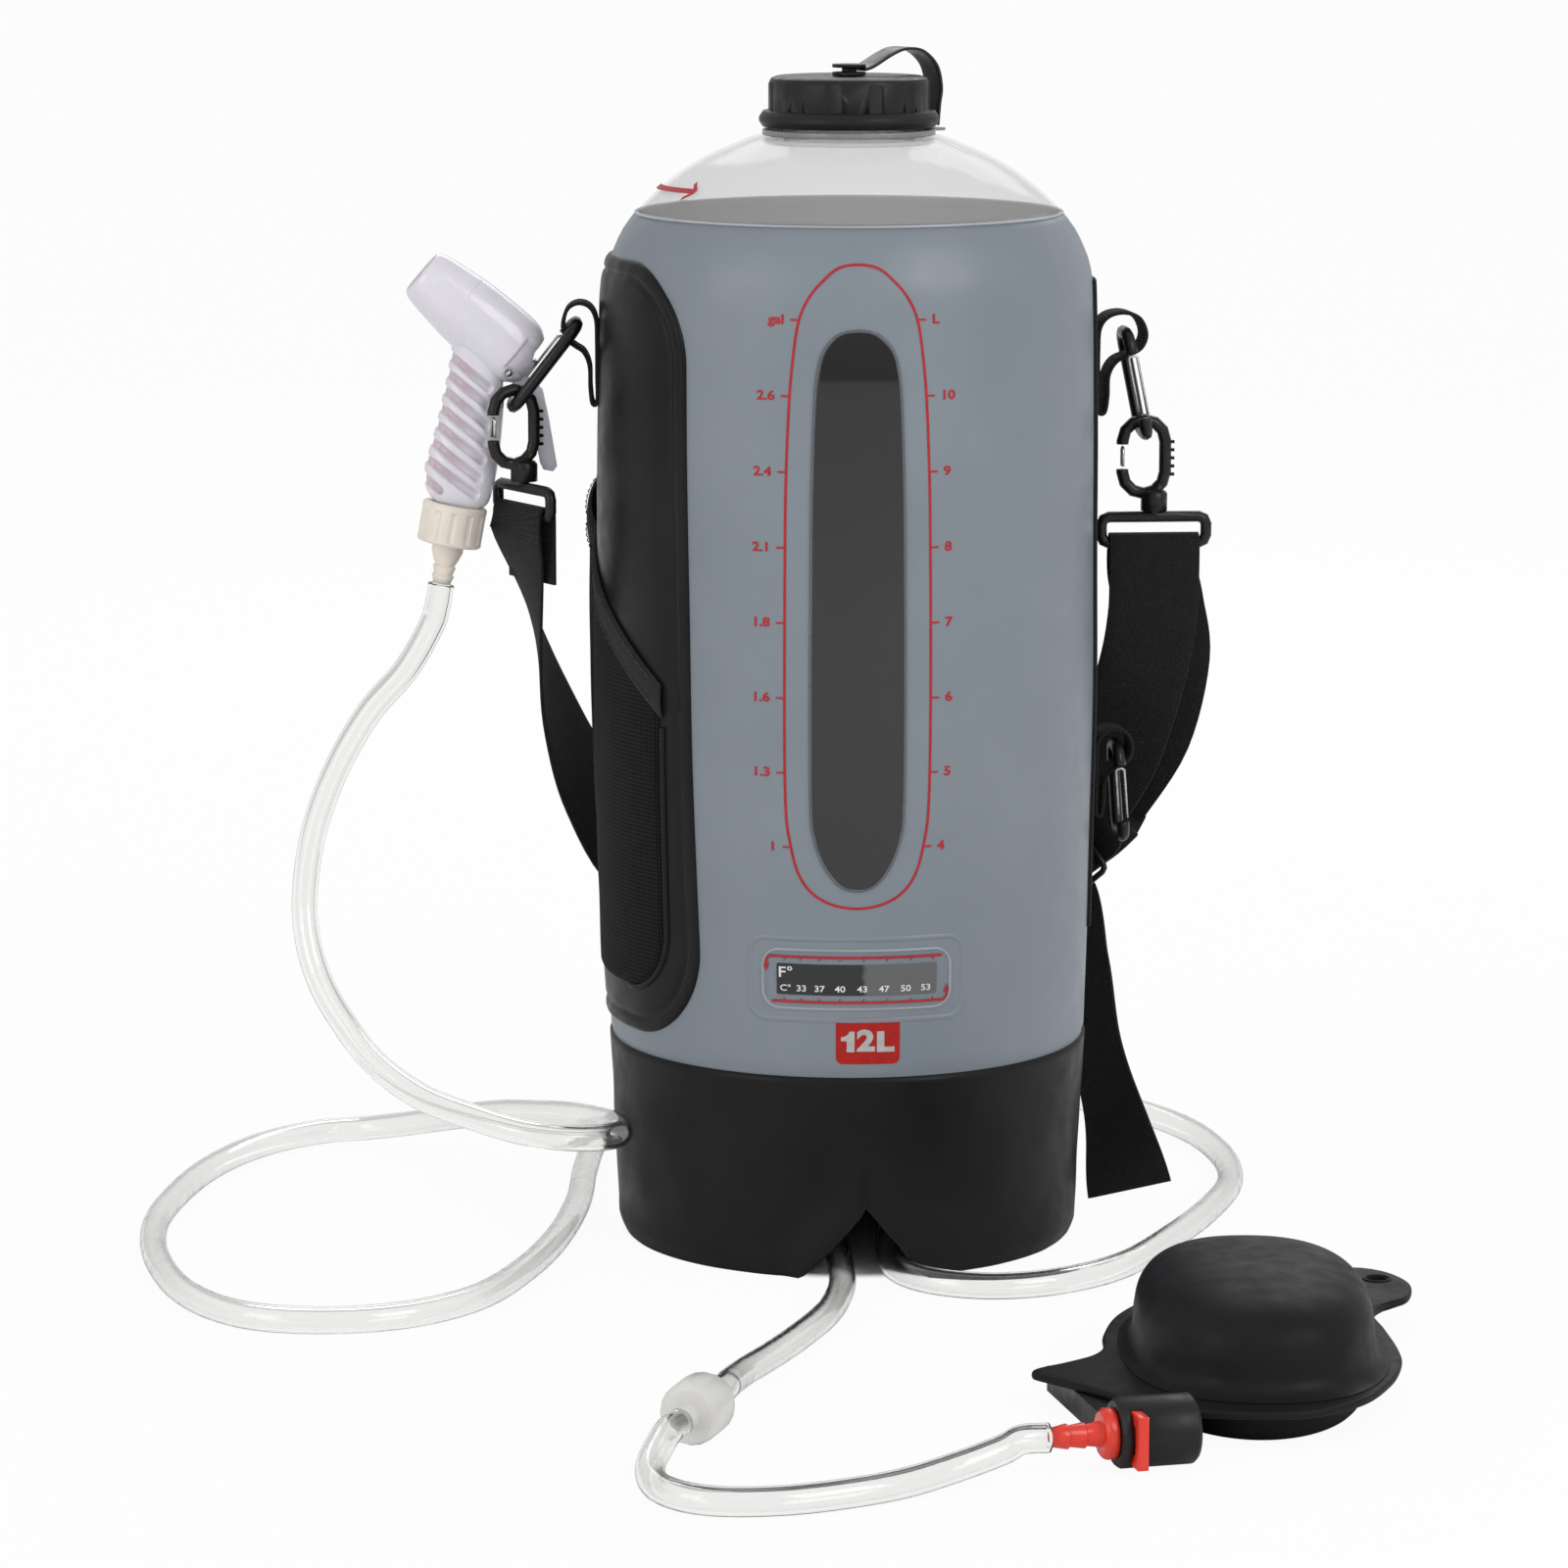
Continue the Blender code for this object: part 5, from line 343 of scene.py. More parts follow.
# Hoses
HOSE_RADIUS = 0.0055
HOSE_BORE = 0.0040
HOSE_STEPS = 20
HOSE_SPANS = 8
SHOWER_HOSE_ROUTE = [
    (-0.1695, 0.0106, 0.2741), (-0.1713, 0.0106, 0.2643), (-0.1740, 0.0115, 0.2560),
    (-0.1845, 0.0115, 0.2380), (-0.2000, 0.0100, 0.2205), (-0.2134, 0.0090, 0.1980),
    (-0.2232, 0.0075, 0.1730), (-0.2276, 0.0040, 0.1490), (-0.2274, -0.0020, 0.1290),
    (-0.2220, -0.0105, 0.1100), (-0.2120, -0.0220, 0.0940), (-0.1990, -0.0370, 0.0800),
    (-0.1810, -0.0540, 0.0700), (-0.1600, -0.0710, 0.0650), (-0.1390, -0.0850, 0.0615),
    (-0.1180, -0.0870, 0.0590), (-0.1010, -0.0720, 0.0565), (-0.1000, -0.0440, 0.0540),
    (-0.1080, -0.0160, 0.0505), (-0.1190, 0.0080, 0.0470), (-0.1300, 0.0350, 0.0415),
    (-0.1460, 0.0740, 0.0330), (-0.1640, 0.1120, 0.0225), (-0.1820, 0.1430, 0.0130),
    (-0.2030, 0.1600, 0.0070), (-0.2270, 0.1580, 0.0057), (-0.2520, 0.1340, 0.0057),
    (-0.2720, 0.0940, 0.0057), (-0.2850, 0.0460, 0.0057), (-0.2925, -0.0060, 0.0057),
    (-0.2900, -0.0620, 0.0057), (-0.2770, -0.1180, 0.0057), (-0.2540, -0.1540, 0.0057),
    (-0.2220, -0.1660, 0.0057), (-0.1880, -0.1600, 0.0057), (-0.1600, -0.1360, 0.0057),
    (-0.1400, -0.0940, 0.0057), (-0.1245, -0.0410, 0.0057), (-0.1135, 0.0220, 0.0057),
    (-0.1080, 0.0840, 0.0057), (-0.0990, 0.1410, 0.0057), (-0.0720, 0.1900, 0.0057),
    (-0.0240, 0.2200, 0.0057), (0.0400, 0.2310, 0.0057), (0.0980, 0.2190, 0.0057), (0.1370, 0.1890, 0.0057),
    (0.1630, 0.1430, 0.0057), (0.1730, 0.0900, 0.0057), (0.1700, 0.0380, 0.0057), (0.1540, -0.0100, 0.0057),
    (0.1320, -0.0560, 0.0057), (0.1060, -0.1010, 0.0057), (0.0780, -0.1250, 0.0057),
    (0.0500, -0.1320, 0.0057), (0.0260, -0.1230, 0.0057), (0.0125, -0.1040, 0.0060),
    (0.0105, -0.0840, 0.0082), (0.0128, -0.0630, 0.0128), (0.0140, -0.0563, 0.0150),
    (0.0140, -0.0463, 0.0150)]
PUMP_HOSE_NEAR_ROUTE = [
    (-0.0140, -0.0463, 0.0150), (-0.0140, -0.0563, 0.0150), (-0.0128, -0.0630, 0.0128),
    (-0.0105, -0.0840, 0.0082), (-0.0105, -0.1040, 0.0060), (-0.0130, -0.1320, 0.0057),
    (-0.0210, -0.1680, 0.0057), (-0.0350, -0.2030, 0.0057), (-0.0480, -0.2320, 0.0062),
    (-0.0600, -0.2620, 0.0085), (-0.0675, -0.2880, 0.0115), (-0.0697, -0.2971, 0.0123),
    (-0.0736, -0.3063, 0.0123)]
PUMP_HOSE_FAR_ROUTE = [
    (-0.0894, -0.3437, 0.0123), (-0.0933, -0.3529, 0.0123), (-0.0965, -0.3610, 0.0105),
    (-0.1015, -0.3800, 0.0070), (-0.1005, -0.3990, 0.0057), (-0.0915, -0.4140, 0.0057),
    (-0.0770, -0.4210, 0.0057), (-0.0560, -0.4210, 0.0057), (-0.0340, -0.4145, 0.0057),
    (-0.0120, -0.4040, 0.0060), (0.0080, -0.3920, 0.0080), (0.0250, -0.3830, 0.0112),
    (0.0331, -0.3773, 0.0133), (0.0430, -0.3756, 0.0133)]

# Spray gun, in its own frame: x to the trigger, z up the handle
GUN_PLACE = (-0.16249, 0.010584, 0.31172)
GUN_LEAN = math.radians(10.5)
BARREL_PLACE = (-0.174149, 0.010584, 0.40246)
BARREL_LEAN = math.radians(131.0)
HANDLE_PROFILE = [          # height, left edge, right edge, half depth
    (-0.0048, -0.0060, 0.0070, 0.0070), (-0.0040, -0.0090, 0.0105, 0.0085),
    (-0.0022, -0.0112, 0.0128, 0.0096), (0.0010, -0.0136, 0.0138, 0.0104),
    (0.0065, -0.0150, 0.0142, 0.0107), (0.0115, -0.0153, 0.0145, 0.0108), (0.0187, -0.0145, 0.0144, 0.0108),
    (0.0279, -0.0136, 0.0138, 0.0106), (0.0370, -0.0132, 0.0129, 0.0104), (0.0472, -0.0128, 0.0117, 0.0103),
    (0.0560, -0.0128, 0.0096, 0.0103), (0.0620, -0.0130, 0.0060, 0.0103)]
GRIP_SLOTS = [              # left end and right end of each slot's middle line, as (x, z)
    ((-0.0180, 0.0596), (0.0048, 0.0470)), ((-0.0180, 0.0522), (0.0057, 0.0398)),
    ((-0.0180, 0.0450), (0.0067, 0.0318)), ((-0.0180, 0.0374), (0.0072, 0.0243)),
    ((-0.0185, 0.0304), (0.0073, 0.0168)), ((-0.0190, 0.0228), (0.0071, 0.0092)),
    ((-0.0190, 0.0148), (0.0068, 0.0022)), ((-0.0190, 0.0074), (-0.0082, 0.0012))]
SLOT_HALF = 0.0017
SLOT_EDGE = 0.0005
GRIP_SLOT_DEPTH = 0.0024
TRIGGER_ROOM_HALF = 0.0044
TRIGGER_ROOM_LEFT = 0.0064
TRIGGER_ROOM_LOW = 0.0430
BARREL_PROFILE = [          # distance from the spray face, radius
    (-0.0028, 0.0097), (-0.0022, 0.0105), (-0.0010, 0.0113), (0.0010, 0.0120), (0.0045, 0.0127),
    (0.0100, 0.0135), (0.0180, 0.0146), (0.0260, 0.0152), (0.0390, 0.0155), (0.0450, 0.0154),
    (0.0485, 0.0149), (0.0510, 0.0139), (0.0530, 0.0125), (0.0555, 0.0104), (0.0580, 0.0078)]
BARREL_DEPTH_SHARE = 0.94
BARREL_WALL = 0.0018
SPRAY_BORE = 0.0096
CUP_FLOOR = 0.0462
CHEEK = (-0.0084, 0.0070)
CHEEK_START = 0.0478
CHEEK_DEPTH = 0.0020
PIVOT_SPOT = (0.0080, 0.0510)
PIVOT_HOLE = 0.0019
TOP_END = 0.0536
STEM_HOLE = 0.0023
TOP_END_LEFT = -0.0100
TOP_END_RIGHT = 0.0030
PIVOT_DEPTH_SHARE = 1.2
PARTING_PLACE = 0.0172
PARTING_BEND = 0.0012
PARTING_BEND_RUN = (0.0050, 0.0150)
PARTING_RUN = (0.0035, 0.0060)
PARTING_DEPTH = 0.00022
PARTING_WIDTH = 0.00030
BARREL_STATIONS = [         # start of each part of the wall, its number of rows
    (-0.0028, 14), (0.0040, 10), (0.0160, 20), (0.0194, 24), (0.0460, 34)]
BARREL_COLUMNS = 192
SPRAY_LIP = [               # distance from the spray face, radius past the bore
    (0.0100, 0.0), (0.0010, 0.0), (-0.0016, 0.0), (-0.0024, 0.0003)]
REAR_ROUND = (0.0002, 0.0006)
THREAD_RADIUS = 0.0089
THREAD_RISE = 0.0004
THREAD_PITCH = 0.0026
THREAD_LOW = -0.0125
THREAD_FLANK = (0.2, 0.8)
SPIGOT_BORE = 0.0040
SPIGOT_ROWS = 60
SPIGOT_COLUMNS = 96
SPRING_START = 0.0291
SPRING_END = 0.0432
SPRING_RADIUS = 0.0034
SPRING_WIRE = 0.0005
SPRING_TURNS = 5
SPRING_STEPS = 36
HANDLE_SQUARENESS = 0.82
SLOT_BACK_SHARE = 0.65
SLOT_BACK_RUN = (0.70, 0.98)
FOOT_SHARE = 0.01
HANDLE_ROWS = 150
HANDLE_COLUMNS = 128

# Foot pump
PUMP_PLACE = (0.1317, -0.2669, 0.0)
PUMP_TURN = math.radians(-4.0)
PUMP_SHEET_TOP = 0.0150
DOME_SHIFT = 0.0020
DOME_HALF_WIDTH = 0.0488
DOME_SQUARENESS = 0.84
DOME_HALF_LENGTH = 0.0730
PUMP_DOME_HEIGHT = 0.0355
PUMP_SKIN = 0.0026
PUMP_DOME_SHARES = [        # share of the dome's radius, share of its height
    (0.00, 1.000), (0.30, 0.990), (0.52, 0.955), (0.70, 0.880), (0.82, 0.770), (0.895, 0.610),
    (0.925, 0.420), (0.935, 0.260), (0.945, 0.150), (0.970, 0.070), (1.010, 0.025), (1.050, 0.000)]
PUMP_HALF_WIDTH = 0.0540
PUMP_HALF_LENGTH = 0.0870
PUMP_OUTLINE_SHARES = [     # shares of the half width and of the half length
    (1.07, 0.00), (1.03, 0.34), (0.99, 0.60), (1.11, 0.78), (1.29, 0.91), (1.34, 1.13), (1.20, 1.34),
    (0.96, 1.42), (0.76, 1.28), (0.60, 1.08), (0.28, 1.02), (-0.19, 1.01), (-0.59, 0.87), (-0.87, 0.58),
    (-1.00, 0.25), (-1.02, 0.04), (-1.11, -0.10), (-1.31, -0.22), (-1.50, -0.31), (-1.55, -0.37),
    (-1.48, -0.43), (-1.20, -0.60), (-0.88, -0.83), (-0.56, -0.96), (-0.15, -1.01), (0.30, -0.99),
    (0.69, -0.80), (0.93, -0.51), (1.05, -0.23)]
PUMP_SHEET_LOW = 0.0120
PUMP_EDGE = 0.0010
TRAY_HALF_WIDTH = 0.0440
TRAY_HALF_LENGTH = 0.0750
TRAY_WALL = 0.0030
TRAY_ROOT_SHARES = (0.5, 0.02)
PUMP_STEPS = 144
FOAM_SHARE = 0.85
RIM_SHARE = 0.7
RIM_PLACE_SHARE = 1.2
RIM_STEPS = 48
INTAKE_RADIUS = 0.0050
EYELET_SPOT = (1.11 * PUMP_HALF_WIDTH, 1.20 * PUMP_HALF_LENGTH)
EYELET_RADIUS = 0.0040
TRAY_SIDE = [               # share of the tray's reach, height
    (1.0, PUMP_SHEET_LOW - PUMP_EDGE), (0.99, 3 * PUMP_EDGE), (0.985, PUMP_EDGE), (0.965, 0.0), (0.5, 0.0)]

# Nodes of the CAD that stay
WELD = 0.00001
CREASE = math.radians(32.0)
SHELL_CREASE = math.radians(50.0)
FINE_EDGE = 0.0002
EDGE = 0.0003
SOFT_EDGE = 0.0004
HARDWARE = ["carabiner_left", "carabiner_right", "carabiner_lower", "snap_hook_left", "snap_hook_right",
            "strap_ring_left", "strap_ring_right", "strap_slider", "outlet_elbow", "outlet_nut",
            "inlet_elbow", "inlet_nut"]
WIRES = ["carabiner_left_gate", "carabiner_right_gate", "carabiner_lower_gate", "snap_gate_left",
         "snap_gate_right", "trigger_pin", "valve_stem"]

# Camera and light
CAMERA_PLACE = (-0.19305, -2.37706, 0.60058)
CAMERA_DIP = 0.17084
CAMERA_TURN = math.radians(-4.0)
CAMERA_LENS = 132.24
SENSOR = 36.0
CLIP_END = 100.0
LAMPS = [                   # name, place, aim, size, power
    ("key", (1.7, -2.1, 1.9), (0.0, 0.0, 0.20), (1.6, 1.6), 30.0),
    ("fill", (-2.2, -1.6, 1.2), (0.0, 0.0, 0.25), (1.4, 1.8), 16.0),
    ("back", (0.4, 2.2, 1.8), (0.0, 0.0, 0.30), (2.0, 1.0), 14.0)]
SKY_STRENGTH = 0.62
FLOOR_HALF = 30.0
FLOOR_COLOUR = (0.92, 0.92, 0.92)
FLOOR_ROUGHNESS = 0.9
FLOOR_GLOW_SHARE = 0.94
UNDER_BAG_START = 0.0860
UNDER_BAG_END = 0.0965

# A height above every piece
FAR = 1.2

# Materials. A tint is (size, detail, dark colour, light colour), a gloss (size, detail, low, high) and a
# bump (size, detail, rise, strength), each over noise of that size. A noise is (size, detail).
FINE_BUMP = (0.0006, 3.0, 0.00003, 0.5)
SURFACES = {                # colour, roughness, tint, gloss, bumps, other sockets
    "grey_coated": ((0.205, 0.236, 0.272), 0.42, (0.060, 4.0, (0.193, 0.224, 0.259), (0.216, 0.248, 0.285)),
                    (0.012, 5.0, 0.36, 0.48),
                    [(0.0009, 2.0, 0.00006, 0.5, (1.0, 1.0, 0.25)), (0.020, 3.0, 0.00030, 0.35)], {}),
    "inner_coat": ((0.105, 0.108, 0.115), 0.5, (0.050, 4.0, (0.095, 0.098, 0.105), (0.115, 0.118, 0.125)),
                   None, [], {}),
    "clear_hose": ((0.93, 0.93, 0.92), 0.05, None, (0.012, 4.0, 0.03, 0.09), [(0.006, 3.0, 0.00012, 0.35)],
                   {"IOR": 1.36, "Transmission Weight": 1.0}),
    "wire_steel": ((0.56, 0.56, 0.57), 0.28, (0.003, 4.0, (0.47, 0.47, 0.48), (0.66, 0.66, 0.67)),
                   (0.002, 4.0, 0.20, 0.38, (1.0, 1.0, 6.0)), [(0.0004, 3.0, 0.00002, 0.5)],
                   {"Metallic": 1.0})}
COATED = {                  # roughness, rise of the grain
    "collar_cloth": (0.40, 0.00004), "panel_cloth": (0.34, 0.00003), "piping": (0.40, 0.00003),
    "pump_rubber": (0.50, 0.00005), "sheet_rubber": (0.52, 0.00005)}
FILMS = {                   # colour, roughness, alpha
    "dome_film": ((0.86, 0.86, 0.86), 0.07, 0.20), "thermometer_film": ((0.20, 0.21, 0.22), 0.14, 0.05),
    "clear_moulding": ((0.80, 0.81, 0.80), 0.10, 0.35), "valve_moulding": ((0.86, 0.85, 0.82), 0.20, 0.75)}
FILM_IOR = 1.45
FILM_GLOSS_NOISE = (0.015, 4.0)
FILM_GLOSS_SHARES = (0.7, 1.5)
FILM_BUMP = (0.030, 3.0, 0.0012, 0.4)
COATED_COLOUR = (0.010, 0.010, 0.0105)
COATED_TINT = (0.050, 5.0, (0.0075, 0.0075, 0.0080), (0.0125, 0.0125, 0.0130))
COATED_GLOSS_NOISE = (0.010, 5.0)
COATED_GLOSS_SPREAD = (-0.06, 0.08)
COATED_GRAIN_NOISE = (0.0008, 3.0)
COATED_BUMP = (0.025, 3.0, 0.0005, 0.35)
MOULDED = {                 # colour, roughness, other sockets
    # The seam's bead is pale grey as a painted highlight along the top seam.
    "pale_seam_highlight": ((0.42, 0.44, 0.46), 0.18, {}), "window_rim": ((0.10, 0.115, 0.13), 0.30, {}),
    # The thermometer cover's edge is pale grey as a painted highlight along its rim.
    "cover_edge_highlight": ((0.33, 0.36, 0.39), 0.20, {}), "thread": ((0.035, 0.035, 0.037), 0.7, {}),
    "neck_ring_plastic": ((0.24, 0.25, 0.26), 0.25, {}), "nut_plastic": ((0.80, 0.725, 0.645), 0.38, {}),
    "cap_plastic": ((0.0125, 0.0125, 0.0125), 0.42, {"Specular IOR Level": 0.25}),
    "hook_plastic": ((0.008, 0.008, 0.0085), 0.30, {"Specular IOR Level": 0.35}),
    "housing_plastic": ((0.010, 0.010, 0.010), 0.40, {"Specular IOR Level": 0.3}),
    "tether_rubber": ((0.020, 0.020, 0.020), 0.36, {"Specular IOR Level": 0.3}),
    "red_moulding": ((0.78, 0.035, 0.016), 0.30, {"Coat Weight": 0.2, "Coat Roughness": 0.1}),
    "trigger_plastic": ((0.70, 0.655, 0.745), 0.22, {"Coat Weight": 0.3, "Coat Roughness": 0.06,
                                                     "Subsurface Weight": 0.08, "Subsurface Scale": 0.004})}
MOULDED_TINT_NOISE = (0.020, 4.0)
MOULDED_TINT_SHARES = (0.93, 1.06)
MOULDED_GLOSS_NOISE = (0.006, 5.0)
MOULDED_GLOSS_SHARES = (0.8, 1.25)
MOULDED_GRAIN_NOISE = (0.0007, 2.0)
MOULDED_GRAIN = 0.00002
MOULDED_BUMP = (0.012, 2.0, 0.00015, 0.25)
CAP_GRAIN = 0.00004
NUT_SPOTS = 0.02
INKS = {                    # colour, roughness
    "red_ink": ((0.42, 0.022, 0.030), 0.45), "badge_ink": ((0.40, 0.012, 0.008), 0.55),
    "badge_grey": ((0.44, 0.44, 0.43), 0.45), "white_ink": ((0.80, 0.80, 0.80), 0.45)}
INK_TINT_NOISE = (0.004, 5.0)
INK_TINT_SHARES = (0.88, 1.1)
WEBBINGS = {"webbing": 0.010, "binding_tape": 0.016, "band_webbing": 0.012}
RIB_PITCH = 0.0013
THREAD_PITCH_ACROSS = 0.0009
FUZZ_SIZE = 0.0016
FUZZ_RISE = 0.0002
WEAVE_RISE = 0.00045
MESH_COLOUR = (0.008, 0.008, 0.009)
MESH_DARK = (0.0035, 0.0035, 0.004)
MESH_LIGHT = (0.0125, 0.0125, 0.0135)
MESH_RISE = 0.0004
MESH_BUMP = (0.018, 3.0, 0.0008, 0.5)
MESH_PITCH = 0.0017
MESH_PITCH_ACROSS = 0.0015
FOAM_COLOUR = (0.09, 0.09, 0.09)
FOAM_DARK = (0.03, 0.03, 0.03)
FOAM_LIGHT = (0.13, 0.13, 0.13)
FOAM_CELL = 0.0016
FOAM_RISE = 0.0008
WINDOW_COLOUR = (0.035, 0.036, 0.038)
WINDOW_GLOSS = (0.010, 4.0, 0.12, 0.24)
WINDOW_BUMPS = [(0.0022, 2.0, 0.00004, 0.35, (1.0, 1.0, 0.02)), (0.030, 2.0, 0.0006, 0.3)]
WINDOW_STOPS = [            # 1 if counted from the water line or 0 from the low end, share of height, level
    (0, 0.0, 0.033), (0, 0.45, 0.035), (1, -0.03, 0.031), (1, -0.004, 0.027), (1, 0.004, 0.0085),
    (0, 1.0, 0.0120)]
STRIP_NOISE_SHARE = 0.05
STRIP_TURN_SHARES = (0.555, 0.585)
STRIP_BUMP = (0.003, 3.0, 0.00005, 0.4)
PINK_START = -0.0050
PINK_END = 0.0010
GUN_COLOUR = (0.70, 0.66, 0.74)
GUN_TINT_NOISE = (0.020, 4.0)
GUN_GLOSS = (0.006, 5.0, 0.20, 0.30)
GUN_BUMP = (0.012, 2.0, 0.00012, 0.25)
GUN_SUBSURFACE = 0.004
GUN_TINT = [(0.3, (0.705, 0.680, 0.745)), (0.7, (0.755, 0.730, 0.790))]
# Colour inside the grip's slots, painted shade in the recesses: darker and pinker, lighter towards the
# trigger's side.
SLOT_PAINTED_SHADE = [(0.0, (0.585, 0.480, 0.520)), (1.0, (0.64, 0.61, 0.68))]

UP = Vector((0.0, 0.0, 1.0))
ACROSS = Vector((1.0, 0.0, 0.0))


# Places

def bag_axis():
    low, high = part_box("cap")
    return Vector(((low[0] + high[0]) / 2, (low[1] + high[1]) / 2, 0.0))


AXIS = bag_axis()


def at(place):
    return AXIS + Vector(place)


def outward(azimuth):
    return Vector((math.sin(azimuth), -math.cos(azimuth), 0.0))


def curve_point(before, start, end, after, share):
    """A point on the smooth curve that runs from start to end."""
    return 0.5 * (2 * start + (end - before) * share
                  + (2 * before - 5 * start + 4 * end - after) * share ** 2
                  + (3 * start - before - 3 * end + after) * share ** 3)


def smooth_path(route, per_span, ring=False):
    route = [Vector(point) for point in route]
    count = len(route)
    path = []
    for i in range(count if ring else count - 1):
        if ring:
            before, start, end, after = (route[(i + k) % count] for k in (-1, 0, 1, 2))
        else:
            start, end = route[i], route[i + 1]
            before = route[i - 1] if i > 0 else 2 * start - end
            after = route[i + 2] if i + 2 < count else 2 * end - start
        for k in range(per_span):
            path.append(curve_point(before, start, end, after, k / per_span))
    if not ring:
        path.append(route[-1])
    return path


def smooth_profile(profile, per_span):
    """More (height, radius) pairs on a smooth curve through the profile's own."""
    return [(point.x, point.y) for point in smooth_path([(z, r, 0.0) for z, r in profile], per_span)]


def read_profile(profile, height):
    """Radius at a height, with the heights of the profile rising."""
    if height <= profile[0][0]:
        return profile[0][1]
    for (low, start), (high, end) in zip(profile, profile[1:]):
        if height <= high:
            return start + (end - start) * (height - low) / (high - low)
    return profile[-1][1]


FINE_WALL = smooth_profile(WALL_PROFILE, PROFILE_SPANS)


def wave(place, size, seed=0.0):
    """Smooth noise from -1 to 1 that changes over the given size."""
    return noise.noise(Vector(place) / size + Vector((seed, 2 * seed, 3 * seed)))


def fade(value, start, end):
    """Goes smoothly from 0 at start to 1 at end."""
    share = max(0.0, min(1.0, (value - start) / (end - start)))
    return share * share * (3 - 2 * share)


def spaced(start, end, count):
    """Places from start towards end, without the end itself."""
    return [start + (end - start) * i / count for i in range(count)]


def eased(start, end, i, count):
    """Place i of count from start to end, closer together at both ends."""
    return start + (end - start) * 0.5 * (1 - math.cos(math.pi * i / count))


def turned(i, count):
    """Angle of step i when a full turn has count steps."""
    return 2 * math.pi * i / count


def squared(value, power):
    """A cosine or sine that gives a squarer oval than an ellipse."""
    return math.copysign(abs(value) ** power, value)


def bell(value, middle, width):
    return math.exp(-((value - middle) / width) ** 2)


def slack(azimuth, height):
    """How far the soft wall stands off its plain form: broad waves, and small puckers at its two seams."""
    broad = WAVE_RISE * wave(outward(azimuth) * BODY_RADIUS + UP * height, WAVE_SIZE)
    low = 1 - fade(height, COLLAR_HEIGHT, COLLAR_HEIGHT + PUCKERS_ABOVE_COLLAR)
    high = fade(height, SEAM_HEIGHT - PUCKERS_BELOW_SEAM, SEAM_HEIGHT - SEAM_FLAT)
    puckers = PUCKER_RISE * wave((azimuth * PUCKER_TURNS, height / PUCKER_SIZE, 0.0), 1.0, 3.0)
    return broad + puckers * max(low, high)


def skin(azimuth, height, lift):
    """A place on the wall's outer face, or lift above it."""
    reach = read_profile(FINE_WALL, height) + slack(azimuth, height) + lift
    return AXIS + outward(azimuth) * reach + UP * height


def across_to_azimuth(middle, across):
    return middle + across / BODY_RADIUS


# Meshes

def link(name, data, look=None):
    made = bpy.data.objects.new(name, data)
    bpy.context.scene.collection.objects.link(made)
    if look is not None:
        data.materials.append(look)
    return made


def grid(name, rows, look, ring=False, closed=False, lay=None):
    """A sheet through rows of points. ring joins each row's ends, closed the last row to the first."""
    data = bpy.data.meshes.new(name)
    width = len(rows[0])
    points = [point for row in rows for point in row]
    faces = []
    for j in range(len(rows) if closed else len(rows) - 1):
        k = (j + 1) % len(rows)
        for i in range(width if ring else width - 1):
            n = (i + 1) % width
            faces.append((j * width + i, j * width + n, k * width + n, k * width + i))
    data.from_pydata(points, [], faces)
    data.shade_smooth()
    if lay is not None:
        layer = data.attributes.new("lay", "FLOAT_VECTOR", "POINT")
        for item, value in zip(layer.data, [value for row in lay for value in row]):
            item.vector = value
    made = link(name, data, look)
    face_outward(made)
    return made


def face_outward(obj):
    work = bmesh.new()
    work.from_mesh(obj.data)
    bmesh.ops.recalc_face_normals(work, faces=work.faces)
    work.to_mesh(obj.data)
    work.free()


def thicken(obj, thickness, offset=-1.0):
    shell = obj.modifiers.new("thickness", "SOLIDIFY")
    shell.thickness = thickness
    shell.offset = offset
    return shell


def lathe(name, profile, look, shift=None):
    """Turns (height, radius) pairs about the bag's axis. shift(azimuth, height) moves a point outward."""
    rows = []
    for height, radius in profile:
        azimuths = [turned(i, TURN_STEPS) for i in range(TURN_STEPS)]
        reaches = [radius + (shift(azimuth, height) if shift else 0.0) for azimuth in azimuths]
        rows.append([AXIS + outward(azimuth) * reach + UP * height
                     for azimuth, reach in zip(azimuths, reaches)])
    return grid(name, rows, look, ring=True)


def crisp(obj, angle):
    obj.data.shade_smooth()
    obj.data.set_sharp_from_angle(angle=angle)
    return obj


def evaluated_mesh(obj):
    bpy.context.view_layer.update()
    return bpy.data.meshes.new_from_object(obj.evaluated_get(bpy.context.evaluated_depsgraph_get()))


def edge_distance(across, height, half, low, high, corner):
    """Distance of a place inside a rectangle with round corners from its outline."""
    middle = (low + high) / 2
    qx = abs(across) - (half - corner)
    qz = abs(height - middle) - ((high - low) / 2 - corner)
    outside = math.hypot(max(qx, 0.0), max(qz, 0.0))
    return corner - outside - min(max(qx, qz), 0.0)


def patch(name, azimuth, half, low, high, corner, lift, look, columns=60, rows=60, top=None, lean=0.0):
    """A sheet on the wall, in a rectangle with round corners. lift(distance from its edge, across, height)."""
    lines, lay = [], []
    for i in range(columns + 1):
        across = eased(-half, half, i, columns)
        inset = corner - math.sqrt(max(0.0, corner ** 2 - max(0.0, abs(across) - (half - corner)) ** 2))
        start = low + inset
        end = top(across) if top else high - inset
        line, marks = [], []
        for j in range(rows + 1):
            height = eased(start, end, j, rows)
            distance = max(0.0, edge_distance(across, height, half, low, FAR if top else high, corner))
            shift = lean * (low + high - 2 * height) / (high - low)
            rise = lift(distance, across, height)
            line.append(skin(across_to_azimuth(azimuth, across + shift), height, rise))
            marks.append((height, across, 0.0))
        lines.append(line)
        lay.append(marks)
    return grid(name, lines, look, lay=lay)


def rounded_step(distance, rise, run):
    """Height of a sheet whose edge is rounded over run."""
    share = min(1.0, distance / run)
    return rise * math.sqrt(max(0.0, 1 - (1 - share) ** 2))


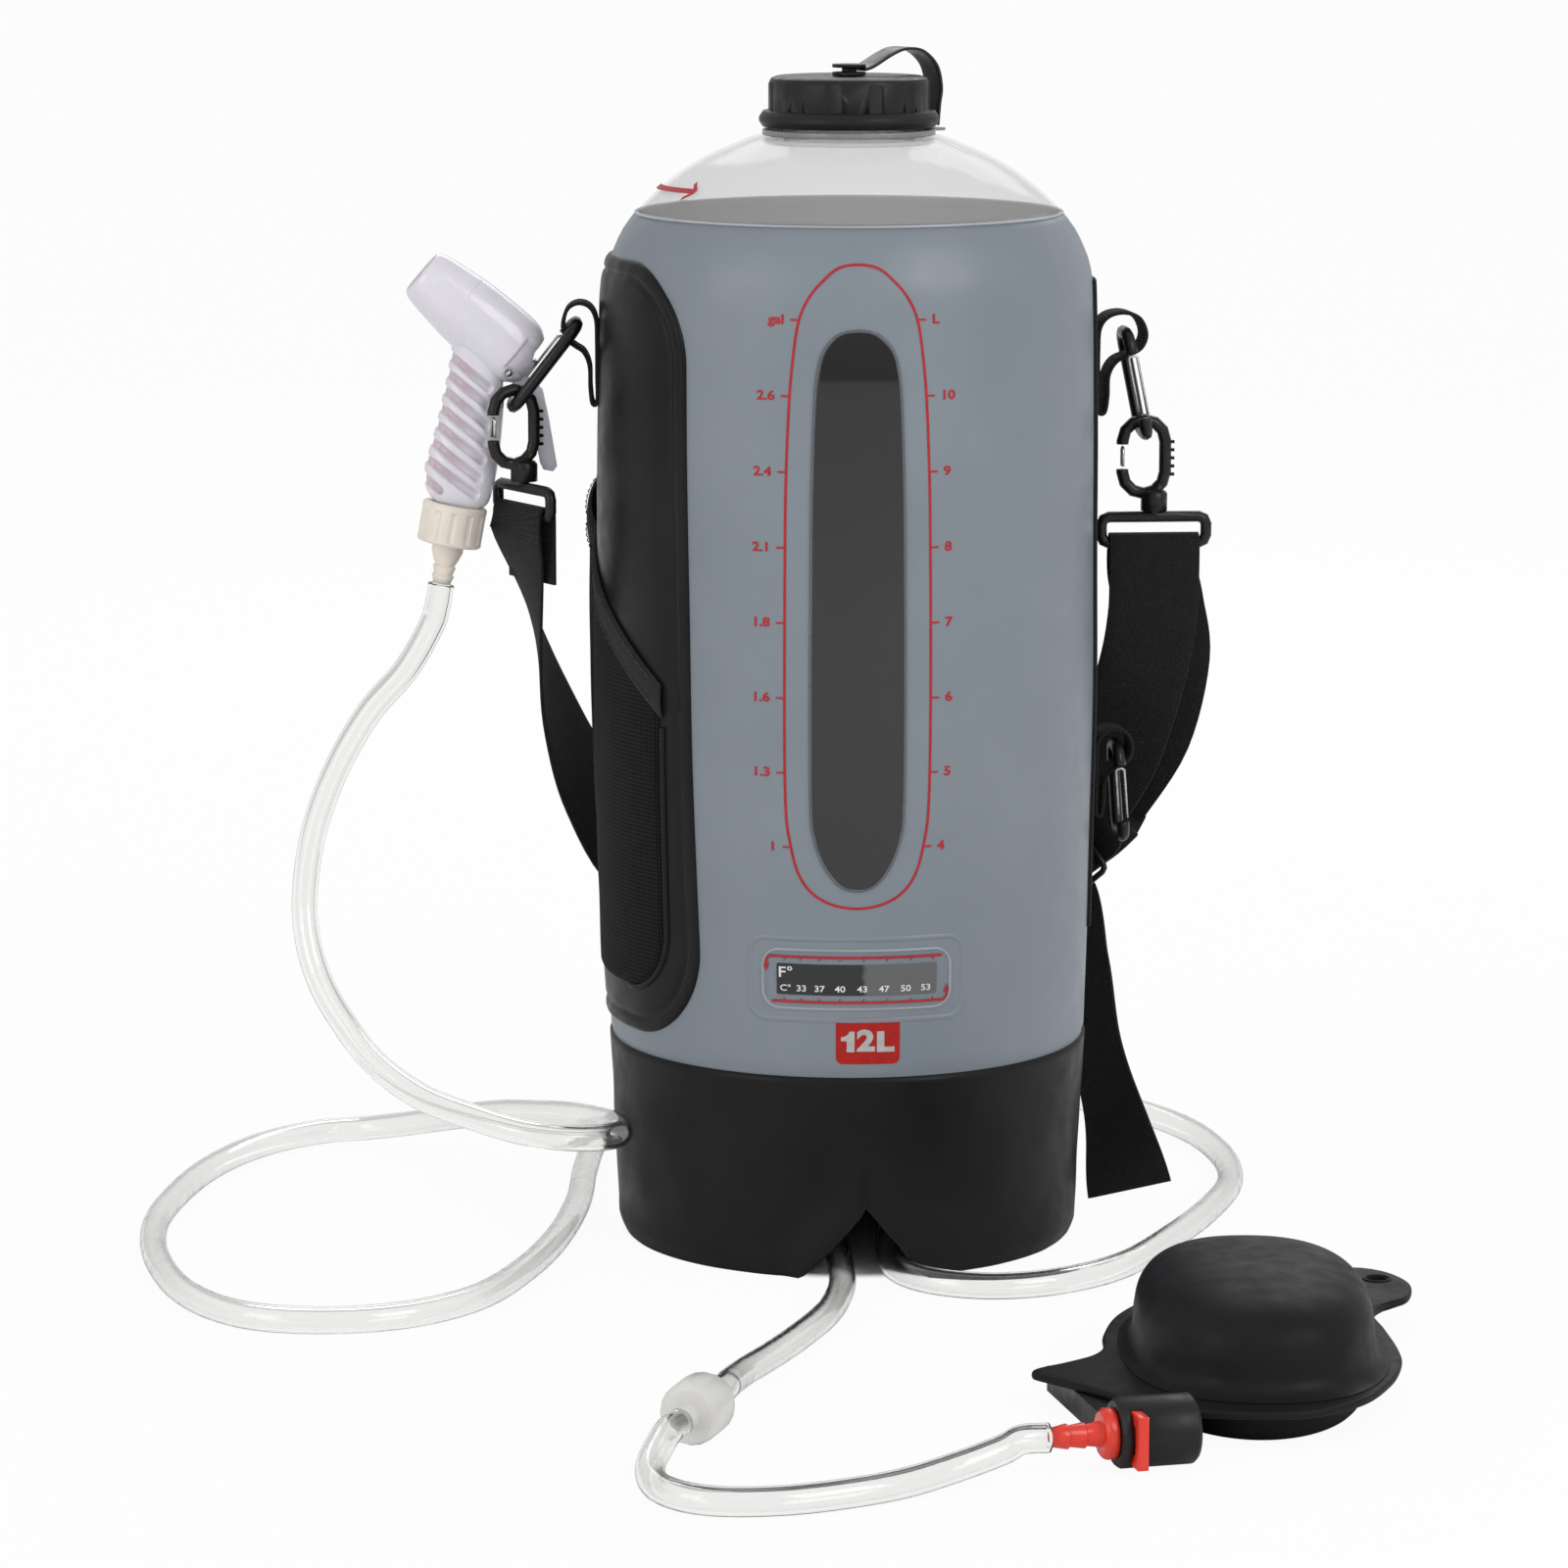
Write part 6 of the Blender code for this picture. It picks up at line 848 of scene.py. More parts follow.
def swept(name, centres, across, width, thickness, look, ring=False, crown=0.0, corner_share=0.45):
    """A flat band with rounded edges along centres. across gives its width's direction at each of them."""
    count = len(centres)
    half, deep = width / 2, thickness / 2
    corner = deep * corner_share
    section = []
    for sx, sz, first in ((1, 1, 0), (-1, 1, 1), (-1, -1, 2), (1, -1, 3)):
        for k in range(3):
            angle = math.pi / 2 * (first + k / 2)
            section.append((sx * (half - corner) + corner * math.cos(angle),
                            sz * (deep - corner) + corner * math.sin(angle)))
    top = [(half - corner) * (1 - 2 * k / 8) for k in range(1, 8)]
    section = (section[:3] + [(x, deep) for x in top] + section[3:9] + [(-x, -deep) for x in top]
               + section[9:])
    lines, lay = [], []
    run = 0.0
    for i, (centre, side) in enumerate(zip(centres, across)):
        before = centres[(i - 1) % count] if ring or i > 0 else centre
        after = centres[(i + 1) % count] if ring or i < count - 1 else centre
        along = (after - before).normalized()
        side = (side - along * side.dot(along)).normalized()
        face = side.cross(along).normalized()
        if i > 0:
            run += (centre - centres[i - 1]).length
        bow = [crown * (1 - (x / half) ** 2) for x, z in section]
        lines.append([centre + side * x + face * (z + rise) for (x, z), rise in zip(section, bow)])
        lay.append([(run, x, z) for x, z in section])
    made = grid(name, lines, look, ring=True, closed=ring, lay=lay)
    if not ring:
        fill_ends(made)
    return made


def fill_ends(obj):
    work = bmesh.new()
    work.from_mesh(obj.data)
    bmesh.ops.holes_fill(work, edges=[edge for edge in work.edges if edge.is_boundary], sides=0)
    work.to_mesh(obj.data)
    work.free()
    face_outward(obj)


def tube(name, points, radius, look, steps=12, ring=False):
    """A round bar along points."""
    lines = []
    count = len(points)
    normal = None
    for i, point in enumerate(points):
        before = points[(i - 1) % count] if ring or i > 0 else point
        after = points[(i + 1) % count] if ring or i < count - 1 else point
        along = (after - before).normalized()
        if normal is None:
            normal = along.orthogonal().normalized()
        normal = (normal - along * normal.dot(along)).normalized()
        side = along.cross(normal)
        size = radius[i] if hasattr(radius, "__len__") else radius
        lines.append([point + (normal * math.cos(2 * math.pi * k / steps)
                               + side * math.sin(2 * math.pi * k / steps)) * size for k in range(steps)])
    return grid(name, lines, look, ring=True, closed=ring)


def joined(name, pieces):
    """Makes one object of several, without their materials being lost."""
    work = bmesh.new()
    looks = []
    for piece in pieces:
        data = piece.data
        start = len(work.faces)
        work.from_mesh(data)
        work.faces.ensure_lookup_table()
        index = len(looks)
        looks.append(data.materials[0])
        for face in work.faces[start:]:
            face.material_index = index
    merged = []
    for look in looks:
        if look not in merged:
            merged.append(look)
    for face in work.faces:
        face.material_index = merged.index(looks[face.material_index])
    data = bpy.data.meshes.new(name)
    work.to_mesh(data)
    work.free()
    for look in merged:
        data.materials.append(look)
    for piece in pieces:
        bpy.data.objects.remove(piece, do_unlink=True)
    return link(name, data)


def ride(obj, body, slot, *nodes):
    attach(obj, body)
    if nodes:
        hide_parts(*nodes)
    return obj


# Materials

class Look:
    """A procedural material, put together step by step."""

    def __init__(self, name, colour, roughness, **sockets):
        self.made = bpy.data.materials.new(name)
        self.made.use_nodes = True
        self.tree = self.made.node_tree
        self.shader = self.tree.nodes["Principled BSDF"]
        self.shader.inputs["Base Color"].default_value = (*colour, 1.0)
        self.shader.inputs["Roughness"].default_value = roughness
        for key, value in sockets.items():
            self.shader.inputs[key.replace("_", " ")].default_value = value
        self.places = self.node("ShaderNodeTexCoord").outputs["Object"]
        self.normal = None

    def node(self, kind, **settings):
        made = self.tree.nodes.new(kind)
        for key, value in settings.items():
            setattr(made, key, value)
        return made

    def join(self, start, end):
        self.tree.links.new(start, end)

    def lay(self):
        """Places along and across a band, instead of in space."""
        return self.node("ShaderNodeAttribute", attribute_name="lay").outputs["Vector"]

    def split(self, places, axis):
        made = self.node("ShaderNodeSeparateXYZ")
        self.join(places, made.inputs["Vector"])
        return made.outputs[axis]

    def noise(self, size, detail=3.0, stretch=(1.0, 1.0, 1.0)):
        mapping = self.node("ShaderNodeMapping")
        mapping.inputs["Scale"].default_value = stretch
        self.join(self.places, mapping.inputs["Vector"])
        made = self.node("ShaderNodeTexNoise")
        made.inputs["Scale"].default_value = 1.0 / size
        made.inputs["Detail"].default_value = detail
        self.join(mapping.outputs["Vector"], made.inputs["Vector"])
        return made.outputs["Fac"]

    def ribs(self, pitch, direction, wobble=0.0):
        made = self.node("ShaderNodeTexWave", bands_direction=direction, wave_profile="SIN")
        made.inputs["Scale"].default_value = math.pi / (10 * pitch)
        made.inputs["Distortion"].default_value = wobble
        self.join(self.places, made.inputs["Vector"])
        return made.outputs["Fac"]

    def cells(self, size):
        made = self.node("ShaderNodeTexVoronoi")
        made.inputs["Scale"].default_value = 1.0 / size
        self.join(self.places, made.inputs["Vector"])
        return made.outputs["Distance"]

    def reckon(self, operation, *values):
        """Arithmetic on sockets and numbers."""
        made = self.node("ShaderNodeMath", operation=operation)
        for socket, value in zip(made.inputs, values):
            if isinstance(value, bpy.types.NodeSocket):
                self.join(value, socket)
            else:
                socket.default_value = value
        return made.outputs[0]

    def span(self, value, low, high, start=0.0, end=1.0, **settings):
        """Runs from start to end where the value goes from low to high."""
        made = self.node("ShaderNodeMapRange", **settings)
        for key, size in (("From Min", low), ("From Max", high), ("To Min", start), ("To Max", end)):
            made.inputs[key].default_value = size
        self.join(value, made.inputs["Value"])
        return made.outputs["Result"]

    def ramp(self, factor, stops):
        """Colour that runs through (share, colour) stops."""
        made = self.node("ShaderNodeValToRGB")
        elements = made.color_ramp.elements
        while len(elements) < len(stops):
            elements.new(0.5)
        for element, (place, colour) in zip(elements, stops):
            element.position = place
            element.color = (*colour, 1.0)
        self.join(factor, made.inputs["Fac"])
        return made.outputs["Color"]

    def tint(self, factor, low_colour, high_colour, low=0.3, high=0.7):
        colours = self.ramp(factor, [(low, low_colour), (high, high_colour)])
        self.join(colours, self.shader.inputs["Base Color"])

    def gloss(self, factor, low_roughness, high_roughness):
        roughness = self.span(factor, 0.3, 0.7, low_roughness, high_roughness)
        self.join(roughness, self.shader.inputs["Roughness"])

    def bump(self, factor, rise, strength):
        made = self.node("ShaderNodeBump")
        made.inputs["Strength"].default_value = strength
        made.inputs["Distance"].default_value = rise
        self.join(factor, made.inputs["Height"])
        if self.normal is not None:
            self.join(self.normal, made.inputs["Normal"])
        self.normal = made.outputs["Normal"]
        self.join(self.normal, self.shader.inputs["Normal"])

    def grained(self, tint=None, gloss=None, bumps=()):
        """Adds a tint, a gloss and bumps, each over noise of its own size."""
        if tint:
            size, detail, dark, light = tint
            self.tint(self.noise(size, detail), dark, light)
        if gloss:
            size, detail, low, high = gloss[:4]
            self.gloss(self.noise(size, detail, *gloss[4:]), low, high)
        for size, detail, rise, strength, *stretch in bumps:
            self.bump(self.noise(size, detail, *stretch), rise, strength)
        return self.made


def scaled(colour, share):
    return tuple(min(1.0, value * share) for value in colour)


def surface(name):
    colour, roughness, tint, gloss, bumps, sockets = SURFACES[name]
    return Look(name, colour, roughness, **sockets).grained(tint, gloss, bumps)


def black_coated(name):
    """Black coated cloth with fine grain and slightly rubbed high spots."""
    roughness, rise = COATED[name]
    look = Look(name, COATED_COLOUR, roughness, Specular_IOR_Level=0.15)
    gloss = [roughness + more for more in COATED_GLOSS_SPREAD]
    return look.grained(COATED_TINT, (*COATED_GLOSS_NOISE, *gloss),
                        [(*COATED_GRAIN_NOISE, rise, 0.6), COATED_BUMP])


def clear_film(name):
    colour, roughness, alpha = FILMS[name]
    look = Look(name, colour, roughness, IOR=FILM_IOR, Alpha=alpha)
    gloss = [roughness * share for share in FILM_GLOSS_SHARES]
    return look.grained(None, (*FILM_GLOSS_NOISE, *gloss), [FILM_BUMP])


def webbing_look(name):
    """Ribbed woven webbing, read along and across the band."""
    level = (WEBBINGS[name],) * 3
    look = Look(name, level, 0.85, Sheen_Weight=0.05, Sheen_Roughness=0.5, Specular_IOR_Level=0.2)
    look.places = look.lay()
    weave = look.reckon("MULTIPLY", look.ribs(RIB_PITCH, "X", 0.4), look.ribs(THREAD_PITCH_ACROSS, "Y", 0.6))
    fuzz = look.noise(FUZZ_SIZE, 4.0)
    light = scaled(level[:2], 1.75) + scaled(level[:1], 1.85)
    look.tint(look.reckon("ADD", weave, fuzz), scaled(level, 0.55), light, 0.25, 1.2)
    look.bump(weave, WEAVE_RISE, 0.8)
    look.bump(fuzz, FUZZ_RISE, 0.5)
    return look.made


def mesh_look():
    """Black knitted mesh of the pocket, with small open cells."""
    look = Look("mesh_cloth", MESH_COLOUR, 0.92, Sheen_Weight=0.03, Specular_IOR_Level=0.15)
    look.places = look.lay()
    cells = look.reckon("MULTIPLY", look.ribs(MESH_PITCH, "X"), look.ribs(MESH_PITCH_ACROSS, "Y"))
    look.tint(cells, MESH_DARK, MESH_LIGHT, 0.1, 0.7)
    look.bump(cells, MESH_RISE, 0.8)
    return look.grained(bumps=[MESH_BUMP])


def moulded(name, grain=MOULDED_GRAIN, spots=0.0):
    """Moulded plastic with a fine skin and a little uneven gloss."""
    colour, roughness, sockets = MOULDED[name]
    look = Look(name, colour, roughness, **sockets)
    dark, light = MOULDED_TINT_SHARES
    tint = (*MOULDED_TINT_NOISE, scaled(colour, dark - spots), scaled(colour, light + spots))
    gloss = [roughness * share for share in MOULDED_GLOSS_SHARES]
    return look.grained(tint, (*MOULDED_GLOSS_NOISE, *gloss),
                        [(*MOULDED_GRAIN_NOISE, grain, 0.5), MOULDED_BUMP])


def foam_look():
    look = Look("foam_cells", FOAM_COLOUR, 0.95)
    look.tint(look.cells(FOAM_CELL), FOAM_DARK, FOAM_LIGHT, 0.1, 0.6)
    look.bump(look.cells(FOAM_CELL), FOAM_RISE, 0.9)
    return look.made


def ink(name):
    """Screen print with slightly uneven cover."""
    colour, roughness = INKS[name]
    look = Look(name, colour, roughness, Specular_IOR_Level=0.25)
    shades = [scaled(colour, share) for share in INK_TINT_SHARES]
    return look.grained((*INK_TINT_NOISE, *shades), None, [FINE_BUMP])


def window_look():
    """Clear film of the sight window over the dark inside, darker above the water line."""
    look = Look("sight_film", WINDOW_COLOUR, 0.16, Coat_Weight=0.12, Coat_Roughness=0.05,
                Specular_IOR_Level=0.30)
    low, high = WINDOW_EDGE[-1][0], WINDOW_EDGE[0][0]
    line = (WATER_LINE - low) / (high - low)
    stops = [(line * start + place, (level, level * 1.01, level * 1.06))
             for start, place, level in WINDOW_STOPS]
    share = look.span(look.split(look.places, "Z"), low, high)
    look.join(look.ramp(share, stops), look.shader.inputs["Base Color"])
    return look.grained(None, WINDOW_GLOSS, WINDOW_BUMPS)


# Camera, lamps and backdrop

def make_camera():
    data = bpy.data.cameras.new("camera")
    data.lens = CAMERA_LENS
    data.sensor_width = SENSOR
    data.clip_end = CLIP_END
    camera = link("camera", data)
    camera.location = at(CAMERA_PLACE)
    camera.rotation_euler = (math.pi / 2 - CAMERA_DIP, 0.0, CAMERA_TURN)
    bpy.context.scene.camera = camera


def softbox(name, place, target, size, power):
    data = bpy.data.lights.new(name, "AREA")
    data.shape = "RECTANGLE"
    data.size, data.size_y = size
    data.energy = power
    lamp = link(name, data)
    lamp.location = at(place)
    lamp.rotation_euler = (at(target) - lamp.location).to_track_quat("-Z", "Y").to_euler()


def make_lights():
    for lamp in LAMPS:
        softbox(*lamp)
    world = bpy.data.worlds.new("studio")
    world.use_nodes = True
    sky = world.node_tree.nodes["Background"]
    sky.inputs["Color"].default_value = (1.0, 1.0, 1.0, 1.0)
    sky.inputs["Strength"].default_value = SKY_STRENGTH
    bpy.context.scene.world = world


def make_floor():
    """Pale floor. It looks white to the camera, but not under the bag, and keeps the shadows."""
    corners = [(FLOOR_HALF * x, FLOOR_HALF * y, 0.0) for x, y in ((-1, -1), (1, -1), (1, 1), (-1, 1))]
    data = bpy.data.meshes.new("floor")
    data.from_pydata(corners, [], [(0, 1, 2, 3)])
    look = Look("pale_floor", FLOOR_COLOUR, FLOOR_ROUGHNESS, Specular_IOR_Level=0.0)
    rays = look.node("ShaderNodeLightPath").outputs
    seen = look.reckon("MAXIMUM", rays["Is Camera Ray"], rays["Is Transmission Ray"])
    reach = look.node("ShaderNodeVectorMath", operation="DISTANCE")
    reach.inputs[1].default_value = AXIS
    look.join(look.places, reach.inputs[0])
    outside = look.span(reach.outputs["Value"], UNDER_BAG_START, UNDER_BAG_END,
                        interpolation_type="SMOOTHSTEP")
    glow = look.node("ShaderNodeEmission")
    glow.inputs["Strength"].default_value = 1.0
    blend = look.node("ShaderNodeMixShader")
    white = look.reckon("MULTIPLY", look.reckon("MULTIPLY", seen, FLOOR_GLOW_SHARE), outside)
    look.join(white, blend.inputs["Fac"])
    look.join(look.shader.outputs["BSDF"], blend.inputs[1])
    look.join(glow.outputs["Emission"], blend.inputs[2])
    look.join(blend.outputs["Shader"], look.tree.nodes["Material Output"].inputs["Surface"])
    link("floor", data, look.made)


# Hoses


def make_hose(name, route, look):
    """A clear tube along a route, with its bore."""
    points = smooth_path([at(point) for point in route], HOSE_SPANS)
    outer = tube(name + "_outer", points, HOSE_RADIUS, look, HOSE_STEPS)
    inner = tube(name + "_inner", points, HOSE_BORE, look, HOSE_STEPS)
    work = bmesh.new()
    work.from_mesh(inner.data)
    bmesh.ops.reverse_faces(work, faces=work.faces)
    work.from_mesh(outer.data)
    work.verts.ensure_lookup_table()
    count = len(points) * HOSE_STEPS
    for first in (0, count - HOSE_STEPS):
        for k in range(HOSE_STEPS):
            n = (k + 1) % HOSE_STEPS
            around_wall = (first + k, first + n, count + first + n, count + first + k)
            work.faces.new([work.verts[i] for i in around_wall])
    bmesh.ops.recalc_face_normals(work, faces=work.faces)
    data = bpy.data.meshes.new(name)
    work.to_mesh(data)
    work.free()
    for piece in (outer, inner):
        bpy.data.objects.remove(piece, do_unlink=True)
    data.shade_smooth()
    hose = link(name + "_tube", data, look)
    ride(hose, "bag", "clear_film", name)


def make_hoses():
    look = surface("clear_hose")
    make_hose("shower_hose", SHOWER_HOSE_ROUTE, look)
    make_hose("pump_hose_near", PUMP_HOSE_NEAR_ROUTE, look)
    make_hose("pump_hose_far", PUMP_HOSE_FAR_ROUTE, look)


# Bag shell

def make_wall():
    look = surface("grey_coated")
    profile = []
    for height in spaced(COLLAR_HEIGHT - WALL_OVERLAP, SEAM_HEIGHT, WALL_ROWS) + [SEAM_HEIGHT]:
        inward = WALL_TUCK * (1 - fade(height, COLLAR_HEIGHT, COLLAR_HEIGHT + WALL_TUCK_HEIGHT))
        profile.append((height, read_profile(FINE_WALL, height) - inward))
    wall = lathe("wall_skin", profile, look, slack)
    wall.data.materials.append(surface("inner_coat"))
    thicken(wall, FILM).material_offset = 1
    ride(wall, "bag", "grey_fabric", "bag_wall")
    floor = lathe("floor_skin", smooth_profile(FLOOR_PROFILE, 5), look)
    thicken(floor, FILM, 1.0)
    ride(floor, "bag", "grey_fabric", "bag_floor")
    # A bead along the top seam, pale grey as a painted highlight.
    points = [skin(turned(i, BEAD_STEPS), SEAM_HEIGHT - BEAD_DROP, BEAD_LIFT) for i in range(BEAD_STEPS)]
    ride(tube("seam_highlight_bead", points, BEAD_RADIUS, moulded("pale_seam_highlight"), 8, ring=True), "bag", "grey_fabric")


def make_dome():
    def lift(azimuth, height):
        place = (azimuth * DOME_WAVE_TURNS, height / DOME_WAVE_SIZE, 0.0)
        return slack(azimuth, height) + DOME_WAVE_RISE * wave(place, 1.0, 5.0)

    dome = lathe("dome_skin", smooth_profile(DOME_PROFILE, 6), clear_film("dome_film"), lift)
    thicken(dome, FILM)
    ride(dome, "bag", "clear_film", "top_dome")


def collar_bottom(azimuth):
    """Lowest height of the collar's edge: zero, or up in the notch at the front."""
    side = abs(BODY_RADIUS * math.sin(azimuth))
    if math.cos(azimuth) < 0 or side > NOTCH_HALF_WIDTH:
        return 0.0
    return NOTCH_HEIGHT * (1 - side / NOTCH_HALF_WIDTH) ** NOTCH_BEND


def collar_flare(azimuth, rise):
    """How far the notch's left flap stands out, at a rise above the collar's edge."""
    if math.cos(azimuth) <= 0 or azimuth <= math.pi:
        return 0.0
    side = abs(BODY_RADIUS * math.sin(azimuth))
    return (FLARE * fade(NOTCH_HALF_WIDTH * FLARE_SHARE - side, 0.0, FLARE_RUN)
            * fade(FLARE_HEIGHT - rise, 0.0, FLARE_HEIGHT))


def make_collar():
    profile = smooth_profile(COLLAR_PROFILE, 4)
    lines = []
    for i in range(COLLAR_STEPS):
        azimuth = turned(i, COLLAR_STEPS)
        low = collar_bottom(azimuth)
        line = []
        for j in range(COLLAR_ROWS + 1):
            height = low + (COLLAR_HEIGHT - low) * (j / COLLAR_ROWS) ** COLLAR_ROW_BEND
            place = outward(azimuth) * BODY_RADIUS + UP * height
            sag = sum(rise * wave(place, size, seed) for rise, size, seed in COLLAR_SAGS)
            sag *= fade(COLLAR_HEIGHT - height, 0.0, COLLAR_SAG_FADE)
            rim = COLLAR_RIM * fade(height, COLLAR_HEIGHT - COLLAR_RIM_HEIGHT, COLLAR_HEIGHT)
            reach = read_profile(profile, height) + sag + collar_flare(azimuth, height - low) + rim
            line.append(AXIS + outward(azimuth) * reach + UP * height)
        lines.append(line)
    collar = grid("collar_skin", lines, black_coated("collar_cloth"), closed=True)
    thicken(collar, COLLAR_WALL)
    ride(collar, "bag", "black_fabric", "base_collar")


# Prints on the wall

def stroke(points, width, azimuth, lift=PRINT_LIFT, ring=False):
    """A printed line through (across, height) places."""
    count = len(points)
    rows = []
    for i, (x, z) in enumerate(points):
        before = points[(i - 1) % count] if ring or i > 0 else points[i]
        after = points[(i + 1) % count] if ring or i < count - 1 else points[i]
        along = Vector((after[0] - before[0], after[1] - before[1], 0.0)).normalized()
        side = Vector((-along.y, along.x, 0.0)) * (width / 2)
        rows.append([skin(across_to_azimuth(azimuth, x + s * side.x), z + s * side.y, lift)
                     for s in (-1, 1)])
    return grid("stroke", rows, None, closed=ring)


def edge_outline(edge, per_span=6):
    """Closed outline through (height, half width) pairs and their mirror images."""
    corners = [(half, height, 0.0) for height, half in edge]
    corners += [(-half, height, 0.0) for height, half in edge[-2:0:-1]]
    return [(point.x, point.y) for point in smooth_path(corners, per_span, ring=True)]


def rounded_outline(half, low, high, corner, steps=6):
    points = []
    top, bottom = high - corner, low + corner
    for sx, z, first in ((1, top, 0), (-1, top, 1), (-1, bottom, 2), (1, bottom, 3)):
        for i in range(steps + 1):
            angle = math.pi / 2 * (first + i / steps)
            points.append((sx * (half - corner) + corner * math.cos(angle), z + corner * math.sin(angle)))
    return points


def bent(flat, azimuth, across, height, stretch, lift):
    """Triangulates a flat shape and bends it onto the wall, its own origin at the given place."""
    work = bmesh.new()
    work.from_mesh(flat)
    bmesh.ops.triangulate(work, faces=work.faces)
    for vertex in work.verts:
        x, z = across + vertex.co.x * stretch[0], height + vertex.co.y * stretch[1]
        vertex.co = skin(across_to_azimuth(azimuth, x), z, lift)
    work.to_mesh(flat)
    work.free()
    return link("letters", flat)


def lettering(text, across, height, size, azimuth, align="CENTER", lift=PRINT_LIFT, weight=0.0):
    """Flat letters on the wall, their middle at the given place."""
    data = bpy.data.curves.new("letters", "FONT")
    data.body = text
    data.size = size
    data.align_x = align
    data.align_y = "CENTER"
    data.offset = weight
    data.resolution_u = LETTER_CURVE_STEPS
    letters = link("letters", data)
    flat = evaluated_mesh(letters)
    bpy.data.objects.remove(letters, do_unlink=True)
    return bent(flat, azimuth, across, height, (LETTER_STRETCH, 1.0), lift)


def glyph(shares, left, width, low, height, azimuth, lift):
    """A printed letter from an outline in shares of its width and height."""
    flat = bpy.data.meshes.new("glyph")
    flat.from_pydata([(x, z, 0.0) for x, z in shares], [], [tuple(range(len(shares)))])
    return bent(flat, azimuth, left, low, (width, height), lift)


def divided(points, step):
    """More places on the lines through points, no further apart than step."""
    dense = []
    for (ax, az), (bx, bz) in zip(points, points[1:]):
        count = max(1, math.ceil(math.hypot(bx - ax, bz - az) / step))
        dense += list(zip(spaced(ax, bx, count), spaced(az, bz, count)))
    return dense + points[-1:]


def filled(points, azimuth, lift, rows=12):
    """A printed area inside a convex outline."""
    xs = [x for x, z in points]
    low, high = min(xs), max(xs)
    lines = []
    for i in range(rows + 1):
        x = low + (high - low) * (0.5 - AREA_SHARE * math.cos(math.pi * i / rows))
        heights = []
        for (ax, az), (bx, bz) in zip(points, points[1:] + points[:1]):
            if (ax - x) * (bx - x) <= 0 and ax != bx:
                heights.append(az + (bz - az) * (x - ax) / (bx - ax))
        levels = spaced(min(heights), max(heights), AREA_STEPS) + [max(heights)]
        lines.append([skin(across_to_azimuth(azimuth, x), level, lift) for level in levels])
    return grid("area", lines, None)


def printed(name, pieces, look, slot="red_plastic"):
    for piece in pieces:
        piece.data.materials.clear()
        piece.data.materials.append(look)
    ride(joined(name, pieces), "bag", slot)


def make_scale(red):
    pieces = [stroke(edge_outline(OUTLINE_EDGE), PRINT_LINE, PRINT_AZIMUTH, ring=True)]
    edges = list(reversed(OUTLINE_EDGE))
    for i, (gallon, litre) in enumerate(zip(GALLONS, LITRES)):
        height = TEN_LITRES + LITRE * (1 - i)
        edge = read_profile(edges, height)
        for side, text, align in ((1, litre, "LEFT"), (-1, gallon, "RIGHT")):
            ends = [(side * (edge + place), height) for place in (0.0, TICK)]
            pieces.append(stroke(ends, TICK_LINE, PRINT_AZIMUTH))
            pieces.append(lettering(text, side * (edge + TICK + NUMBER_GAP), height, NUMBER_SIZE,
                                    PRINT_AZIMUTH, align, weight=NUMBER_WEIGHT))
    printed("scale_print", pieces, red)


def make_window():
    outline = edge_outline(WINDOW_EDGE)
    low, high = WINDOW_EDGE[-1][0], WINDOW_EDGE[0][0]
    edge = sorted((z, x) for x, z in outline if x >= 0.0)
    lines = []
    for j in range(WINDOW_ROWS + 1):
        height = eased(low, high, j, WINDOW_ROWS)
        half = max(WINDOW_LEAST_HALF, read_profile(edge, height))
        line = []
        for i in range(WINDOW_COLUMNS + 1):
            across = eased(-half, half, i, WINDOW_COLUMNS)
            distance = max(0.0, min(half - abs(across), height - low, high - height))
            rise = WINDOW_LIFT + rounded_step(distance, WINDOW_RISE, WINDOW_RUN)
            line.append(skin(across_to_azimuth(PRINT_AZIMUTH, across), height, rise))
        lines.append(line)
    ride(grid("window_film", lines, window_look()), "bag", "clear_film", "sight_window")
    points = [skin(across_to_azimuth(PRINT_AZIMUTH, x), z, WINDOW_RIM_LIFT) for x, z in outline]
    ride(tube("window_edge", points, WINDOW_RIM, moulded("window_rim"), 8, ring=True), "bag", "clear_film")


def arrow_line(side):
    """A red line beside the thermometer, bent at its end into an arrow. side is 1 for the upper one."""
    edge = STRIP_HALF_WIDTH + ARROW_OVERHANG
    line = STRIP_HALF_HEIGHT + STRIP_LINE_GAP
    points = [(-STRIP_HALF_WIDTH - ARROW_INSET, line)]
    for i in range(ARROW_BEND_STEPS + 1):
        angle = math.pi / 2 * i / ARROW_BEND_STEPS
        points.append((edge - ARROW_BEND + ARROW_BEND * math.sin(angle),
                       line - ARROW_BEND + ARROW_BEND * math.cos(angle)))
    points.append((edge, line - ARROW_BEND - ARROW_STEM))
    tip = line - ARROW_BEND - HEAD_DROP
    head = [(edge - HEAD_HALF, tip), (edge + HEAD_HALF, tip), (edge, tip - HEAD_LENGTH)]
    points, head = ([(-side * x, THERMO_MIDDLE + side * z) for x, z in places] for places in (points, head))
    return [stroke(divided(points, ARROW_STEP), ARROW_LINE, PRINT_AZIMUTH, LINE_LIFT),
            filled(head, PRINT_AZIMUTH, LINE_LIFT, 6)]


def strip_look():
    """Dark strip whose right part has turned grey."""
    look = Look("liquid_crystal_strip", STRIP_COLOUR, 0.30)
    look.places = look.lay()
    share = look.span(look.split(look.places, "Y"), -STRIP_HALF_WIDTH, STRIP_HALF_WIDTH)
    edge = look.reckon("MULTIPLY_ADD", look.noise(STRIP_BLUR, 3.0), STRIP_NOISE_SHARE, share)
    look.tint(edge, STRIP_DARK, STRIP_GREY, *STRIP_TURN_SHARES)
    return look.grained(bumps=[STRIP_BUMP])


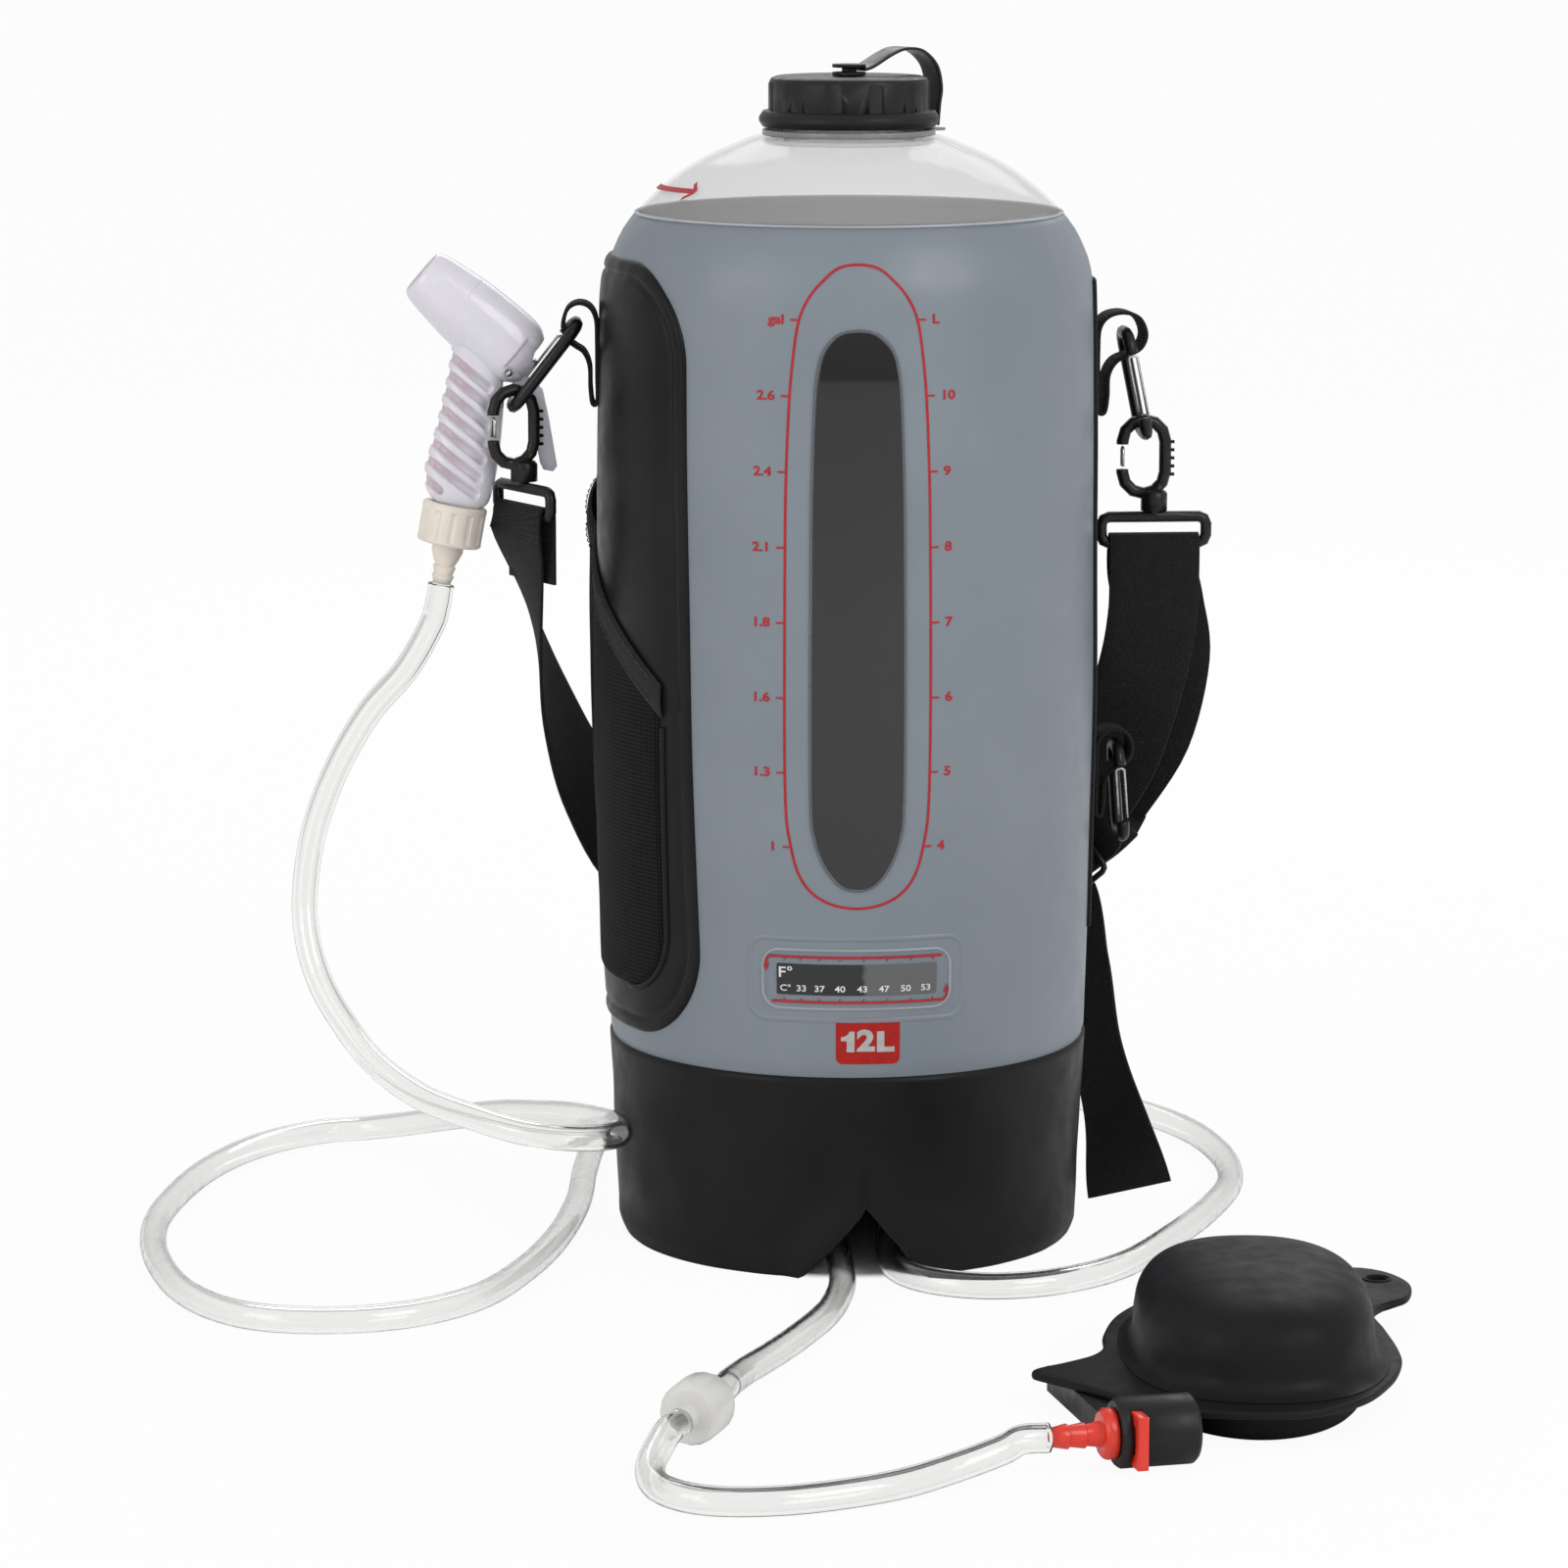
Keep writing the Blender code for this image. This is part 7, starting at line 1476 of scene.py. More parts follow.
def make_thermometer(red):
    strip = patch("thermometer_print", PRINT_AZIMUTH, STRIP_HALF_WIDTH, THERMO_MIDDLE - STRIP_HALF_HEIGHT,
                  THERMO_MIDDLE + STRIP_HALF_HEIGHT, STRIP_CORNER, lambda *place: STRIP_LIFT, strip_look(),
                  40, 8)
    ride(strip, "bag", "black_plastic", "thermometer_strip")
    start = -STRIP_HALF_WIDTH + UNIT_INSET
    marks = [(number, across, -CELSIUS_DROP, CELSIUS_SIZE, STRIP_WEIGHT) for number, across in STRIP_NUMBERS]
    marks.append(("C°", start, -CELSIUS_DROP, CELSIUS_SIZE, CELSIUS_WEIGHT))
    marks.append(("F°", start, FAHRENHEIT_RISE, FAHRENHEIT_SIZE, FAHRENHEIT_WEIGHT))
    texts = [lettering(text, across, THERMO_MIDDLE + rise, size, PRINT_AZIMUTH, lift=NUMBER_LIFT,
                       weight=weight)
             for text, across, rise, size, weight in marks]
    printed("thermometer_numbers", texts, ink("white_ink"), "white_plastic")
    lines = arrow_line(1) + arrow_line(-1)
    for across in STRIP_TICKS:
        for side in (1, -1):
            outer = STRIP_HALF_HEIGHT + STRIP_LINE_GAP
            ends = [(across, THERMO_MIDDLE + side * place) for place in (outer, outer - STRIP_TICK)]
            lines.append(stroke(ends, STRIP_TICK_LINE, PRINT_AZIMUTH, LINE_LIFT))
    printed("thermometer_lines", lines, red)

    def cover(distance, across, height):
        rim = COVER_RIM * bell(distance, COVER_RIM_PLACE, COVER_RIM_WIDTH)
        return COVER_LIFT * min(1.0, distance / COVER_RUN) + rim

    window = patch("thermometer_cover", PRINT_AZIMUTH, THERMO_HALF_WIDTH, THERMO_MIDDLE - THERMO_HALF_HEIGHT,
                   THERMO_MIDDLE + THERMO_HALF_HEIGHT, COVER_CORNER, cover,
                   clear_film("thermometer_film"), 90, 60)
    ride(window, "bag", "clear_film", "thermometer_window")
    # The first frame is a fine edge along the cover film, pale grey as a painted highlight; the second is a
    # grey border.
    frames = ((THERMO_HALF_WIDTH - EDGE_INSET, THERMO_HALF_HEIGHT - EDGE_INSET, EDGE_RADIUS, 0.0,
               "thermometer_highlight_rim", moulded("cover_edge_highlight"), "clear_film"),
              (BORDER_HALF_WIDTH, BORDER_HALF_HEIGHT, BORDER_RADIUS, BORDER_LIFT - BORDER_RADIUS,
               "thermometer_border", surface("grey_coated"), "grey_fabric"))
    for half, high, radius, lift, name, look, slot in frames:
        outline = rounded_outline(half, THERMO_MIDDLE - high, THERMO_MIDDLE + high, FRAME_CORNER, 10)
        dense = divided(outline + outline[:1], FRAME_STEP)[:-1]
        points = [skin(across_to_azimuth(PRINT_AZIMUTH, x), z, lift) for x, z in dense]
        ride(tube(name, points, radius, look, 12, ring=True), "bag", slot)


def make_badge():
    outline = rounded_outline(BADGE_HALF_WIDTH, BADGE_MIDDLE - BADGE_HALF_HEIGHT,
                              BADGE_MIDDLE + BADGE_HALF_HEIGHT, BADGE_CORNER)
    printed("badge", [filled(outline, BADGE_AZIMUTH, PRINT_LIFT, 24)], ink("badge_ink"))
    lift = 2 * PRINT_LIFT
    low = BADGE_MIDDLE - BADGE_LETTER_HEIGHT / 2 - BADGE_LETTER_DROP
    one, two, letter = BADGE_LETTER_PLACES
    text = [glyph(ONE_SHARES, one, ONE_WIDTH, low, BADGE_LETTER_HEIGHT, BADGE_AZIMUTH, lift),
            lettering("2", two, low + BADGE_LETTER_HEIGHT / 2, BADGE_LETTERS, BADGE_AZIMUTH, lift=lift,
                      weight=BADGE_WEIGHT),
            glyph(ELL_SHARES, letter, ELL_WIDTH, low, BADGE_LETTER_HEIGHT, BADGE_AZIMUTH, lift)]
    printed("badge_letters", text, ink("badge_grey"), "grey_fabric")


def make_dome_arrow(red):
    """Red arrow printed on the dome, showing which way the cap opens."""
    profile = smooth_profile(DOME_PROFILE, 6)
    pieces = []
    for start, end, half in DOME_ARROW:
        rows = []
        for i in range(DOME_ARROW_STEPS + 1):
            degrees, middle = (a + (b - a) * i / DOME_ARROW_STEPS for a, b in zip(start, end))
            spots = [(read_profile(profile, height) + DOME_ARROW_LIFT, height)
                     for height in (middle - half, middle + half)]
            out = outward(math.radians(degrees))
            rows.append([AXIS + out * reach + UP * height for reach, height in spots])
        pieces.append(grid("stroke", rows, None))
    printed("dome_arrow", pieces, red)


# Left panel and pocket

def mouth_height(across):
    share = 0.5 - across / (2 * POUCH_HALF)
    return MOUTH_FRONT + (MOUTH_BACK - MOUTH_FRONT) * share ** MOUTH_BEND


def pouch_lift(across, height):
    side = max(0.0, 1 - ((across - BULGE_PLACE) / BULGE_HALF_WIDTH) ** 2)
    up = max(0.0, min(1.0, (height - POUCH_LOW) / (mouth_height(across) - POUCH_LOW)))
    soft = POUCH_WAVE * wave((across, height, 0.0), POUCH_WAVE_SIZE, 11.0)
    return PANEL_THICKNESS + POUCH_LIFT + POUCH_BULGE * side * math.sin(math.pi / 2 * up) + soft


def on_side(across, height, lift):
    return skin(across_to_azimuth(SIDE_AZIMUTH, across), height, lift)


def make_panel():
    def lift(distance, across, height):
        puff = PANEL_PUFF * fade(distance, PANEL_PUFF_START, PANEL_PUFF_END)
        pucker = PANEL_PUCKER * wave((across, height, 0.0), PANEL_PUCKER_SIZE, 13.0)
        seam = PANEL_GROOVE_DEPTH * bell(distance, PANEL_GROOVE_PLACE, PANEL_GROOVE_WIDTH)
        return (rounded_step(distance, PANEL_THICKNESS, PANEL_EDGE) - seam + puff
                + pucker * (1 - fade(distance, PANEL_PUFF_START, PANEL_PUCKER_END)))

    panel = patch("panel_skin", SIDE_AZIMUTH, PANEL_HALF, PANEL_LOW, PANEL_HIGH, PANEL_CORNER, lift,
                  black_coated("panel_cloth"), 90, 150, lean=PANEL_LEAN)
    ride(panel, "bag", "black_fabric", "side_panel")


def make_pouch():
    def pouch(distance, across, height):
        return pouch_lift(across, height) * fade(distance, -POUCH_EDGE / 2, POUCH_EDGE)

    cloth = patch("pouch_mesh", SIDE_AZIMUTH, POUCH_HALF, POUCH_LOW, MOUTH_BACK, POUCH_CORNER, pouch,
                  mesh_look(), 80, 90, top=mouth_height)
    thicken(cloth, POUCH_CLOTH, 1.0)
    ride(cloth, "bag", "black_webbing", "pocket_pouch")
    lines, lay = [], []
    for i in range(BINDING_COLUMNS + 1):
        across = eased(-POUCH_HALF, POUCH_HALF, i, BINDING_COLUMNS)
        line, marks = [], []
        for j in range(BINDING_ROWS + 1):
            share = j / BINDING_ROWS
            height = mouth_height(across) - BINDING_DROP + BINDING_WIDTH * share
            crown = BINDING_CROWN * math.sin(math.pi * share) ** 0.5 if 0 < share < 1 else 0.0
            line.append(on_side(across, height, pouch_lift(across, height) + BINDING_LIFT + crown))
            marks.append((across, BINDING_WIDTH * share, 0.0))
        lines.append(line)
        lay.append(marks)
    binding = grid("binding", lines, webbing_look("binding_tape"), lay=lay)
    thicken(binding, BINDING_CLOTH)
    ride(binding, "bag", "black_webbing", "pocket_binding")


def make_stitches():
    thread = moulded("thread")
    count = int((2 * POUCH_HALF - 2 * STITCH_INSET) / STITCH_PITCH)
    stitches = []
    for offset in STITCH_ROWS:
        for k in range(count):
            ends = []
            for shift, rise in STITCH_PLACES:
                across = -POUCH_HALF + STITCH_INSET + STITCH_PITCH * k + shift
                height = mouth_height(across) + offset
                ends.append(on_side(across, height, pouch_lift(across, height) + rise))
            stitches.append(tube("stitch", ends, THREAD_HALF, thread, 6))
    ride(joined("binding_stitches", stitches), "bag", "black_webbing")


def make_piping():
    corner = POUCH_LOW + POUCH_CORNER
    outline = rounded_outline(POUCH_HALF, POUCH_LOW, MOUTH_BACK, POUCH_CORNER, 10)
    below = [(x, z) for x, z in outline if z <= corner + PIPING_ROOM and z < mouth_height(x) - PIPING_GAP]
    left = [(-POUCH_HALF, z) for z in spaced(MOUTH_BACK - PIPING_INSET, corner, PIPING_STEPS)]
    front = reversed(spaced(MOUTH_FRONT - PIPING_INSET, corner, PIPING_FRONT_STEPS))
    right = [(POUCH_HALF, z) for z in front]
    piping = [on_side(x, z, PANEL_THICKNESS + PIPING_LIFT) for x, z in left + below + right]
    ride(tube("pouch_piping", piping, PIPING_RADIUS, black_coated("piping"), 10), "bag", "black_webbing")


# Webbing

def make_band():
    def lift(distance, across, height):
        return rounded_step(distance, BAND_THICKNESS, BAND_EDGE)

    band = patch("band_webbing", BAND_MIDDLE, BAND_HALF, BAND_LOW, BAND_HIGH, BAND_THICKNESS, lift,
                 webbing_look("band_webbing"), 24, 90)
    ride(band, "bag", "black_webbing", "side_band")


def make_loop(name, look):
    """A webbing loop, placed by its node's own box."""
    low, high = (Vector(corner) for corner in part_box(name))
    azimuth = BAND_AZIMUTH if low.x > AXIS.x else LEFT_LOOP_AZIMUTH
    inner, outer = sorted((abs(low.x - AXIS.x), abs(high.x - AXIS.x)))
    lean = abs(math.sin(azimuth))
    start, reach = (inner + WEBBING / 2) / lean, (outer - inner - WEBBING) / lean
    rise = (high.z - low.z - WEBBING) / LOOP_TOP_SHARE
    base = low.z + WEBBING / 2
    route = [AXIS + outward(azimuth) * (start + reach * out) + UP * (base + rise * up)
             for out, up in LOOP_SHARES]
    centres = smooth_path(route, 8, ring=True)
    across = [outward(azimuth + math.pi / 2)] * len(centres)
    loop = swept(name + "_webbing", centres, across, LOOP_WIDTH, WEBBING, look, ring=True)
    ride(loop, "bag", "black_webbing", name)


def ring_frame(name, turn):
    low, high = (Vector(corner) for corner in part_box(name))
    middle = (low + high) / 2
    return Matrix.Translation((middle.x, middle.y, 0.0)) @ Matrix.Rotation(turn, 4, "Z"), low.z + RING_BAR


def ring_fold(ring, bar_height, front_last):
    """Stations over a ring's lower bar, from the far side of the ring to the near one."""
    side = -1 if front_last else 1
    places = [(-side * FOLD_RADIUS, bar_height - FOLD_LEAD)]
    for i in range(FOLD_STEPS + 1):
        angle = math.pi * i / FOLD_STEPS
        places.append((-side * FOLD_RADIUS * math.cos(angle), bar_height + FOLD_RADIUS * math.sin(angle)))
    places.append((side * FOLD_RADIUS, bar_height - FOLD_LEAD))
    return [(ring @ Vector((0.0, y, z)), ring.to_3x3() @ ACROSS) for y, z in places]


def slider_frame():
    down = Vector(SLIDER_DOWN).normalized()
    across = down.cross(Vector(SLIDER_OUT)).normalized()
    out = across.cross(down)
    return Matrix.Translation(at(SLIDER_PLACE)) @ Matrix((across, down, out)).transposed().to_4x4()


def slider_stations(slider, pairs):
    return [(slider @ Vector((0.0, along, rise)), slider.to_3x3() @ ACROSS) for along, rise in pairs]


def over_slider(shares):
    return [(SLIDER_PITCH * along, SLIDER_OVER * rise) for along, rise in shares]


def routed(route):
    return [(at(place), Vector(across)) for place, across in route]


def stations_path(stations, per_span):
    places = smooth_path([place for place, across in stations], per_span)
    across = smooth_path([side for place, side in stations], per_span)
    return places, across


def make_strap(look):
    slider = slider_frame()
    wrap = []
    for i in range(FOLD_STEPS + 1):
        angle = math.pi * i / FOLD_STEPS
        wrap.append((SLIDER_OVER * math.sin(angle), -SLIDER_OVER * math.cos(angle)))
    right, right_bar = ring_frame("strap_ring_right", 0.0)
    left, left_bar = ring_frame("strap_ring_left", LEFT_RING_TURN)
    under = -SLIDER_OVER - STRAP_THICKNESS - 2 * SEAT_GAP
    stations = slider_stations(slider, wrap + over_slider(BACK_SLIDER_SHARES))
    stations += routed(BACK_LAYER_ROUTE) + ring_fold(right, right_bar, True) + routed(FRONT_LAYER_ROUTE)
    stations += slider_stations(slider, over_slider(FRONT_SLIDER_SHARES[:2]) + [(0.0, under)]
                                + over_slider(FRONT_SLIDER_SHARES[2:]))
    stations += routed(REAR_ROUTE) + ring_fold(left, left_bar, False)
    stations.append((left @ Vector((0.0, FOLD_RADIUS, left_bar - STRAP_SEWN)), left.to_3x3() @ ACROSS))
    places, across = stations_path(stations, 6)
    strap = swept("strap_webbing", places, across, STRAP_WIDTH, STRAP_THICKNESS, look)
    ride(strap, "bag", "black_webbing", "shoulder_strap")


def make_strap_tail(look):
    stations = slider_stations(slider_frame(), over_slider([TAIL_SLIDER_SHARE])) + routed(STRAP_TAIL_ROUTE)
    places, across = stations_path(stations, 10)
    width = STRAP_WIDTH * TAIL_WIDTH_SHARE
    tail = swept("tail_webbing", places, across, width, STRAP_THICKNESS, look)
    ride(tail, "bag", "black_webbing", "strap_tail")


def make_tether():
    """Runs from the lug beside the neck over the cap to its button."""
    along = outward(TETHER_AZIMUTH)
    places = [(TETHER_START, TETHER_HEIGHT)]
    places += [(LUG_REACH * reach, TETHER_HEIGHT + TETHER_PEAK * rise) for reach, rise in TETHER_SHARES]
    places.append((LUG_REACH * TETHER_END_SHARE, TETHER_END))
    route = smooth_path([AXIS + along * reach + UP * height for reach, height in places], 8)
    sides = [outward(TETHER_AZIMUTH + math.pi / 2)] * len(route)
    strap = swept("cap_tether", route, sides, TETHER_WIDTH, TETHER_THICKNESS, moulded("tether_rubber"))
    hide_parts("tether_strap")
    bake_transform(strap)


# Spray gun

def local_frame(place, lean):
    return Matrix.Translation(at(place)) @ Matrix.Rotation(lean, 4, "Y")


def slot_depth(x, z):
    """Share of a grip slot's depth at a place on the handle, seen from the side."""
    best = 0.0
    for (ax, az), (bx, bz) in GRIP_SLOTS:
        length = (bx - ax) ** 2 + (bz - az) ** 2
        share = max(0.0, min(1.0, ((x - ax) * (bx - ax) + (z - az) * (bz - az)) / length))
        gap = math.hypot(x - ax - share * (bx - ax), z - az - share * (bz - az))
        best = max(best, 1 - fade(gap, SLOT_HALF - SLOT_EDGE, SLOT_HALF + SLOT_EDGE))
    return best


def make_handle(look):
    turn = local_frame(GUN_PLACE, GUN_LEAN)
    low, high = HANDLE_PROFILE[0][0], HANDLE_PROFILE[-1][0]
    fine = [smooth_profile([(row[0], row[index]) for row in HANDLE_PROFILE], PROFILE_SPANS)
            for index in (1, 2, 3)]
    rows, lay = [], []
    for height in spaced(low, high, HANDLE_ROWS) + [high]:
        left, right, depth = (read_profile(table, height) for table in fine)
        middle, half = (left + right) / 2, (right - left) / 2
        row, marks = [], []
        for i in range(HANDLE_COLUMNS):
            angle = turned(i, HANDLE_COLUMNS)
            cos, sin = math.cos(angle), math.sin(angle)
            x = middle + half * squared(cos, HANDLE_SQUARENESS)
            y = depth * squared(sin, HANDLE_SQUARENESS)
            cut = slot_depth(x, height)
            if height > TRIGGER_ROOM_LOW and abs(y) < TRIGGER_ROOM_HALF and x > TRIGGER_ROOM_LEFT:
                x, cut = TRIGGER_ROOM_LEFT, 0.0
            inward = Vector((-cos / half, -sin / depth, 0.0)).normalized()
            deep = GRIP_SLOT_DEPTH * (1 - SLOT_BACK_SHARE * fade(-cos, *SLOT_BACK_RUN))
            row.append(turn @ (Vector((x, y, height)) + inward * cut * deep))
            marks.append((cut, x, height))
        rows.append(row)
        lay.append(marks)
    foot = turn @ Vector((0.0, 0.0, low))
    rows.insert(0, [foot.lerp(point, FOOT_SHARE) for point in rows[0]])
    lay.insert(0, lay[0])
    return grid("gun_grip", rows, look, ring=True, lay=lay)


def barrel_end(x, y):
    """How far back the barrel's wall runs: less at its top, and least where the trigger comes out."""
    if x > 0.0 and abs(y) < TRIGGER_ROOM_HALF:
        return CUP_FLOOR + SLOT_EDGE
    return TOP_END + (BARREL_PROFILE[-1][0] - TOP_END) * fade(x, TOP_END_LEFT, TOP_END_RIGHT)


def around(value, place):
    """Goes from 0 to 1 over a slot's edge at the place."""
    return fade(value, place - SLOT_EDGE, place + SLOT_EDGE)


def cheek(place, x):
    """The recess at each side of the barrel's rear, and the pin's hole."""
    low, high = CHEEK
    recess = CHEEK_DEPTH * around(x, low) * (1 - around(x, high)) * around(place, CHEEK_START)
    gap = math.hypot(x - PIVOT_SPOT[0], place - PIVOT_SPOT[1])
    hole = 1 - fade(gap, PIVOT_HOLE - SLOT_EDGE / 2, PIVOT_HOLE + SLOT_EDGE / 2)
    return -max(recess, CHEEK_DEPTH * PIVOT_DEPTH_SHARE * hole)


def parting(place, x, y):
    """A fine joint line across the top of the barrel's front side."""
    line = PARTING_PLACE + PARTING_BEND * fade(-x, *PARTING_BEND_RUN)
    shown = fade(-x, *PARTING_RUN) * (y < 0)
    return -PARTING_DEPTH * shown * bell(place, line, PARTING_WIDTH)


def make_barrel(look):
    turn = local_frame(BARREL_PLACE, BARREL_LEAN)
    smooth = smooth_profile(BARREL_PROFILE, PROFILE_SPANS)
    end = BARREL_PROFILE[-1][0]
    outer = [end]
    for start, count in reversed(BARREL_STATIONS):
        outer = spaced(start, end, count) + outer
        end = start
    widest = read_profile(smooth, CHEEK_START)
    columns = []
    for i in range(BARREL_COLUMNS):
        angle = turned(i, BARREL_COLUMNS)
        cos, sin = math.cos(angle), math.sin(angle)
        spots = [(place, SPRAY_BORE + more) for place, more in SPRAY_LIP]
        stop = barrel_end(widest * cos, widest * sin)
        for place in outer:
            place = min(place, stop)
            radius = read_profile(smooth, place)
            relief = parting(place, radius * cos, radius * sin) + cheek(place, radius * cos)
            spots.append((place, radius + relief))
        edge = spots[-1][1]
        inner = edge - BARREL_WALL
        spots += [(stop + REAR_ROUND[0], edge - REAR_ROUND[1]), (stop, inner),
                  ((stop + CUP_FLOOR) / 2, inner), (CUP_FLOOR, inner), (CUP_FLOOR, STEM_HOLE)]
        columns.append([turn @ Vector((radius * cos, radius * sin * BARREL_DEPTH_SHARE, place))
                        for place, radius in spots])
    rows = [list(row) for row in zip(*columns)]
    return grid("gun_barrel", rows, look, ring=True, lay=[[(0.0, 0.0, 0.0)] * BARREL_COLUMNS] * len(rows))


def make_spigot(look):
    """Threaded end of the handle, under the nut."""
    turn = local_frame(GUN_PLACE, GUN_LEAN)
    rows = []
    for height in spaced(0.0, THREAD_LOW, SPIGOT_ROWS) + [THREAD_LOW]:
        row = []
        for i in range(SPIGOT_COLUMNS):
            angle = turned(i, SPIGOT_COLUMNS)
            phase = 2 * math.pi * height / THREAD_PITCH - angle
            radius = THREAD_RADIUS + THREAD_RISE * (2 * fade(0.5 + 0.5 * math.sin(phase), *THREAD_FLANK) - 1)
            row.append(turn @ Vector((radius * math.cos(angle), radius * math.sin(angle), height)))
        rows.append(row)
    foot = turn @ Vector((0.0, 0.0, THREAD_LOW))
    rows.append([foot + (point - foot).normalized() * SPIGOT_BORE for point in rows[-1]])
    return grid("gun_spigot", rows, look, ring=True, lay=[[(0.0, 0.0, 0.0)] * SPIGOT_COLUMNS] * len(rows))


def gun_look():
    """Glossy pale lilac moulding. Inside the grip's slots the colour is painted shade: darker and pinker than
    the body, lighter again towards the trigger's side.
    """
    look = Look("gun_plastic", GUN_COLOUR, 0.24, Coat_Weight=0.3, Coat_Roughness=0.08,
                Subsurface_Weight=0.10, Subsurface_Scale=GUN_SUBSURFACE)
    side = look.span(look.split(look.lay(), "Y"), PINK_START, PINK_END)
    blend = look.node("ShaderNodeMix", data_type="RGBA")
    look.join(look.split(look.lay(), "X"), blend.inputs["Factor"])
    look.join(look.ramp(look.noise(*GUN_TINT_NOISE), GUN_TINT), blend.inputs["A"])
    # Inside the slots, by their depth, the colour is painted shade.
    look.join(look.ramp(side, SLOT_PAINTED_SHADE), blend.inputs["B"])
    look.join(blend.outputs["Result"], look.shader.inputs["Base Color"])
    return look.grained(None, GUN_GLOSS, [GUN_BUMP])


def make_spring():
    turn = local_frame(BARREL_PLACE, BARREL_LEAN)
    count = SPRING_STEPS * SPRING_TURNS
    points = []
    for i, height in enumerate(spaced(SPRING_START, SPRING_END, count) + [SPRING_END]):
        angle = turned(i, SPRING_STEPS)
        points.append(turn @ Vector((SPRING_RADIUS * math.cos(angle), SPRING_RADIUS * math.sin(angle),
                                     height)))
    spring = tube("valve_coil", points, SPRING_WIRE, surface("wire_steel"), 8)
    fill_ends(spring)
    spring.data.shade_smooth()
    ride(spring, "bag", "steel", "valve_spring")
    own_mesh(spring)


def make_gun():
    look = gun_look()
    shell = joined("gun_shell", [make_handle(look), make_barrel(look), make_spigot(look)])
    crisp(shell, SHELL_CREASE)
    ride(shell, "bag", "white_plastic", "gun_body")


# Foot pump

def pump_frame():
    return Matrix.Translation(at(PUMP_PLACE)) @ Matrix.Rotation(PUMP_TURN, 4, "Z")


def pump_lathe(name, shares, half_width, half_length, low, height, look):
    rows = []
    for share, rise in shares:
        row = []
        for i in range(PUMP_STEPS):
            angle = turned(i, PUMP_STEPS)
            x = half_width * share * squared(math.cos(angle), DOME_SQUARENESS)
            y = half_length * share * squared(math.sin(angle), DOME_SQUARENESS)
            row.append(pump_frame() @ Vector((DOME_SHIFT + x, y, low + height * rise)))
        rows.append(row)
    return grid(name, rows, look, ring=True)


def pump_squash(piece):
    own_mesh(piece)


def circle(middle, radius, height, steps):
    angles = [turned(k, steps) for k in range(steps)]
    return [Vector((middle[0] + radius * math.cos(angle), middle[1] + radius * math.sin(angle), height))
            for angle in angles]


def pump_section(point):
    """The sheet and tray cut from the middle out to a place on the sheet's edge, and back to the start."""
    angle = math.atan2(point.y / TRAY_HALF_LENGTH, point.x / TRAY_HALF_WIDTH)
    spoke = Vector((math.cos(angle), math.sin(angle), 0.0))
    tray = Vector((spoke.x * TRAY_HALF_WIDTH, spoke.y * TRAY_HALF_LENGTH, 0.0))
    inside = Vector((spoke.x * (TRAY_HALF_WIDTH - TRAY_WALL), spoke.y * (TRAY_HALF_LENGTH - TRAY_WALL), 0.0))
    intake = spoke * INTAKE_RADIUS
    back = (inside - point).normalized()
    line = [inside.lerp(point, k / 9) + UP * PUMP_SHEET_TOP for k in range(9)]
    middle = (PUMP_SHEET_TOP + PUMP_SHEET_LOW) / 2
    half = (PUMP_SHEET_TOP - PUMP_SHEET_LOW) / 2
    for k in range(9):
        angle = math.pi * k / 8
        place = point + back * PUMP_EDGE * (1 - math.sin(angle))
        line.append(place + UP * (middle + half * math.cos(angle)))
    line += [tray.lerp(point, out) + UP * PUMP_SHEET_LOW for out in TRAY_ROOT_SHARES]
    line += [tray * share + UP * height for share, height in TRAY_SIDE]
    line += [intake, intake + UP * TRAY_WALL]
    line += [inside * 0.5 + UP * TRAY_WALL, inside + UP * TRAY_WALL, inside + UP * PUMP_SHEET_LOW]
    return line


def make_pump_base(look):
    """Sheet with its tab, eyelet and foot rest, and the hollow tray under it."""
    turn = pump_frame()
    outline = smooth_path([(PUMP_HALF_WIDTH * x, PUMP_HALF_LENGTH * y, 0.0) for x, y in PUMP_OUTLINE_SHARES],
                          9, ring=True)
    columns = [[turn @ spot for spot in pump_section(point)] for point in outline]
    base = grid("pump_sheet", columns, look, ring=True, closed=True)
    low = PUMP_SHEET_LOW - PUMP_EDGE
    bar = [turn @ Vector((*EYELET_SPOT, height)) for height in (low, low + 5 * PUMP_EDGE)]
    cutter = tube("eyelet_cutter", bar, EYELET_RADIUS, look, 32)
    fill_ends(cutter)
    hole = base.modifiers.new("eyelet", "BOOLEAN")
    hole.operation = "DIFFERENCE"
    hole.object = cutter
    hole.solver = "EXACT"
    cut = evaluated_mesh(base)
    base.modifiers.clear()
    base.data = cut
    bpy.data.objects.remove(cutter, do_unlink=True)
    crisp(base, SHELL_CREASE)
    rim = circle(EYELET_SPOT, EYELET_RADIUS + PUMP_EDGE * RIM_PLACE_SHARE, PUMP_SHEET_TOP, RIM_STEPS)
    ring = tube("eyelet_rim", [turn @ spot for spot in rim], PUMP_EDGE * RIM_SHARE, look, 10, ring=True)
    ride(joined("pump_base_rubber", [base, ring]), "bag", "black_rubber", "pump_base")


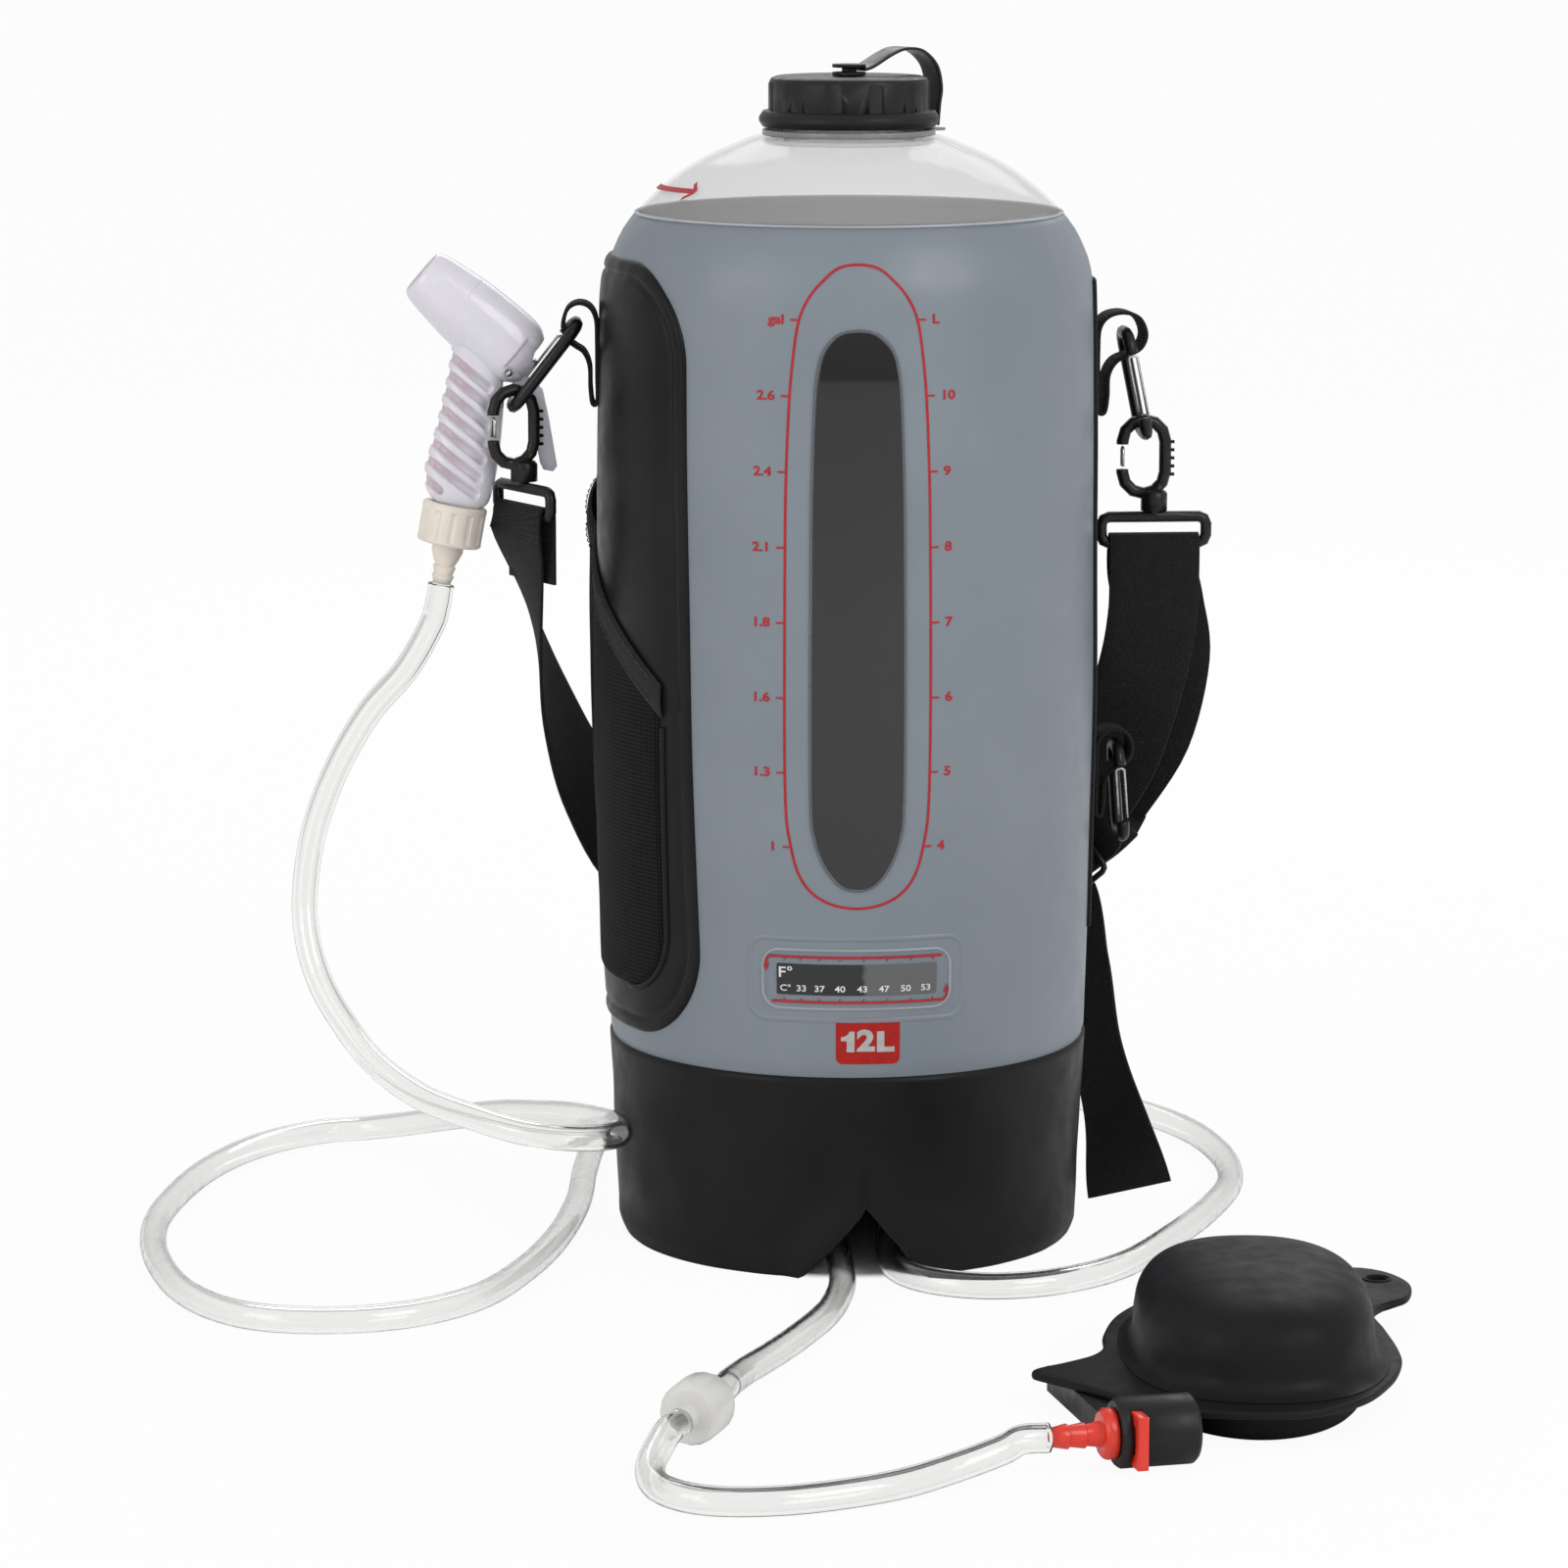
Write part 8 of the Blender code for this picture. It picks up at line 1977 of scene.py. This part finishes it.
def make_pump():
    rubber = black_coated("pump_rubber")
    make_pump_base(rubber)
    shares = smooth_profile(PUMP_DOME_SHARES, 6)
    dome = pump_lathe("pump_bulb", shares, DOME_HALF_WIDTH, DOME_HALF_LENGTH, PUMP_SHEET_TOP + SEAT_GAP,
                      PUMP_DOME_HEIGHT, rubber)
    ride(dome, "bag", "black_rubber", "pump_dome")
    pump_squash(dome)
    inside = [(share * FOAM_SHARE, rise) for share, rise in shares]
    foam = pump_lathe("pump_filling", inside, DOME_HALF_WIDTH - PUMP_SKIN, DOME_HALF_LENGTH - PUMP_SKIN,
                      PUMP_SHEET_TOP, PUMP_DOME_HEIGHT - 2 * PUMP_SKIN, foam_look())
    ride(foam, "bag", "foam", "pump_foam")
    pump_squash(foam)


# Materials on the CAD nodes that stay

def dress(look, bevel, names):
    for name in names:
        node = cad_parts[name]
        node.data.materials.clear()
        node.data.materials.append(look)
        weld = node.modifiers.new("weld", "WELD")
        weld.merge_threshold = WELD
        crisp(node, CREASE)
        if bevel:
            edge = node.modifiers.new("edges", "BEVEL")
            edge.width = bevel
            edge.segments = 2
            edge.limit_method = "ANGLE"
            edge.angle_limit = CREASE
            edge.harden_normals = True


def dress_nodes():
    nut = moulded("nut_plastic", spots=NUT_SPOTS)
    red = moulded("red_moulding")
    rubber = black_coated("sheet_rubber")
    dress(moulded("cap_plastic", CAP_GRAIN), EDGE, ["cap", "tether_button"])
    dress(clear_film("clear_moulding"), 0.0, ["filler_neck"])
    dress(moulded("neck_ring_plastic"), EDGE, ["neck_ring"])
    dress(clear_film("valve_moulding"), EDGE, ["check_valve_body"])
    dress(rubber, 0.0, ["cap_gasket", "check_valve_disc"])
    dress(moulded("trigger_plastic"), SOFT_EDGE, ["gun_trigger"])
    dress(nut, FINE_EDGE, ["gun_face", "hose_nut", "barb_tail"])
    dress(moulded("housing_plastic"), SOFT_EDGE, ["pump_housing"])
    dress(red, FINE_EDGE, ["pump_barb"])
    dress(red, SOFT_EDGE, ["pump_clip"])
    dress(red, 0.0, ["intake_flap"])
    dress(moulded("hook_plastic"), 0.0, HARDWARE)
    dress(surface("wire_steel"), 0.0, WIRES)


def main():
    make_camera()
    make_lights()
    make_floor()
    make_hoses()
    make_wall()
    make_dome()
    make_collar()
    red = ink("red_ink")
    make_scale(red)
    make_window()
    make_thermometer(red)
    make_badge()
    make_dome_arrow(red)
    make_panel()
    make_pouch()
    make_stitches()
    make_piping()
    make_band()
    webbing = webbing_look("webbing")
    for name in ("loop_left", "loop_right", "loop_right_lower"):
        make_loop(name, webbing)
    make_strap(webbing)
    make_strap_tail(webbing)
    make_tether()
    make_gun()
    make_spring()
    make_pump()
    dress_nodes()
    bpy.context.scene.view_settings.view_transform = "Standard"


main()
